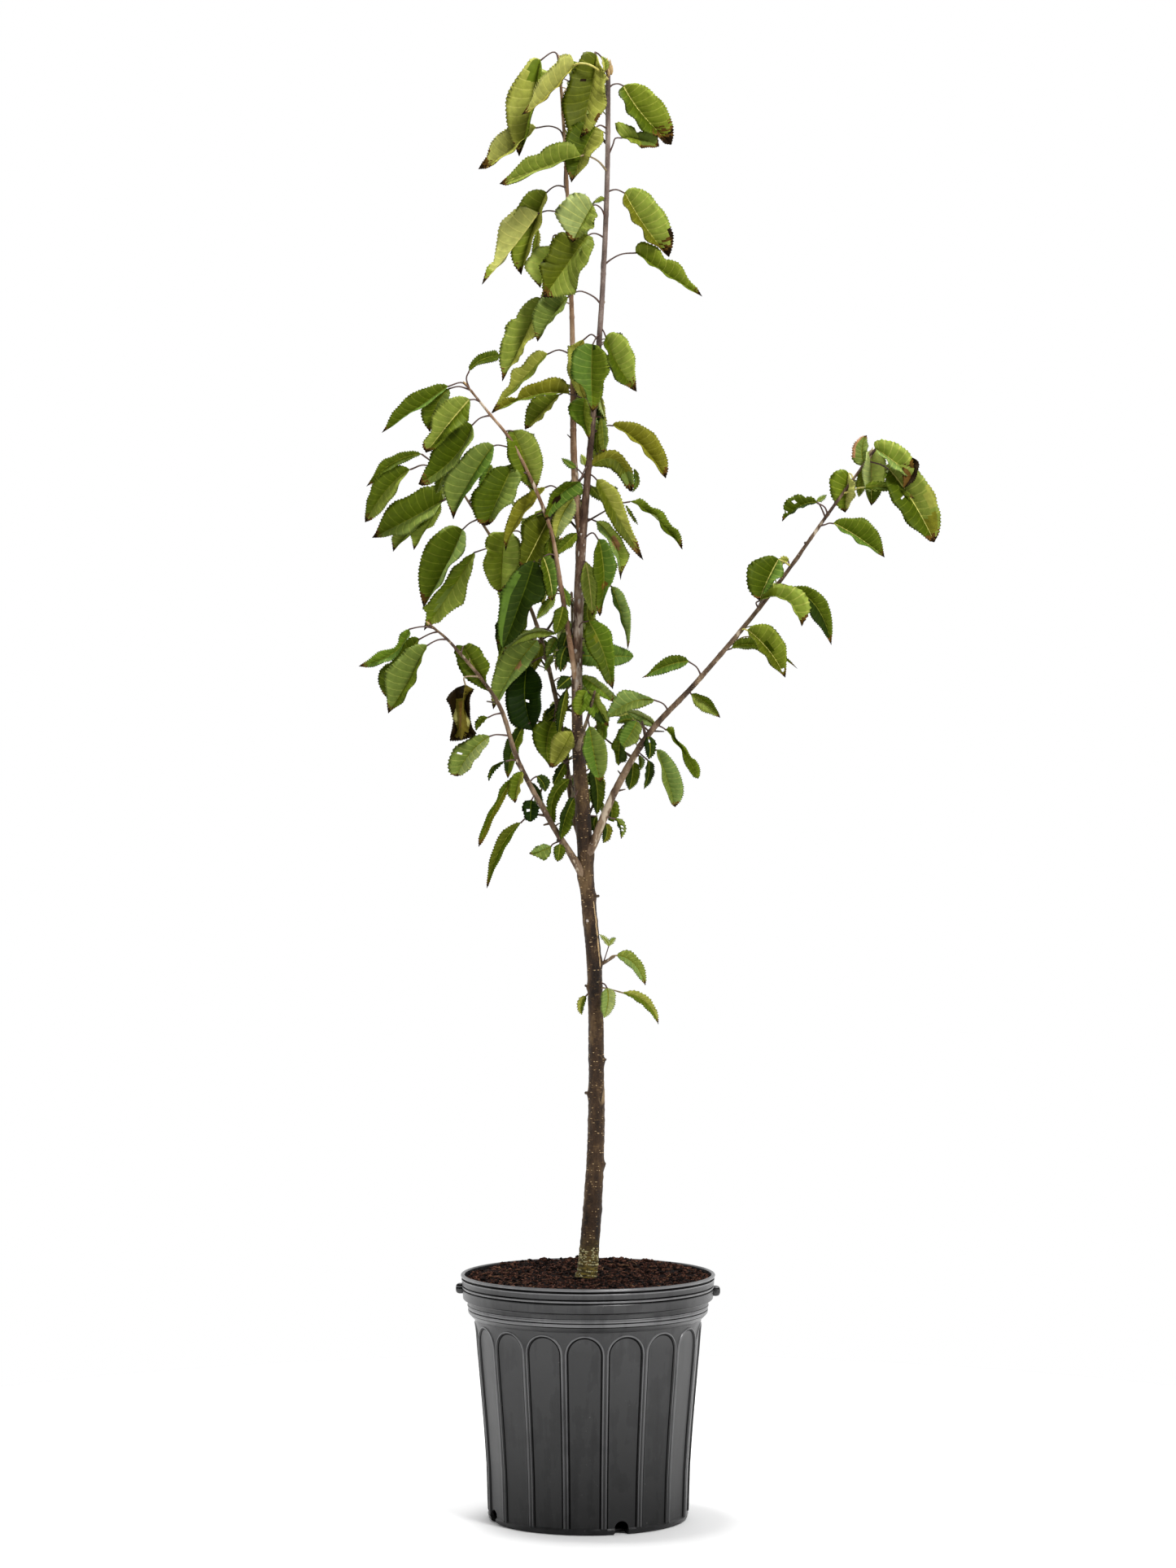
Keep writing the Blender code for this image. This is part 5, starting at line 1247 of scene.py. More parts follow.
L("N20", (549, 578), (541, 593), (536, 607), 6, 5, "DK", "GG", "BU", (602, 511), (), 2, 2, scorch=0, nostalk=True, shape="full")
L("N21", (661, 282), (658, 305), (652, 328), 4, 4, "MG", "YG", "LL", (695, 250), (), 2, 2, scorch=0, nostalk=True, shape="full")
L("N17", (969, 690), (962, 689), (956, 696), 5, 4, "YG", "YG", "BR", (968, 697), (), 4, 2, scorch=0, shape="full")
L("N15", (777, 885), (768, 884), (758, 889), 5, 5, "BG", "DK", "BR", (790, 895), (), 8, 6, scorch=0, shape="full")

# Right of the trunk
L("H92", (764, 893), (761, 918), (760, 941), 9, 9, "DK", "DB", "BR", (780, 905), [(770, 892)], 6, 8, scorch=0, shape="full")
L("H93", (783, 886), (775, 902), (765, 917), 13, 11, "BG", "GG", "BR", (790, 900), (), -8, -8, shape="blunt", scorch=0)
L("H94", (804, 860), (775, 863), (745, 881), 16, 8, "PB", "GG", "BR", (820, 872), [(815, 865)], -6, -10, shape="full", scorch=0)
L("H95", (806, 893), (788, 880), (768, 874), 5, 8, "PG", "PB", "BR", (798, 895), (), 6, 6, scorch=0)
L("H96", (847, 813), (820, 817), (788, 833), 11, 7, "DK", "BG", "BR", (860, 829), [(856, 820)], -4, -8)
L("H97", (849, 853), (868, 864), (885, 882), 11, 6, "LT", "DK", "BR", (846, 849), (), -4, -6)
L("H98", (820, 895), (843, 924), (857, 958), 5, 12, "DK", "MD", "BR", (806, 890), [(814, 894)], -4, -8, wave=(1.6, 2.4, 0.4), shape="late", scorch=0)
L("H99", (806, 921), (819, 955), (829, 992), 6, 17, "GG", "PB", "BR", (791, 905), [(798, 917)], -6, -8, shape="late", scorch=.04)
# H100 is dealt SH, a near-black green that paints deep shade.
L("H100", (796, 905), (799, 919), (797, 933), 7, 7, "SH", "DB", "BR", (792, 902), (), -8, -4, shape="full", scorch=0, holes=[(.2, -.1, .07, .2)])
L("H101", (778, 936), (777, 953), (773, 971), 10, 9, "VD", "DK", "BR", (775, 930), (), 6, 6, shape="full", scorch=0)
L("H102", (796, 934), (797, 950), (791, 970), 4, 7, "DB", "DB", "BR", (778, 932), [(784, 925), (791, 930)], -4, -4, scorch=0)
L("H103", (785, 928), (788, 937), (786, 947), 3, 4, "DK", "PB", "BR", (778, 933), [(781, 930)], -2, -2, scorch=0)
L("H104", (748, 982), (752, 996), (750, 1009), 8, 9, "VD", "MK", "BR", (750, 985), (), 8, 6, shape="blunt", scorch=0)
L("H105", (756, 1006), (763, 1016), (763, 1031), 3, 6, "VD", "GG", "BR", (745, 1000), [(750, 1005)], 4, 2, holes=[(.5, .3, .05, .3), (.66, .1, .05, .3)])
L("H106", (745, 1012), (746, 1024), (741, 1036), 6, 6, "VD", "OL", "BR", (738, 1012), (), 6, 4, shape="full", scorch=0)
L("H107", (733, 1003), (730, 1013), (735, 1024), 6, 5, "VD", "DK", "TR", (722, 1005), (), 6, 4, shape="full", scorch=0)

# Along the right bough
L("R1", (1005, 619), (981, 621), (961, 642), 14, 1, "DK", "VD", "BR", (1016, 630), [(1013, 623)], -4, -8, shape="full",
  holes=[(.42, -.70, .025, .1), (.56, -.60, .03, .12), (.82, -.6, .02, .14)])
L("R1b", (1003, 616), (1009, 613), (1016, 608), 3, 3, "PB", "PB", "BR", (1012, 634), [(1008, 622)], 0, 2, scorch=0)
L("R2", (1043, 581), (1040, 606), (1038, 630), 21, 17, "MD", "PY", "BR", (1048, 590), [(1046, 583)], 4, 6, shape="full", stem="yellow", rib="ribpale")
L("R3", (1063, 573), (1059, 553), (1065, 535), 8, 12, "GG", "GG", "BR", (1062, 574), (), 4, 6, edge=(.3, .95, 1, .6, "pink"), shape="full")
L("R4", (1075, 551), (1098, 569), (1119, 586), 1, 25, "PB", "VB", "BR", (1064, 566), [(1070, 558)], -6, -10, shape="blunt", rib="ribpale", ribwide=1.3,
  edge=(.80, 1.0, 1, .0, "brown"), scorch=.05)
L("R4b", (1119, 562), (1121, 580), (1110, 600), 12, 7, "brown", "scorch", "BR", (1064, 566), (), -10, -16, shape="full", nostalk=True, scorch=0, rib="brown")
# R5's right half is dealt BB, a pale tone that paints light on a half lying in shadow.
L("R5", (1070, 556), (1070, 590), (1071, 621), 10, 19, "PG", "BB", "BR", (1064, 566), [(1067, 560)], 2, 4, shape="full", rib="ribpale", ribwide=1.2, spots=[(.9, 0, .2, 1.2, "DK")])
L("R6", (1092, 577), (1118, 614), (1148, 665), 19, 24, "DK", "LT", "BR", (1064, 566), [(1071, 568), (1082, 571)], -8, -12, shape="full", rib="ribpale", ribwide=1.3,
  spots=[(.60, .85, .10, .35, "YG"), (.82, .4, .10, .5, "OY")], stem="red", holes=[(.40, -.4, .012, .05)])
L("R7", (1062, 599), (1092, 599), (1124, 613), 5, 6, "DK", "MD", "BR", (1038, 607), [(1046, 604), (1054, 600)], -12, -14, shape="full", stem="yellow", rib="rib")
L("R8", (1024, 643), (1054, 661), (1087, 685), 3, 22, "BG", "MD", "BR", (1008, 648), [(1013, 645), (1019, 643)], -4, -8, rib="ribpale", ribwide=1.3)
L("R9", (957, 688), (945, 712), (931, 738), 29, 14, "DK", "BG", "BR", (969, 695), [(963, 690)], -6, -10, shape="blunt", stem="yellow", rib="ribpale", ribwide=1.3)
L("R10", (933, 738), (966, 736), (985, 770), 1, 20, "LT", "VB", "BR", (929, 747), [(929, 741)], -8, -10, shape="blunt", spots=[(.12, .5, .20, .9, "MG")])
L("R11", (970, 722), (1003, 745), (1021, 793), 12, 14, "VD", "MK", "BR", (950, 722), [(960, 718)], -2, -8, shape="full")
L("R12", (918, 774), (941, 797), (965, 833), 9, 24, "DO", "MG", "BR", (911, 776), [(914, 773)], -8, -10, shape="full", rib="ribpale", ribwide=1.1, stem="yellow",
  holes=[(.88, .2, .03, .4)], spots=[(.45, .1, .10, .3, "DK")])
L("R13", (898, 797), (936, 793), (980, 822), 2, 11, "MK", "MK", "BR", (884, 806), [(891, 800)], 2, 4, shape="slim")

# The shoot low on the trunk
L("S1", (748, 1163), (745, 1156), (736, 1148), 3, 3, "PG", "PG", "TS", (740, 1181), [(745, 1172)], -3, -4, scorch=0, thick=0.6)
L("S1b", (748, 1163), (752, 1156), (757, 1153), 3, 3, "PG", "PB", "TS", (740, 1181), [(745, 1172)], -3, 2, scorch=0, thick=0.6, nostalk=True)
L("S2", (758, 1174), (779, 1184), (793, 1211), 7, 9, "PB", "LT", "TS", (746, 1178), [(752, 1175)], -3, -8, shape="full", stem="pale")
L("S3", (746, 1214), (747, 1232), (742, 1251), 9, 9, "PB", "PG", "TR", (735, 1206), [(742, 1209)], -14, -6, shape="full", scorch=0)
L("S4", (765, 1220), (793, 1232), (809, 1259), 5, 7, "MK", "YG", "TR", (737, 1212), [(750, 1216)], -10, -8, stem="pale")
L("S5", (720, 1224), (714, 1235), (715, 1247), 5, 4, "YG", "DK", "TR", (728, 1215), (), 6, 4, shape="full", scorch=0)

# Stalks that leave the middle bough's end together
tip = VIEW_ROUTES["BM"][-1]
for stops, end, deep in (([(552, 590), (536, 572)], (518, 558), -9), ([(548, 592), (524, 572)], (504, 577), -8),
                         ([(558, 606)], (545, 615), -5), ([(560, 608)], (541, 617), -2)):
    line = [tip - np.array([0, 0, 0.5])] + [np.array([q[0], q[1], tip[2] + deep * 0.6]) for q in stops]
    line.append(np.array([end[0], end[1], tip[2] + deep]))
    tube(petioles, curve_through(line, 20), [1.6, 1.1, 1.0, 1.2], 7, STALKS["red"])


# A dead leaf rolled up along its length: its outer turn and, behind it, the inner one. The inner turn and the dark
# patches at the outer turn's ends are painted near-black: painted shade in the roll.
L("G76", (572, 841), (568, 875), (567, 910), 12, 12, "roll", "roll", "BL", (588, 832), [(577, 831), (570, 833)], -12, -4,
  under=True, scorch=0, deep=1.5, rib="roll", stem="pale", relief=0.5, wave=(1.4, 2.6, 0.5),
  spots=[(.06, -.55, .22, .75, "rolldark"), (.58, -.86, .20, .22, "rollpale"), (.96, -.8, .10, .5, "rolldark"),
         (.90, .80, .13, .40, "rolldark"), (.55, -.15, .26, .14, "rollbrown"), (.50, .80, .24, .2, "rollpale")])
TRACES["G76b"] = TRACES["G76"]
L("G76b", (572, 841), (568, 875), (567, 910), 12, 12, "rolldark", "rolldark", "BL", (588, 832), (), 12, -4,
  scorch=0, deep=1.5, rib="rolldark", nostalk=True)

# ------------------------------------------------ what the front view can't see
WIDE, HIGH = 1445, 1927
FAR = 1e6
nearest = np.full((HIGH, WIDE), FAR)


def cover(points, reach=0):
    x = np.round(points[:, 0]).astype(int)
    y = np.round(points[:, 1]).astype(int)
    for dx in range(-reach, reach + 1):
        for dy in range(-reach, reach + 1):
            xx, yy = np.clip(x + dx, 0, WIDE - 1), np.clip(y + dy, 0, HIGH - 1)
            np.minimum.at(nearest, (yy, xx), points[:, 2])


def denser(grid, fold_rows, fold_cols):
    rows = np.linspace(0, grid.shape[0] - 1, (grid.shape[0] - 1) * fold_rows + 1)
    cols = np.linspace(0, grid.shape[1] - 1, (grid.shape[1] - 1) * fold_cols + 1)
    r0 = np.clip(rows.astype(int), 0, grid.shape[0] - 2)
    c0 = np.clip(cols.astype(int), 0, grid.shape[1] - 2)
    fr, fc = (rows - r0)[:, None, None], (cols - c0)[None, :, None]
    a, b = grid[r0][:, c0], grid[r0][:, c0 + 1]
    c, d = grid[r0 + 1][:, c0], grid[r0 + 1][:, c0 + 1]
    return (a * (1 - fr) * (1 - fc) + b * (1 - fr) * fc + c * fr * (1 - fc) + d * fr * fc)


for _, grid in LEAVES:
    cover(denser(grid, 3, 5).reshape(-1, 3), 0)
for key, route in VIEW_ROUTES.items():
    if key in ("BB", "BF"):
        continue
    radius = ROUTES[SHORT[key]][1] * MM / PX
    for off in np.linspace(-0.9, 0.9, 7):
        shifted = denser(np.stack([route, route], 1), 3, 1)[:, 0].copy()
        shifted[:, 0] += off * np.interp(np.linspace(0, 1, len(shifted)),
                                         np.linspace(0, 1, len(radius)), radius)
        cover(shifted, 0)
# close single-pixel gaps between samples
for _ in range(1):
    grown = nearest.copy()
    for dx, dy in ((1, 0), (-1, 0), (0, 1), (0, -1)):
        moved = np.roll(np.roll(nearest, dx, 1), dy, 0)
        grown = np.where(nearest >= FAR, np.where(moved < FAR, np.minimum(grown, moved), grown), grown)
    nearest = grown


screen = nearest.copy()
for dx, dy in ((1, 0), (-1, 0), (0, 1), (0, -1)):
    screen = np.maximum(screen, np.roll(np.roll(nearest, dx, 1), dy, 0))


def hidden(points, share, slack=2.0):
    """Whether nearly all of these points lie behind what already shows."""
    x = np.clip(np.round(points[:, 0]).astype(int), 0, WIDE - 1)
    y = np.clip(np.round(points[:, 1]).astype(int), 0, HIGH - 1)
    front = screen[y, x]
    behind = (front < FAR) & (points[:, 2] > front + slack)
    return behind.mean() >= share


DEEPEST = (cad_high.y + 0.006) / PX
chance = random.Random(20)
grown_leaves = []


def grow_leaf(origin, heading, share, tries, low=44.0, high=100.0, key="TR", steep=None,
              stem_from=None):
    """Grows one leaf from origin, turning it until the leaves in front hide it."""
    for attempt in range(tries):
        turn = heading + chance.gauss(0, 0.25 + 0.04 * attempt)
        if math.sin(turn) < 0.05:
            continue
        size = chance.uniform(low, high) * (1.0 - 0.010 * attempt)
        reach = chance.uniform(13, 26)
        out = np.array([math.cos(turn), 0.0, math.sin(turn)])
        down = np.array([0.0, 1.0, 0.0])
        droop = steep if steep is not None else chance.uniform(0.25, 1.5)
        base = origin + unit(out - down * chance.uniform(0.1, 0.8)) * reach
        first = unit(out + down * (droop - 0.45))
        second = unit(out * 0.75 + down * (droop + 0.35))
        mid = base + first * size * 0.5
        tip = mid + second * size * 0.5
        if max(base[2], mid[2], tip[2]) + 6 > DEEPEST:
            continue
        flat = unit(np.cross(out, down))
        normal = unit(np.cross(flat, unit(tip - base)))
        if normal[1] > 0:
            normal = -normal
        roll = chance.gauss(0, 0.5)
        side = flat * math.cos(roll) + normal * math.sin(roll)
        normal = unit(np.cross(side, unit(tip - base)))
        if normal[1] > 0:
            normal = -normal
        wide = size * chance.uniform(0.21, 0.27)
        fold = chance.uniform(0.12, 0.6)
        a_side = (-side * math.cos(fold) + normal * math.sin(fold)) * wide
        b_side = (side * math.cos(fold) + normal * math.sin(fold)) * wide
        u = np.linspace(0, 1, 25)[:, None]
        spine = (1 - u) ** 2 * base + 2 * u * (1 - u) * (2 * mid - (base + tip) / 2) + u ** 2 * tip
        width = np.sin(math.pi * np.clip(u, 0.02, 0.98)) ** 0.6
        probe = np.concatenate([spine] + [spine + half * width * part for half in (a_side, b_side)
                                          for part in (0.36, 0.7, 1.0)])
        if not hidden(probe, share):
            continue
        stem = np.linspace(0, 1, 6)[:, None] * (base - origin) + origin
        if not hidden(stem[1:], 0.8, 0.0):
            continue
        near = [g for g in grown_leaves if np.linalg.norm(g - mid) < 0.26 * size]
        if near:
            continue
        grown_leaves.append(mid)
        upper = chance.choice(["DK", "DK", "MD", "DO", "OL", "BR", "DK", "VD"])
        other = upper if chance.random() < 0.7 else chance.choice(["MD", "LT", "DK"])
        small = size < 60
        blade(batch_for(to_world(mid)), base, mid, tip,
              lambda q, v=a_side: np.broadcast_to(v, q.shape + (3,)),
              lambda q, v=b_side: np.broadcast_to(v, q.shape + (3,)),
              (upper, other), outline=chance.choice(["leaf", "full", "full", "slim"]),
              veins=7 if small else 9, rows=3, cols=3 if small else 4, toward=normal,
              scorch=chance.choice([0, 0.05, 0.08]), seed=attempt * 7 + len(grown_leaves),
              wave=(0.05 * wide, chance.uniform(1.4, 2.6), chance.uniform(0, 6)),
              tiles=next_tiles(), shear=0.12)
        middle = (origin + base) / 2 - down * 0.12 * reach
        tube(petioles, curve_through([origin, middle, base + (mid - base) * 0.03], 7),
             [1.1, 0.8, 0.85], 5, STALKS[chance.choice(["red", "pale", "green"])])
        return base
    return None


def grow_twig(origin, heading, length, share):
    """A short twig that leans back out of its limb and carries a few leaves."""
    for attempt in range(14):
        turn = heading + chance.gauss(0, 0.3)
        if math.sin(turn) < 0.15:
            continue
        long = length * (1 - 0.04 * attempt)
        out = unit(np.array([math.cos(turn) * 0.7, -chance.uniform(0.2, 0.9), math.sin(turn)]))
        bent = unit(out + np.array([chance.uniform(-.25, .25), -0.25, chance.uniform(-.2, .2)]))
        line = curve_through([origin, origin + out * long * 0.5, origin + out * long * 0.5
                              + bent * long * 0.5], 9)
        if line[:, 2].max() > DEEPEST - 14 or not hidden(line[2:], share, 1.0):
            continue
        past = unit(line[-1] - line[-2])
        if not hidden(np.stack([line[-2], line[-1], line[-1] + past * 4, line[-1] + past * 8]), 1.0, 1.0):
            continue
        tube(petioles, line, [1.9, 1.5, 1.0], 6, STALKS["twig"])
        return line
    return None


# (limb, spacing along the limb, how many leaves to each twig)
for key, spacing, every in (("TR", 13.0, 4), ("LL", 13.0, 4), ("BU", 12.0, 4), ("BM", 12.0, 4),
                            ("BL", 12.0, 4), ("BR", 12.0, 5), ("BB", 9.0, 3)):
    route = VIEW_ROUTES[key]
    steps = np.concatenate([[0], np.cumsum(np.linalg.norm(np.diff(route, axis=0), axis=1))])
    start = 470.0 if key == "TR" else 26.0
    heading = chance.uniform(0, 6.28)
    k = 0
    at = start
    while at < steps[-1] - 2:
        origin = np.array([np.interp(at, steps, route[:, c]) for c in range(3)])
        heading += math.radians(137.5)
        back = math.atan2(abs(math.sin(heading)) + 0.15, math.cos(heading))
        if key == "BB":
            grow_leaf(origin, back if chance.random() < 0.7 else heading, 0.95, 40, 46, 92, key)
        else:
            grow_leaf(origin, back, 0.97, 36, key=key)
        k += 1
        if k % every == 0:
            twig = grow_twig(origin, back, chance.uniform(38, 84), 0.85)
            if twig is not None:
                for m, node_at in enumerate((3, 5, 7, 9)):
                    aim = back + (1 if m % 2 else -1) * chance.uniform(0.4, 1.3)
                    grow_leaf(twig[min(node_at, len(twig) - 1)], aim, 0.96, 30, key=key)
                end = unit(twig[-1] - twig[-2])
                tube(petioles, np.array([twig[-1], twig[-1] + end * 2.4, twig[-1] + end * 5.2]),
                     [1.2, 1.5, 0.3], 6, STALKS["bud"])
        at += spacing * chance.uniform(0.8, 1.25)

print("leaves in front", len(LEAVES), "behind", len(grown_leaves))

# --------------------------------------------------------------- buds and stubs
def bud(place, direction, length, wide, kind="bud"):
    d = unit(direction)
    line = np.array([place - d * 1.0, place + d * length * 0.30, place + d * length * 0.65,
                     place + d * length])
    tube(petioles, line, [wide * 0.6, wide, wide * 0.7, wide * 0.12], 7, STALKS[kind])


top = VIEW_ROUTES["TR"][-1]
for dx, dy, dz, size, wide in ((-2.2, 3, -1.5, 13, 2.6), (1.6, 2, -2.0, 14, 2.8), (3.4, 6, 0.5, 11, 2.2),
                               (-0.5, 0, 2.5, 14, 2.8), (0.5, 8, -3.4, 9, 2.2)):
    bud(top + np.array([dx, dy, dz]), (dx * 0.05 - 0.04, -1, dz * 0.05), size, wide)
top = VIEW_ROUTES["LL"][-1]
bud(top, (0.05, -1, 0), 8, 1.6)
bud(top + np.array([0, 4, 0]), (0.5, -1, -0.3), 5, 1.2)
for x, y, dx, long, wide in ((684, 811, -0.05, 13, 2.9), (695, 814, -0.3, 11, 2.6)):
    bud(np.array([x, y, limb_root("BM", 676, 826)[2] - 3.0]), (dx, 1, 0), long, wide, "pale")
end = VIEW_ROUTES["BR"][-1]
for dx, dy, dz, size, wide in ((0.3, -1, 0, 15, 2.4), (0.5, -0.9, 0.4, 11, 1.9), (0.1, -1, -0.4, 12, 1.8)):
    bud(end + np.array([0, 2, 0]), (dx, dy, dz), size, wide, "pale")
for key in ("BU", "BM", "BL"):
    line = VIEW_ROUTES[key]
    bud(line[-1], line[-1] - line[-4], 6, 1.5)

# short side spurs and snags: limb, root, end, radii
for key, root, end, wide in (
        ("TR", (722, 1104), (736, 1101), (3.0, 1.6)), ("TR", (728, 1216), (719, 1211), (3.0, 1.5)),
        ("TR", (731, 1304), (744.5, 1302), (3.2, 1.6)), ("TR", (731, 1345), (719, 1343), (3.4, 1.8)),
        ("TR", (731, 1433), (743.5, 1430), (4.5, 2.2)),
        ("BR", (766, 955), (759, 947), (1.8, 0.6)), ("BR", (760, 975), (768.5, 970), (2.0, 0.6)),
        ("BR", (793, 906), (789, 886), (2.6, 1.0)), ("BR", (848, 850), (842, 857), (2.0, 0.8)),
        ("BR", (798, 895), (816, 899), (1.6, 0.7)), ("BR", (847, 812), (853, 809), (1.4, 1.4)),
        ("BR", (992, 670), (989, 667), (2.2, 1.6)),
        ("BR", (1064, 566), (1077, 551), (1.5, 1.3)), ("BR", (1066, 570), (1060, 578), (2.0, 1.2)),
        ("LL", (702, 540), (697, 534), (1.4, 0.5)), ("BL", (641, 945), (635, 937), (3.0, 2.2)),
        ("BL", (672, 1003), (660, 1001), (2.2, 1.2)), ("BL", (677, 1012), (668, 1014), (2.0, 1.0)),
        ("BL", (690, 1034), (685, 1033), (3.4, 2.4)), ("BL", (602, 868), (598, 862), (1.6, 0.8))):
    start = limb_root(key, *root)
    if key == "BR" and root == (847, 812):
        continue
    line = np.array([start, (start + np.array([end[0], end[1], start[2] - 2])) / 2,
                     np.array([end[0], end[1], start[2] - 3])])
    tube(petioles, curve_through(line, 6), wide, 7, STALKS["twig"])

# ------------------------------------------------------------------ materials
GAIN = 1.0


def stalk_material(name, rgb, rough):
    mat, tree, shader = new_material(name)
    at = coordinates(tree)
    mottle = noise_node(tree, at, 180.0, 3.0)
    base = linear(rgb)
    tint = ramp(tree, mottle.outputs["Fac"], [(0.34, [c * 0.80 for c in base]), (0.5, base),
                                              (0.68, [min(1, c * 1.2) for c in base])])
    tree.links.new(tint.outputs["Color"], shader.inputs["Base Color"])
    tree.links.new(spread(tree, mottle.outputs["Fac"], rough - 0.1, rough + 0.12),
                   shader.inputs["Roughness"])
    bump(tree, shader, mottle.outputs["Fac"], 0.0004, 0.5)
    return mat


stalk_materials = [
    stalk_material("stalk_red", (84, 58, 48), 0.5),
    stalk_material("stalk_pale", (150, 130, 98), 0.5),
    stalk_material("stalk_yellow", (196, 186, 96), 0.5),
    stalk_material("stalk_green", (100, 104, 40), 0.5),
    stalk_material("twig_bark", (74, 58, 42), 0.7),
    stalk_material("bud_scale", (176, 146, 92), 0.5),
]


def bark_material(name, dark, middle, light, silver, patch_at, low=None):
    """Bark mottled along the limb, with paler skin that has begun to peel."""
    mat, tree, shader = new_material(name)
    at = coordinates(tree)
    wide = noise_node(tree, at, 60.0, 5.0, 0.65, (1.0, 1.0, 0.35))
    bands = noise_node(tree, at, 300.0, 4.0, 0.6, (0.5, 0.5, 1.9))
    fine = noise_node(tree, at, 900.0, 4.0, 0.7)
    body = ramp(tree, wide.outputs["Fac"], [(0.34, linear(dark)), (0.50, linear(middle)),
                                            (0.66, linear(light))])
    peel = noise_node(tree, at, 85.0, 3.0, 0.55, (1.0, 1.0, 0.30))
    mask = ramp(tree, peel.outputs["Fac"], [(patch_at, (0, 0, 0)), (patch_at + 0.05, (1, 1, 1))])
    colour = blend_colours(tree, mask.outputs["Color"], body.outputs["Color"], linear(silver))
    specks = ramp(tree, bands.outputs["Fac"], [(0.60, (0, 0, 0)), (0.70, (1, 1, 1))])
    shade = blend_colours(tree, spread(tree, specks.outputs["Color"], 0.0, 0.60 if low else 0.45),
                          colour, linear([c * 1.3 for c in light] if low else light))
    if low:
        heights = node(tree, "ShaderNodeSeparateXYZ")
        tree.links.new(at, heights.inputs["Vector"])
        foot = node(tree, "ShaderNodeMapRange")
        foot.inputs["From Min"].default_value = 0.335
        foot.inputs["From Max"].default_value = 0.285
        tree.links.new(heights.outputs["Z"], foot.inputs["Value"])
        mossy = ramp(tree, bands.outputs["Fac"], [(0.36, linear([c * 0.5 for c in low])),
                                                  (0.50, linear(low)),
                                                  (0.66, linear([c * 1.6 for c in low]))])
        shade = blend_colours(tree, foot.outputs["Result"], shade, mossy.outputs["Color"])
        red = node(tree, "ShaderNodeMapRange")
        red.inputs["From Min"].default_value = 0.93
        red.inputs["From Max"].default_value = 1.04
        tree.links.new(heights.outputs["Z"], red.inputs["Value"])
        young = ramp(tree, wide.outputs["Fac"], [(0.38, linear((58, 36, 26))),
                                                 (0.51, linear((106, 80, 62))),
                                                 (0.64, linear((164, 140, 120)))])
        shade = blend_colours(tree, red.outputs["Result"], shade, young.outputs["Color"])
        tip = node(tree, "ShaderNodeMapRange")
        tip.inputs["From Min"].default_value = 1.24
        tip.inputs["From Max"].default_value = 1.44
        tree.links.new(heights.outputs["Z"], tip.inputs["Value"])
        pale = ramp(tree, wide.outputs["Fac"], [(0.36, linear((94, 78, 72))),
                                                (0.51, linear((136, 117, 108))),
                                                (0.66, linear((180, 162, 152)))])
        shade = blend_colours(tree, tip.outputs["Result"], shade, pale.outputs["Color"])
        zone = ramp(tree, heights.outputs["Z"], [(0.0, (0, 0, 0)), (0.958, (0, 0, 0)), (0.985, (1, 1, 1)),
                                                 (0.999, (1, 1, 1))])
        high = node(tree, "ShaderNodeMapRange")
        high.inputs["From Min"].default_value = 1.10
        high.inputs["From Max"].default_value = 1.13
        high.inputs["To Min"].default_value = 1.0
        high.inputs["To Max"].default_value = 0.0
        tree.links.new(heights.outputs["Z"], high.inputs["Value"])
        skin = ramp(tree, peel.outputs["Fac"], [(0.50, (0, 0, 0)), (0.60, (1, 1, 1))])
        part = node(tree, "ShaderNodeMath", operation="MULTIPLY")
        tree.links.new(zone.outputs["Color"], part.inputs[0])
        tree.links.new(high.outputs["Result"], part.inputs[1])
        whole = node(tree, "ShaderNodeMath", operation="MULTIPLY")
        tree.links.new(part.outputs["Value"], whole.inputs[0])
        tree.links.new(skin.outputs["Color"], whole.inputs[1])
        shade = blend_colours(tree, whole.outputs["Value"], shade, linear((190, 172, 154)))
    tree.links.new(shade, shader.inputs["Base Color"])
    tree.links.new(spread(tree, bands.outputs["Fac"], 0.42, 0.78), shader.inputs["Roughness"])
    shader.inputs["Specular IOR Level"].default_value = 0.25
    total = node(tree, "ShaderNodeMath", operation="ADD")
    tree.links.new(bands.outputs["Fac"], total.inputs[0])
    tree.links.new(fine.outputs["Fac"], total.inputs[1])
    bump(tree, shader, total.outputs["Value"], 0.0015 if low else 0.0009, 0.8)
    return mat


bark_old = bark_material("bark_old", (30, 19, 11), (66, 47, 30), (112, 88, 58), (142, 118, 84), 0.66,
                         low=(96, 84, 36))
bark_young = bark_material("bark_young", (62, 45, 32), (104, 84, 62), (144, 124, 96),
                           (184, 168, 148), 0.62)
bark_bough = bark_material("bark_bough", (56, 41, 30), (104, 82, 62), (156, 132, 106),
                           (198, 180, 156), 0.60)
bark_leader = bark_material("bark_leader", (92, 64, 44), (146, 112, 84), (190, 160, 130),
                            (210, 190, 166), 0.58)
lenticel = stalk_material("lenticel", (190, 160, 116), 0.7)
crust = stalk_material("crust", (186, 178, 132), 0.8)
silver_skin = stalk_material("silver_skin", (188, 176, 166), 0.6)

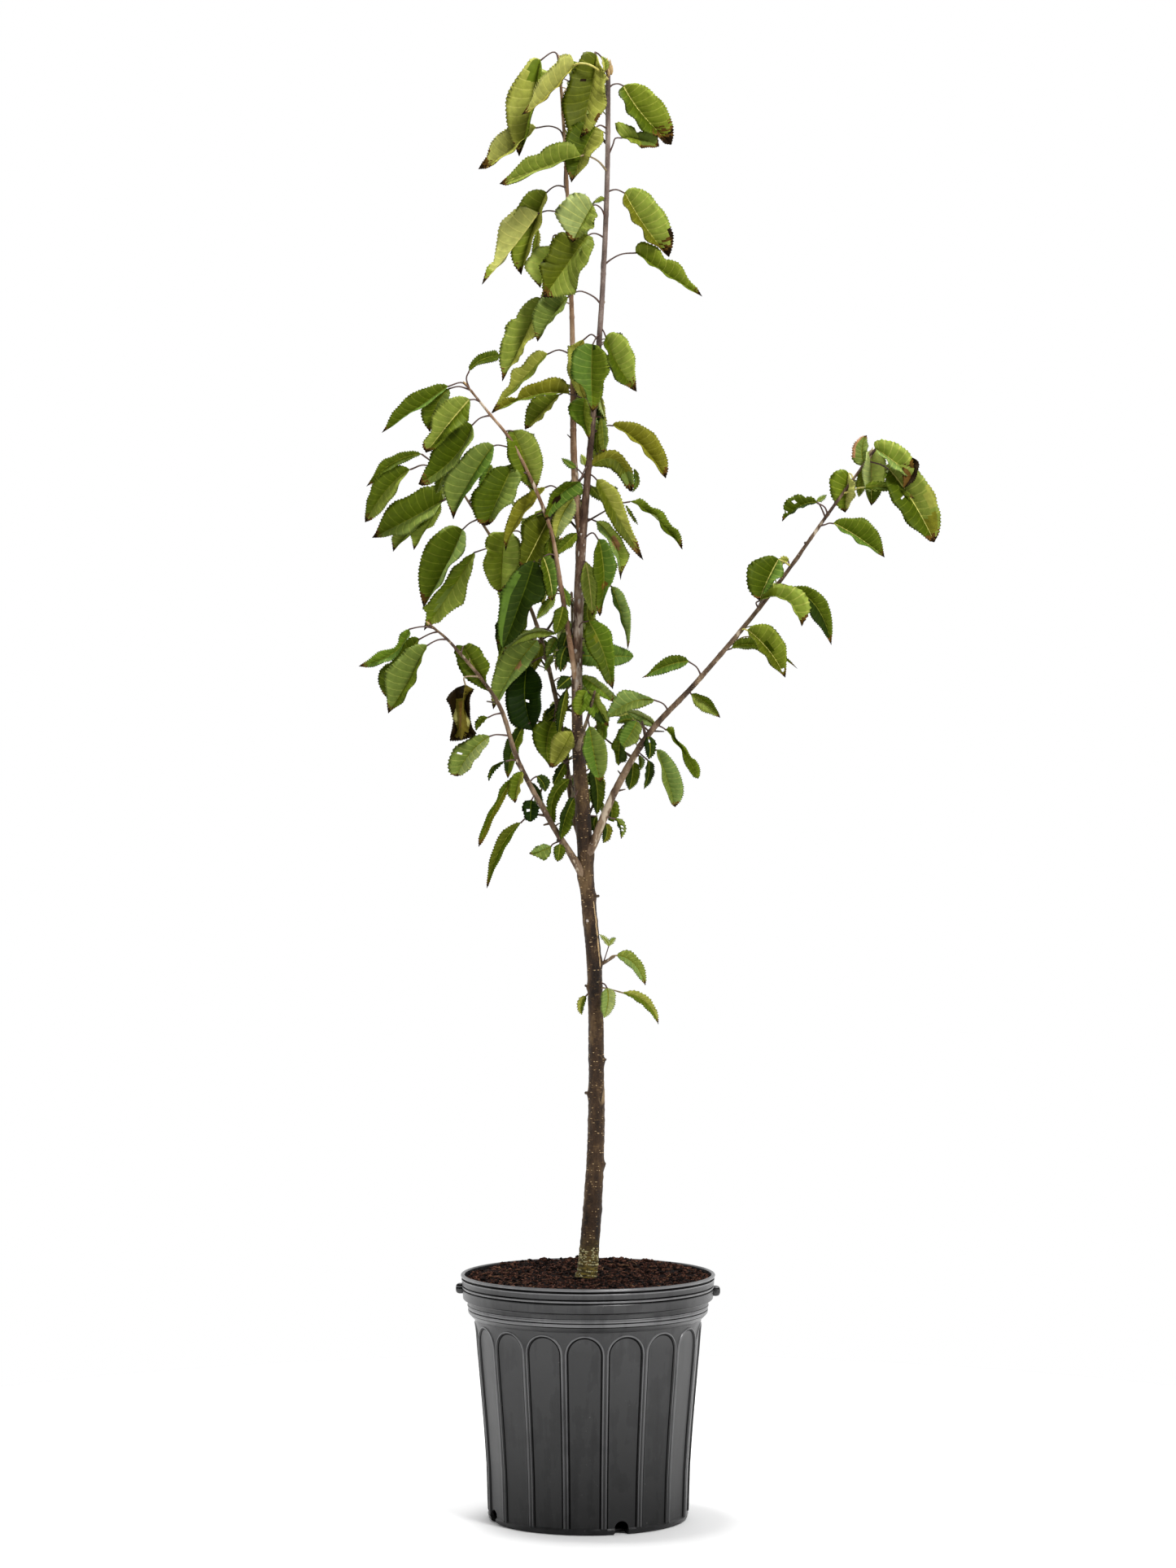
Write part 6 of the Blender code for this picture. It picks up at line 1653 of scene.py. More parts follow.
# ------------------------------------------------------------------------ bark
trunk = Limb("TR", 44, 0.10, 1.0, flute=0.10, rings=(
    (316.4, 0.25, 2.2), (340.0, 0.3, 1.5), (364.6, 0.9, 2.6), (404.0, 0.4, 2.0), (470.0, 0.5, 3.0),
    (541.0, 0.5, 3.0), (627.0, 0.4, 2.6), (705.0, 0.5, 3.0), (985.0, 0.6, 2.0), (1082.0, 0.5, 2.0),
    (1190.0, 0.35, 1.6), (1264.0, 0.4, 1.6), (1345.0, 0.35, 1.6), (1392.0, 0.4, 1.4),
    (1470.0, 0.4, 1.4), (1540.0, 0.4, 1.4), (1640.0, 0.4, 1.4)), knots=(
    (417.5, 0.0, 2.4, 5.0, 0.6), (405.0, -2.0, 1.5, 4.0, 0.5), (469.5, -1.4, 1.3, 5.0, 0.5),
    (540.0, 0.0, 1.6, 5.0, 0.6), (501.0, math.pi, 1.8, 5.0, 0.6), (627.6, math.pi, 1.5, 4.5, 0.6),
    (656.0, -0.2, 1.8, 6.0, 0.7), (704.7, -2.0, 1.2, 5.0, 0.5), (734.5, -0.1, 1.4, 6.0, 0.6),
    (760.0, math.pi, 2.2, 12.0, 0.7), (785.0, 0.0, 2.0, 12.0, 0.8), (1150.0, math.pi, 1.4, 12.0, 0.8)))
LIMB_LOOKS = {
    "LL": (18, 0.12, bark_leader), "BR": (18, 0.13, bark_bough), "BL": (18, 0.13, bark_bough),
    "BM": (16, 0.13, bark_bough), "BU": (16, 0.13, bark_leader), "BB": (12, 0.13, bark_young),
    "BF": (12, 0.13, bark_young), "TS": (12, 0.13, bark_young)}
limbs = {"TR": trunk}
for k, (key, (sides, rough, _)) in enumerate(LIMB_LOOKS.items()):
    length = ROUTES[SHORT[key]][0][-1][2]
    spots_at = [z for z in np.arange(ROUTES[SHORT[key]][0][0][2] + 22, length, 27.0)]
    limbs[key] = Limb(key, sides, rough, 2.0 + k, collar=0.30,
                      rings=[(z, 0.35, 1.5) for z in spots_at])
for key, limb in limbs.items():
    batch = Batch()
    limb.mesh(batch, 0)
    look = bark_old if key == "TR" else LIMB_LOOKS[key][2]
    finish_piece(batch.build(SHORT[key] + "_bark", [look]), "bark", SHORT[key])


def flake(batch, limb, place, turn, wide, tall, rise, slot, ragged, rng):
    """A low raised spot on a limb: lenticel, crust or lifted skin."""
    i = int(np.searchsorted(limb.run, place))
    i = max(1, min(i, len(limb.run) - 2))
    out = limb.one[i] * math.cos(turn) + limb.two[i] * math.sin(turn)
    across = -limb.one[i] * math.sin(turn) + limb.two[i] * math.cos(turn)
    up = limb.along[i]
    r = limb.radius(i, turn)
    centre = limb.places[i] + out * r
    count = 9
    rings = []
    wobble = [1 + rng.uniform(-ragged, ragged) for _ in range(count)]
    for share, lift in ((1.0, -0.25), (0.82, rise), (0.0, rise * 1.25)):
        if share == 0:
            rings.append([centre + out * lift])
            continue
        ring = []
        for k in range(count):
            a = 2 * math.pi * k / count
            x = math.cos(a) * wide / 2 * share * wobble[k]
            y = math.sin(a) * tall / 2 * share * wobble[k]
            ring.append(centre + across * x + up * y + out * (lift - x * x / (2 * r)))
        rings.append(ring)
    points = rings[0] + rings[1] + rings[2]
    faces = []
    for k in range(count):
        m = (k + 1) % count
        faces.append((k, m, count + m, count + k))
        faces.append((count + k, count + m, 2 * count, -1))
    batch.add(np.array(points) * MM, faces, [slot] * len(faces))


rng = random.Random(7)
spots = Batch()
for _ in range(560):
    place = rng.uniform(8, 720)
    i = int(np.searchsorted(trunk.run, place))
    flake(spots, trunk, place, rng.uniform(0, 6.28), rng.uniform(1.2, 3.6), rng.uniform(0.6, 1.2),
          rng.uniform(0.12, 0.3), 0, 0.15, rng)
for _ in range(240):
    flake(spots, trunk, rng.uniform(6, 44), rng.uniform(0, 6.28), rng.uniform(1.2, 3.6),
          rng.uniform(0.9, 2.4), rng.uniform(0.15, 0.4), 1, 0.4, rng)
for _ in range(60):
    flake(spots, trunk, rng.uniform(690, 900), rng.uniform(0, 6.28), rng.uniform(1.5, 4.2),
          rng.uniform(3.0, 9.0), rng.uniform(0.05, 0.16), 2, 0.45, rng)
# A pale tan streak of long lenticel-coloured flakes down the trunk's right front: partly a scar and partly a painted
# highlight.
for k in range(9):
    flake(spots, trunk, 382.0 + 8.4 * k, -0.82 + 0.03 * math.sin(2.2 * k), 2.3 - 0.5 * abs(k - 4) / 4,
          12.5, 0.30, 0, 0.10, rng)
flake(spots, trunk, 431.0, -1.97, 3.8, 3.2, 0.5, 2, 0.35, rng)
for key, count in (("BR", 170), ("BL", 90), ("BM", 90), ("BU", 80), ("LL", 90), ("BB", 40),
                   ("BF", 16)):
    limb = limbs[key]
    for _ in range(count):
        place = rng.uniform(6, limb.run[-1] - 4)
        r = limb.radii[int(np.searchsorted(limb.run, place)) - 1]
        flake(spots, limb, place, rng.uniform(0, 6.28), min(r * 0.7, rng.uniform(0.7, 1.5)),
              rng.uniform(0.5, 1.3), rng.uniform(0.08, 0.2), rng.choice((0, 0, 2)), 0.2, rng)
finish_piece(spots.build("bark_spots", [lenticel, crust, silver_skin]), "bark")

# ------------------------------------------------------------- foliage pieces
leaf_materials = leaf_palette()
stood_for = {name: [name] for name in FOLIAGE}
for name in MASS_BOXES:
    if name not in FOLIAGE:
        closest = min(FOLIAGE, key=lambda other: float(
            np.linalg.norm(MASS_BOXES[other][0] - MASS_BOXES[name][0])))
        stood_for[closest].append(name)
        print("stood for by", closest, name)
for name, batch in sorted(FOLIAGE.items()):
    made = batch.build("leaves_" + name.replace("foliage_", ""), leaf_materials)
    finish_piece(made, "leaf", *stood_for[name])
    print(made.name, batch.triangles())
finish_piece(petioles.build("stalks_and_twigs", stalk_materials), "bark")

# ------------------------------------------------------------------------- pot
POT_BODY = [(118.5, 6.0), (120.3, 62.0), (123.6, 110.0), (128.0, 160.0), (132.0, 206.0),
            (133.6, 233.0), (134.3, 236.5)]
PANELS = 17
PANEL_ANGLE = 2 * math.pi / PANELS
FRONT_PANEL = math.radians(-91.7)
PANEL_SHARE = 0.446       # half of a panel's width, as a share of its pitch
ARCH_CROWN = 232.0
PANEL_TOP = 236.5


def body_radius(z):
    return float(np.interp(z, [p[1] for p in POT_BODY], [p[0] for p in POT_BODY]))


class Welded:
    """Points kept once each, in millimetres."""

    def __init__(self):
        self.known, self.points, self.faces = {}, [], []

    def point(self, x, y, z):
        key = (round(x, 2), round(y, 2), round(z, 2))
        if key not in self.known:
            self.known[key] = len(self.points)
            self.points.append((x, y, z))
        return self.known[key]

    def face(self, *corners):
        clean = [c for k, c in enumerate(corners) if c not in corners[:k]]
        if len(clean) >= 3:
            self.faces.append(tuple(clean))


def panel_point(shell, centre, x, z, depth, at_edge=0):
    radius = body_radius(z)
    turn = centre + (at_edge * PANEL_ANGLE / 2 if at_edge else x / radius)
    r = radius + depth
    return shell.point(r * math.cos(turn), r * math.sin(turn), z)


def pot_shell():
    shell = Welded()
    low = 6.0
    spring_width = PANEL_SHARE * body_radius(210) * PANEL_ANGLE
    spring = ARCH_CROWN - spring_width
    levels = [low, low + 2.0] + list(np.linspace(low + 14.0, spring, 15))
    profile = [(-15.0, -2.2), (-7.0, -1.7), (-2.8, -1.25), (-1.3, -0.8), (-0.6, 0.95),
               (0.55, 1.05), (1.4, 0.0)]
    feet = []
    for k in range(PANELS):
        centre = FRONT_PANEL + k * PANEL_ANGLE
        rays = []
        for side in (-1, 1):
            made = []
            for z in levels:
                half = PANEL_SHARE * body_radius(z) * PANEL_ANGLE
                fade = min(1.0, (z - low) / 2.0)
                ray = [panel_point(shell, centre, 0.0, z, -2.4 * fade)]
                ray += [panel_point(shell, centre, side * (half + e), z, d * fade)
                        for e, d in profile]
                ray.append(panel_point(shell, centre, 0, z, 0.0, side))
                made.append(ray)
            rays.append(made)
        left, right = rays
        edge_steps, top_steps = 5, 16
        pitch = lambda z: body_radius(z) * PANEL_ANGLE / 2
        outer = []
        for j in range(1, edge_steps + 1):
            z = spring + (PANEL_TOP - spring) * j / edge_steps
            outer.append((-pitch(z), z, -1))
        for j in range(1, top_steps):
            outer.append((pitch(PANEL_TOP) * (2 * j / top_steps - 1), PANEL_TOP, 0))
        for j in range(edge_steps, 0, -1):
            z = spring + (PANEL_TOP - spring) * j / edge_steps
            outer.append((pitch(z), z, 1))
        arch_rays = []
        for x, z, side in outer:
            turn = math.atan2(z - spring, x)
            ray = [left[-1][0]]
            for e, d in profile:
                r = spring_width + e
                ray.append(panel_point(shell, centre, r * math.cos(turn),
                                       spring + r * math.sin(turn), d))
            ray.append(panel_point(shell, centre, x, z, 0.0, side))
            arch_rays.append(ray)
        chain = [left[-1]] + arch_rays + [right[-1]]
        for one, two in zip(left, left[1:]):
            for a in range(len(one) - 1):
                shell.face(one[a], two[a], two[a + 1], one[a + 1])
        for one, two in zip(right, right[1:]):
            for a in range(len(one) - 1):
                shell.face(one[a], one[a + 1], two[a + 1], two[a])
        for one, two in zip(chain, chain[1:]):
            for a in range(len(one) - 1):
                shell.face(one[a], two[a], two[a + 1], one[a + 1])
        feet.append([left[0][j] for j in range(len(left[0]) - 1, 0, -1)] + [right[0][0]]
                    + [right[0][j] for j in range(1, len(right[0]))])
    # heel, underside
    ring = []
    for foot in feet:
        ring += foot[:-1]
    last = ring
    for radius, z in ((117.4, 2.2), (114.6, 0.25), (112.5, 0.0), (108.0, 0.0), (106.5, 1.2)):
        nextring = []
        for index in ring:
            x, y, _ = shell.points[index]
            far = math.hypot(x, y)
            nextring.append(shell.point(x / far * radius, y / far * radius, z))
        for a in range(len(last)):
            b = (a + 1) % len(last)
            shell.face(last[a], last[b], nextring[b], nextring[a])
        last = nextring
    middle = shell.point(0, 0, 1.2)
    for a in range(len(last)):
        shell.face(last[a], last[(a + 1) % len(last)], middle)
    # rim, lip and the inside
    rim = [(134.3, 236.5), (136.6, 238.4), (140.6, 242.6), (141.6, 243.8), (141.9, 245.0),
           (141.9, 247.2), (141.2, 247.5), (141.2, 248.2), (141.9, 248.5), (142.0, 250.8), (142.7, 251.4), (142.7, 252.6), (142.2, 253.2), (142.4, 257.4),
           (143.2, 258.4), (146.9, 259.4), (147.9, 260.4), (148.3, 268.6), (148.6, 269.6),
           (148.1, 270.5), (146.8, 270.9), (146.8, 271.9), (148.6, 272.4), (148.9, 273.6),
           (148.5, 274.5), (147.0, 274.9), (146.9, 276.0), (149.1, 276.5), (149.5, 281.6),
           (149.9, 282.6), (149.6, 283.2), (147.4, 283.6), (147.3, 285.3), (150.1, 285.8),
           (150.6, 287.2), (149.9, 288.4), (148.4, 289.0), (146.9, 288.7), (146.1, 287.6),
           (145.9, 284.0), (145.8, 262.0), (139.2, 255.0), (138.4, 246.0), (131.0, 236.0),
           (129.2, 206.0), (125.2, 160.0), (120.8, 110.0), (117.5, 62.0), (115.6, 10.0),
           (111.4, 4.0), (60.0, 4.0)]
    turns = []
    for k in range(PANELS):
        centre = FRONT_PANEL + k * PANEL_ANGLE
        half = body_radius(PANEL_TOP) * PANEL_ANGLE / 2
        for j in range(16):
            turns.append(centre + (half * (2 * j / 16 - 1)) / body_radius(PANEL_TOP))
    last = [shell.point(rim[0][0] * math.cos(t), rim[0][0] * math.sin(t), rim[0][1]) for t in turns]
    for radius, z in rim[1:]:
        nextring = [shell.point(radius * math.cos(t), radius * math.sin(t), z) for t in turns]
        for a in range(len(last)):
            b = (a + 1) % len(last)
            shell.face(last[a], nextring[a], nextring[b], last[b])
        last = nextring
    middle = shell.point(0, 0, 4.0)
    for a in range(len(last)):
        shell.face(last[a], middle, last[(a + 1) % len(last)])
    return shell


shell = pot_shell()
bm = bmesh.new()
verts = [bm.verts.new((x * MM, y * MM, z * MM)) for x, y, z in shell.points]
for corners in shell.faces:
    try:
        bm.faces.new([verts[c] for c in corners])
    except ValueError:
        pass
bmesh.ops.recalc_face_normals(bm, faces=bm.faces[:])
loose = [e for e in bm.edges if len(e.link_faces) != 2]
print("pot faces", len(bm.faces), "open edges", len(loose))


def add_lug(bm, middle, reach, turn):
    """A rounded lug moulded on the rim."""
    for v in bmesh.ops.create_uvsphere(bm, u_segments=24, v_segments=16, radius=1.0)["verts"]:
        x, y, z = (m + r * math.copysign(abs(c) ** 0.7, c) for m, r, c in zip(middle, reach, v.co))
        v.co = Vector((x * math.cos(turn) - y * math.sin(turn),
                       x * math.sin(turn) + y * math.cos(turn), z)) * MM


for turn, high in ((0.0, 268.0), (math.pi, 271.0)):
    add_lug(bm, (150.4, 0.0, high), (6.2, 6.6, 6.2), turn)
mesh = bpy.data.meshes.new("nursery_pot")
bm.to_mesh(mesh)
bm.free()
pot = bpy.data.objects.new("nursery_pot", mesh)
bpy.context.scene.collection.objects.link(pot)


def notch_cutter(turn):
    bm = bmesh.new()
    half, high = 8.5, 16.0
    outline = [(-half, -3.0), (half, -3.0)]
    for k in range(17):
        a = math.pi * k / 16
        outline.append((half * math.cos(a), high - half + half * math.sin(a)))
    ends = []
    for depth in (100.0, 126.0):
        ends.append([bm.verts.new(Vector((depth * math.cos(turn) - y * math.sin(turn),
                                          depth * math.sin(turn) + y * math.cos(turn), z)) * MM)
                     for y, z in outline])
    bm.faces.new(ends[0][::-1])
    bm.faces.new(ends[1])
    for k in range(len(outline)):
        n = (k + 1) % len(outline)
        bm.faces.new((ends[0][k], ends[0][n], ends[1][n], ends[1][k]))
    bmesh.ops.recalc_face_normals(bm, faces=bm.faces[:])
    mesh = bpy.data.meshes.new("notch")
    bm.to_mesh(mesh)
    bm.free()
    obj = bpy.data.objects.new("notch", mesh)
    bpy.context.scene.collection.objects.link(obj)
    return obj


cutters = [notch_cutter(math.radians(-70.5 + 90 * k)) for k in range(4)]
for cutter in cutters:
    cut = pot.modifiers.new("notch", "BOOLEAN")
    cut.operation, cut.solver, cut.object = "DIFFERENCE", "EXACT", cutter
bpy.context.view_layer.update()
graph = bpy.context.evaluated_depsgraph_get()
finished = bpy.data.meshes.new_from_object(pot.evaluated_get(graph))
pot.modifiers.clear()
pot.data = finished
for cutter in cutters:
    bpy.data.objects.remove(cutter, do_unlink=True)
pot.data.shade_smooth()
pot.data.set_sharp_from_angle(angle=math.radians(28))


def pot_material(name, stops, shine):
    """Moulded plastic, less glossy towards the foot and darker there with painted shade."""
    mat, tree, shader = new_material(name)
    at = coordinates(tree)
    heights = node(tree, "ShaderNodeSeparateXYZ")
    tree.links.new(at, heights.inputs["Vector"])
    foot_shade_ramp = node(tree, "ShaderNodeMapRange")
    foot_shade_ramp.inputs["From Min"].default_value = 0.03
    foot_shade_ramp.inputs["From Max"].default_value = 0.25
    tree.links.new(heights.outputs["Z"], foot_shade_ramp.inputs["Value"])
    cloud = noise_node(tree, at, 22.0, 5.0, 0.6)
    streak = noise_node(tree, at, 60.0, 4.0, 0.6, (1.0, 1.0, 0.12))
    grain = noise_node(tree, at, 1400.0, 2.0, 0.5)
    scuff = noise_node(tree, at, 240.0, 6.0, 0.75)
    both = node(tree, "ShaderNodeMath", operation="ADD")
    tree.links.new(cloud.outputs["Fac"], both.inputs[0])
    tree.links.new(streak.outputs["Fac"], both.inputs[1])
    tone = spread(tree, both.outputs["Value"], 0.0, 0.5)
    base = ramp(tree, tone, [(p, linear(c)) for p, c in zip((0.34, 0.48, 0.66), stops)])
    # a darker copy of the colours, blended in towards the foot: painted shade
    foot_shade_tone = ramp(tree, tone, [(p, [q * 0.42 for q in linear(c)])
                             for p, c in zip((0.34, 0.48, 0.66), stops)])
    mask = ramp(tree, scuff.outputs["Fac"], [(0.66, (0, 0, 0)), (0.74, (1, 1, 1))])
    graded = blend_colours(tree, foot_shade_ramp.outputs["Result"], foot_shade_tone.outputs["Color"], base.outputs["Color"])
    colour = blend_colours(tree, spread(tree, mask.outputs["Color"], 0.0, 0.55),
                           graded, linear((132, 130, 126)))
    tree.links.new(colour, shader.inputs["Base Color"])
    tree.links.new(spread(tree, cloud.outputs["Fac"], 0.24, 0.44), shader.inputs["Roughness"])
    tree.links.new(spread(tree, foot_shade_ramp.outputs["Result"], 0.24 * shine, 0.62 * shine),
                   shader.inputs["Specular IOR Level"])
    bump(tree, shader, grain.outputs["Fac"], 0.0003, 0.35)
    return mat


pot.data.materials.clear()
# The second colour set is a lighter, glossier copy of the plastic that paints highlights on beads and ridges; the third
# is a near-black, dull copy that paints shade in grooves.
for name, stops, shine in (("pot_plastic", ((16, 16, 17), (33, 33, 34), (78, 78, 78)), 0.96),
                           ("pot_painted_highlight", ((66, 66, 67), (96, 96, 97), (132, 132, 132)), 1.2),
                           ("pot_groove", ((3, 3, 3), (6, 6, 6), (12, 12, 12)), 0.12)):
    pot.data.materials.append(pot_material(name, stops, shine))
# Heights in mm, with the least radius, of rim ridges that get the painted highlight colour and of rim grooves that get
# the painted shade colour.
RIDGES_PAINTED_LIGHT = ((286.0, 288.4, 147.2), (281.9, 283.2, 148.0), (272.4, 274.3, 147.4), (251.6, 252.6, 142.0),
          (244.0, 247.2, 141.0), (249.0, 250.2, 141.0))
GROOVES_PAINTED_SHADE = ((283.3, 285.7, 146.6), (274.6, 276.4, 146.6), (270.6, 272.2, 146.6), (259.5, 260.3, 145.0),
           (250.9, 251.3, 142.0), (252.8, 253.3, 142.0), (243.0, 243.4, 139.0), (247.3, 248.4, 141.0))
for face in pot.data.polygons:
    x, y, z = (c / MM for c in face.center)
    far = math.hypot(x, y)
    if z < 236.0 and far > body_radius(z) - 3.0:
        if z < 10.0:
            continue
        # Bead crests on the panels get the painted highlight colour, the hollows beside them the painted shade colour.
        lip = far - body_radius(z)
        if lip > 0.35:
            face.material_index = 1
        elif -1.3 < lip < -0.9 and z > 9.0:
            face.material_index = 2
    elif any(a < z < b and far > r for a, b, r in RIDGES_PAINTED_LIGHT):
        face.material_index = 1
    elif any(a < z < b and far > r for a, b, r in GROOVES_PAINTED_SHADE):
        face.material_index = 2
finish_piece(pot, "pot_plastic", "pot")

# ------------------------------------------------------------------------ soil
def soil_height(x, y):
    """Height of the potting mix in mm."""
    r = math.hypot(x, y)
    back = max(0.0, y / max(r, 1.0)) ** 0.8 * math.exp(-((r - 128.0) / 34.0) ** 2)
    return (283.0 + 1.6 * noise.noise((x / 26, y / 26, 1.0)) + 1.3 * noise.noise((x / 7, y / 7, 2.0))
            + 0.8 * noise.noise((x / 2.6, y / 2.6, 3.0)) + 1.6 * math.exp(-(r / 26.0) ** 2)
            + 7.0 * back - 3.0 * max(0.0, (r - 136.0) / 10.0) ** 2)


soil = Batch()
rings, spokes = 70, 200
points, faces = [], []
for j in range(rings):
    r = 145.4 * ((j + 1) / rings)
    for k in range(spokes):
        a = 2 * math.pi * k / spokes
        x, y = r * math.cos(a), r * math.sin(a)
        points.append((x, y, soil_height(x, y) if j < rings - 1 else 277.0))
for k in range(spokes):
    a = 2 * math.pi * k / spokes
    points.append((145.2 * math.cos(a), 145.2 * math.sin(a), 263.0))
top_middle = len(points)
points.append((0.0, 0.0, soil_height(0, 0)))
points.append((0.0, 0.0, 263.0))
for j in range(rings):
    for k in range(spokes):
        m = (k + 1) % spokes
        faces.append((j * spokes + k, (j + 1) * spokes + k, (j + 1) * spokes + m, j * spokes + m))
for k in range(spokes):
    m = (k + 1) % spokes
    faces.append((top_middle, k, m, -1))
    faces.append((top_middle + 1, rings * spokes + m, rings * spokes + k, -1))
soil.add(np.array(points) * MM, faces, [0] * len(faces))


def soil_material(name, stops, rough=0.9):
    mat, tree, shader = new_material(name)
    at = coordinates(tree)
    clump = noise_node(tree, at, 260.0, 6.0, 0.7)
    fine = noise_node(tree, at, 1100.0, 4.0, 0.7)
    tint = ramp(tree, clump.outputs["Fac"], [(p, linear(c)) for p, c in stops])
    tree.links.new(tint.outputs["Color"], shader.inputs["Base Color"])
    tree.links.new(spread(tree, fine.outputs["Fac"], rough - 0.12, 1.0), shader.inputs["Roughness"])
    shader.inputs["Specular IOR Level"].default_value = 0.06
    bump(tree, shader, fine.outputs["Fac"], 0.0012, 0.9)
    return mat


# The mix's ground colour is nearly black: partly the peat's own dark colour and partly painted shade for the gaps
# between the crumbs.
soil_looks = [
    soil_material("potting_mix", [(0.34, (6, 3, 2)), (0.50, (16, 8, 6)), (0.66, (36, 20, 15))]),
    soil_material("soil_crumb", [(0.36, (22, 12, 9)), (0.50, (62, 37, 29)), (0.64, (120, 84, 68))]),
    soil_material("bark_chip", [(0.34, (44, 26, 18)), (0.50, (78, 50, 36)), (0.66, (112, 82, 60))]),
    soil_material("straw", [(0.34, (72, 48, 32)), (0.50, (112, 82, 58)), (0.66, (146, 114, 84))]),
]
finish_piece(soil.build("potting_mix", soil_looks), "potting_mix", "soil")

ball = bmesh.new()
bmesh.ops.create_icosphere(ball, subdivisions=1, radius=1.0)
BALL_POINTS = np.array([v.co[:] for v in ball.verts])
BALL_FACES = [tuple(v.index for v in f.verts) + (-1,) for f in ball.faces]
ball.free()
rng = random.Random(31)
crumbs = Batch()


def scatter(limit):
    while True:
        x, y = rng.uniform(-limit, limit), rng.uniform(-limit, limit)
        if 17.0 < math.hypot(x, y) < limit:
            return x, y


for k in range(4200):
    x, y = scatter(143.0)
    size = rng.choice((0.9, 1.2, 1.5, 2.0, 2.7)) * rng.uniform(0.7, 1.2)
    flat = rng.uniform(0.45, 0.9)
    chip = rng.random() < 0.05
    stretch = np.array([rng.uniform(0.7, 1.3), rng.uniform(0.7, 1.3), flat])
    if chip:
        stretch = np.array([rng.uniform(1.6, 2.6), rng.uniform(0.7, 1.1), 0.4])
    turn = rng.uniform(0, 6.28)
    lumps = np.array([1 + 0.32 * noise.noise((p[0] * 1.7 + k, p[1] * 1.7, p[2] * 1.7))
                      for p in BALL_POINTS])
    p = BALL_POINTS * lumps[:, None] * stretch * size
    p = np.stack([p[:, 0] * math.cos(turn) - p[:, 1] * math.sin(turn),
                  p[:, 0] * math.sin(turn) + p[:, 1] * math.cos(turn), p[:, 2]], 1)
    p += np.array([x, y, soil_height(x, y) + size * flat * 0.25])
    crumbs.add(p * MM, BALL_FACES, [2 if chip else (1 if rng.random() < 0.6 else 0)] * len(BALL_FACES))
finish_piece(crumbs.build("soil_crumbs", soil_looks, smooth=False), "potting_mix")

straw = Batch()
for k in range(34):
    x, y = scatter(138.0)
    turn = rng.uniform(0, 6.28)
    long = rng.uniform(5, 22)
    line = []
    bend = rng.uniform(-0.5, 0.5)
    for s in np.linspace(-0.5, 0.5, 6):
        a = turn + bend * s * 2
        px, py = x + math.cos(a) * long * s, y + math.sin(a) * long * s
        far = math.hypot(px, py)
        if far > 143:
            px, py = px * 143 / far, py * 143 / far
        line.append((px, py, soil_height(px, py) + 0.7 + rng.uniform(0, 0.5)))
    tube(straw, np.array(line) * MM, [rng.uniform(0.0003, 0.0007)], 5, 3 if rng.random() < .6 else 2,
         world=True)
finish_piece(straw.build("straw_fibres", soil_looks), "potting_mix")

# ----------------------------------------------------------------- the setting
bm = bmesh.new()
bmesh.ops.create_circle(bm, cap_ends=True, cap_tris=True, segments=96, radius=1.3)
mesh = bpy.data.meshes.new("studio_floor")
bm.to_mesh(mesh)
bm.free()
floor = bpy.data.objects.new("studio_floor", mesh)
bpy.context.scene.collection.objects.link(floor)
mat, tree, shader = new_material("studio_floor")
at = coordinates(tree)
soft = noise_node(tree, at, 3.0, 2.0)
tint = ramp(tree, soft.outputs["Fac"], [(0.3, (0.93, 0.93, 0.93)), (0.7, (0.95, 0.95, 0.95))])
tree.links.new(tint.outputs["Color"], shader.inputs["Base Color"])
tree.links.new(spread(tree, soft.outputs["Fac"], 0.7, 0.85), shader.inputs["Roughness"])
bump(tree, shader, soft.outputs["Fac"], 0.0005, 0.1)
floor.data.materials.append(mat)

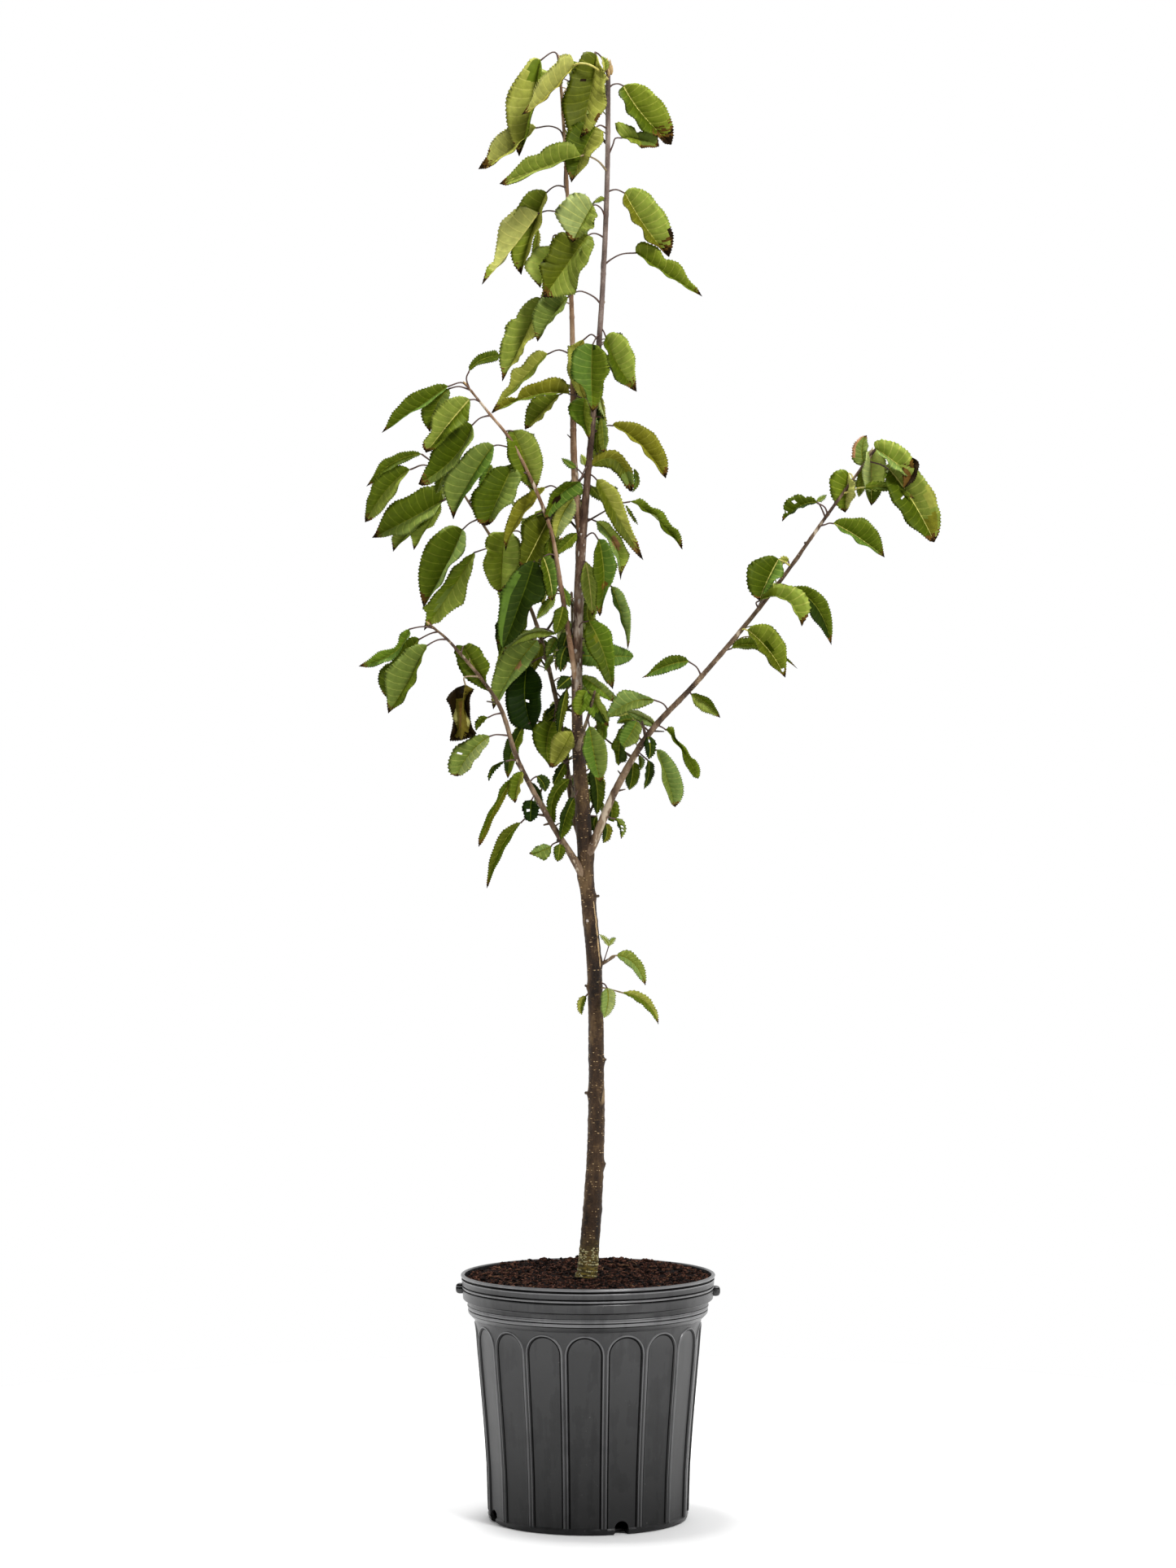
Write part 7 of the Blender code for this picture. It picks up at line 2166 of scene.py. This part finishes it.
world = bpy.data.worlds.new("studio")
bpy.context.scene.world = world
world.use_nodes = True
tree = world.node_tree
sky = tree.nodes["Background"]
way = node(tree, "ShaderNodeTexCoord").outputs["Generated"]
parts = node(tree, "ShaderNodeSeparateXYZ")
tree.links.new(way, parts.inputs["Vector"])
depth = node(tree, "ShaderNodeMapRange")
depth.inputs["From Min"].default_value = -1.0
depth.inputs["From Max"].default_value = 1.0
tree.links.new(parts.outputs["Y"], depth.inputs["Value"])
glow = ramp(tree, depth.outputs["Result"], [(0.0, (0.36,) * 3), (0.40, (0.36,) * 3),
                                            (0.53, (0.58,) * 3), (0.66, (1.20,) * 3)])
tree.links.new(glow.outputs["Color"], sky.inputs["Color"])
sky.inputs["Strength"].default_value = 1.0
plain = node(tree, "ShaderNodeBackground")
plain.inputs["Color"].default_value = (1.0, 1.0, 1.0, 1.0)
rays = node(tree, "ShaderNodeLightPath")
both = node(tree, "ShaderNodeMixShader")
tree.links.new(rays.outputs["Is Camera Ray"], both.inputs[0])
tree.links.new(sky.outputs[0], both.inputs[1])
tree.links.new(plain.outputs[0], both.inputs[2])
tree.links.new(both.outputs[0], tree.nodes["World Output"].inputs["Surface"])


def area_light(name, place, aim, size, power, colour=(1, 1, 1)):
    data = bpy.data.lights.new(name, "AREA")
    data.shape, data.size, data.energy, data.color = "DISK", size, power, colour
    obj = bpy.data.objects.new(name, data)
    obj.location = place
    obj.rotation_euler = (Vector(aim) - Vector(place)).to_track_quat("-Z", "Y").to_euler()
    bpy.context.scene.collection.objects.link(obj)


area_light("key", (1.3, -1.9, 3.1), (0, 0, 1.3), 0.8, 66.0)
area_light("overhead", (-0.35, 0.25, 4.2), (0, 0, 0), 0.9, 96.0)

area_light("low_left", (-1.35, -1.45, 0.28), (0, 0, 0.15), 0.42, 3.6)
area_light("low_right", (1.40, -1.30, 0.28), (0, 0, 0.15), 0.42, 4.4)

camera = bpy.data.cameras.new("camera")
camera.sensor_width = 36.0
camera.lens = FOCAL * 36.0 / HIGH
eye = bpy.data.objects.new("camera", camera)
eye.location = (0.0, -EYE_BACK, EYE_HIGH)
eye.rotation_euler = (math.radians(90), 0.0, 0.0)
bpy.context.scene.collection.objects.link(eye)
bpy.context.scene.camera = eye
bpy.context.scene.view_settings.view_transform = "Standard"
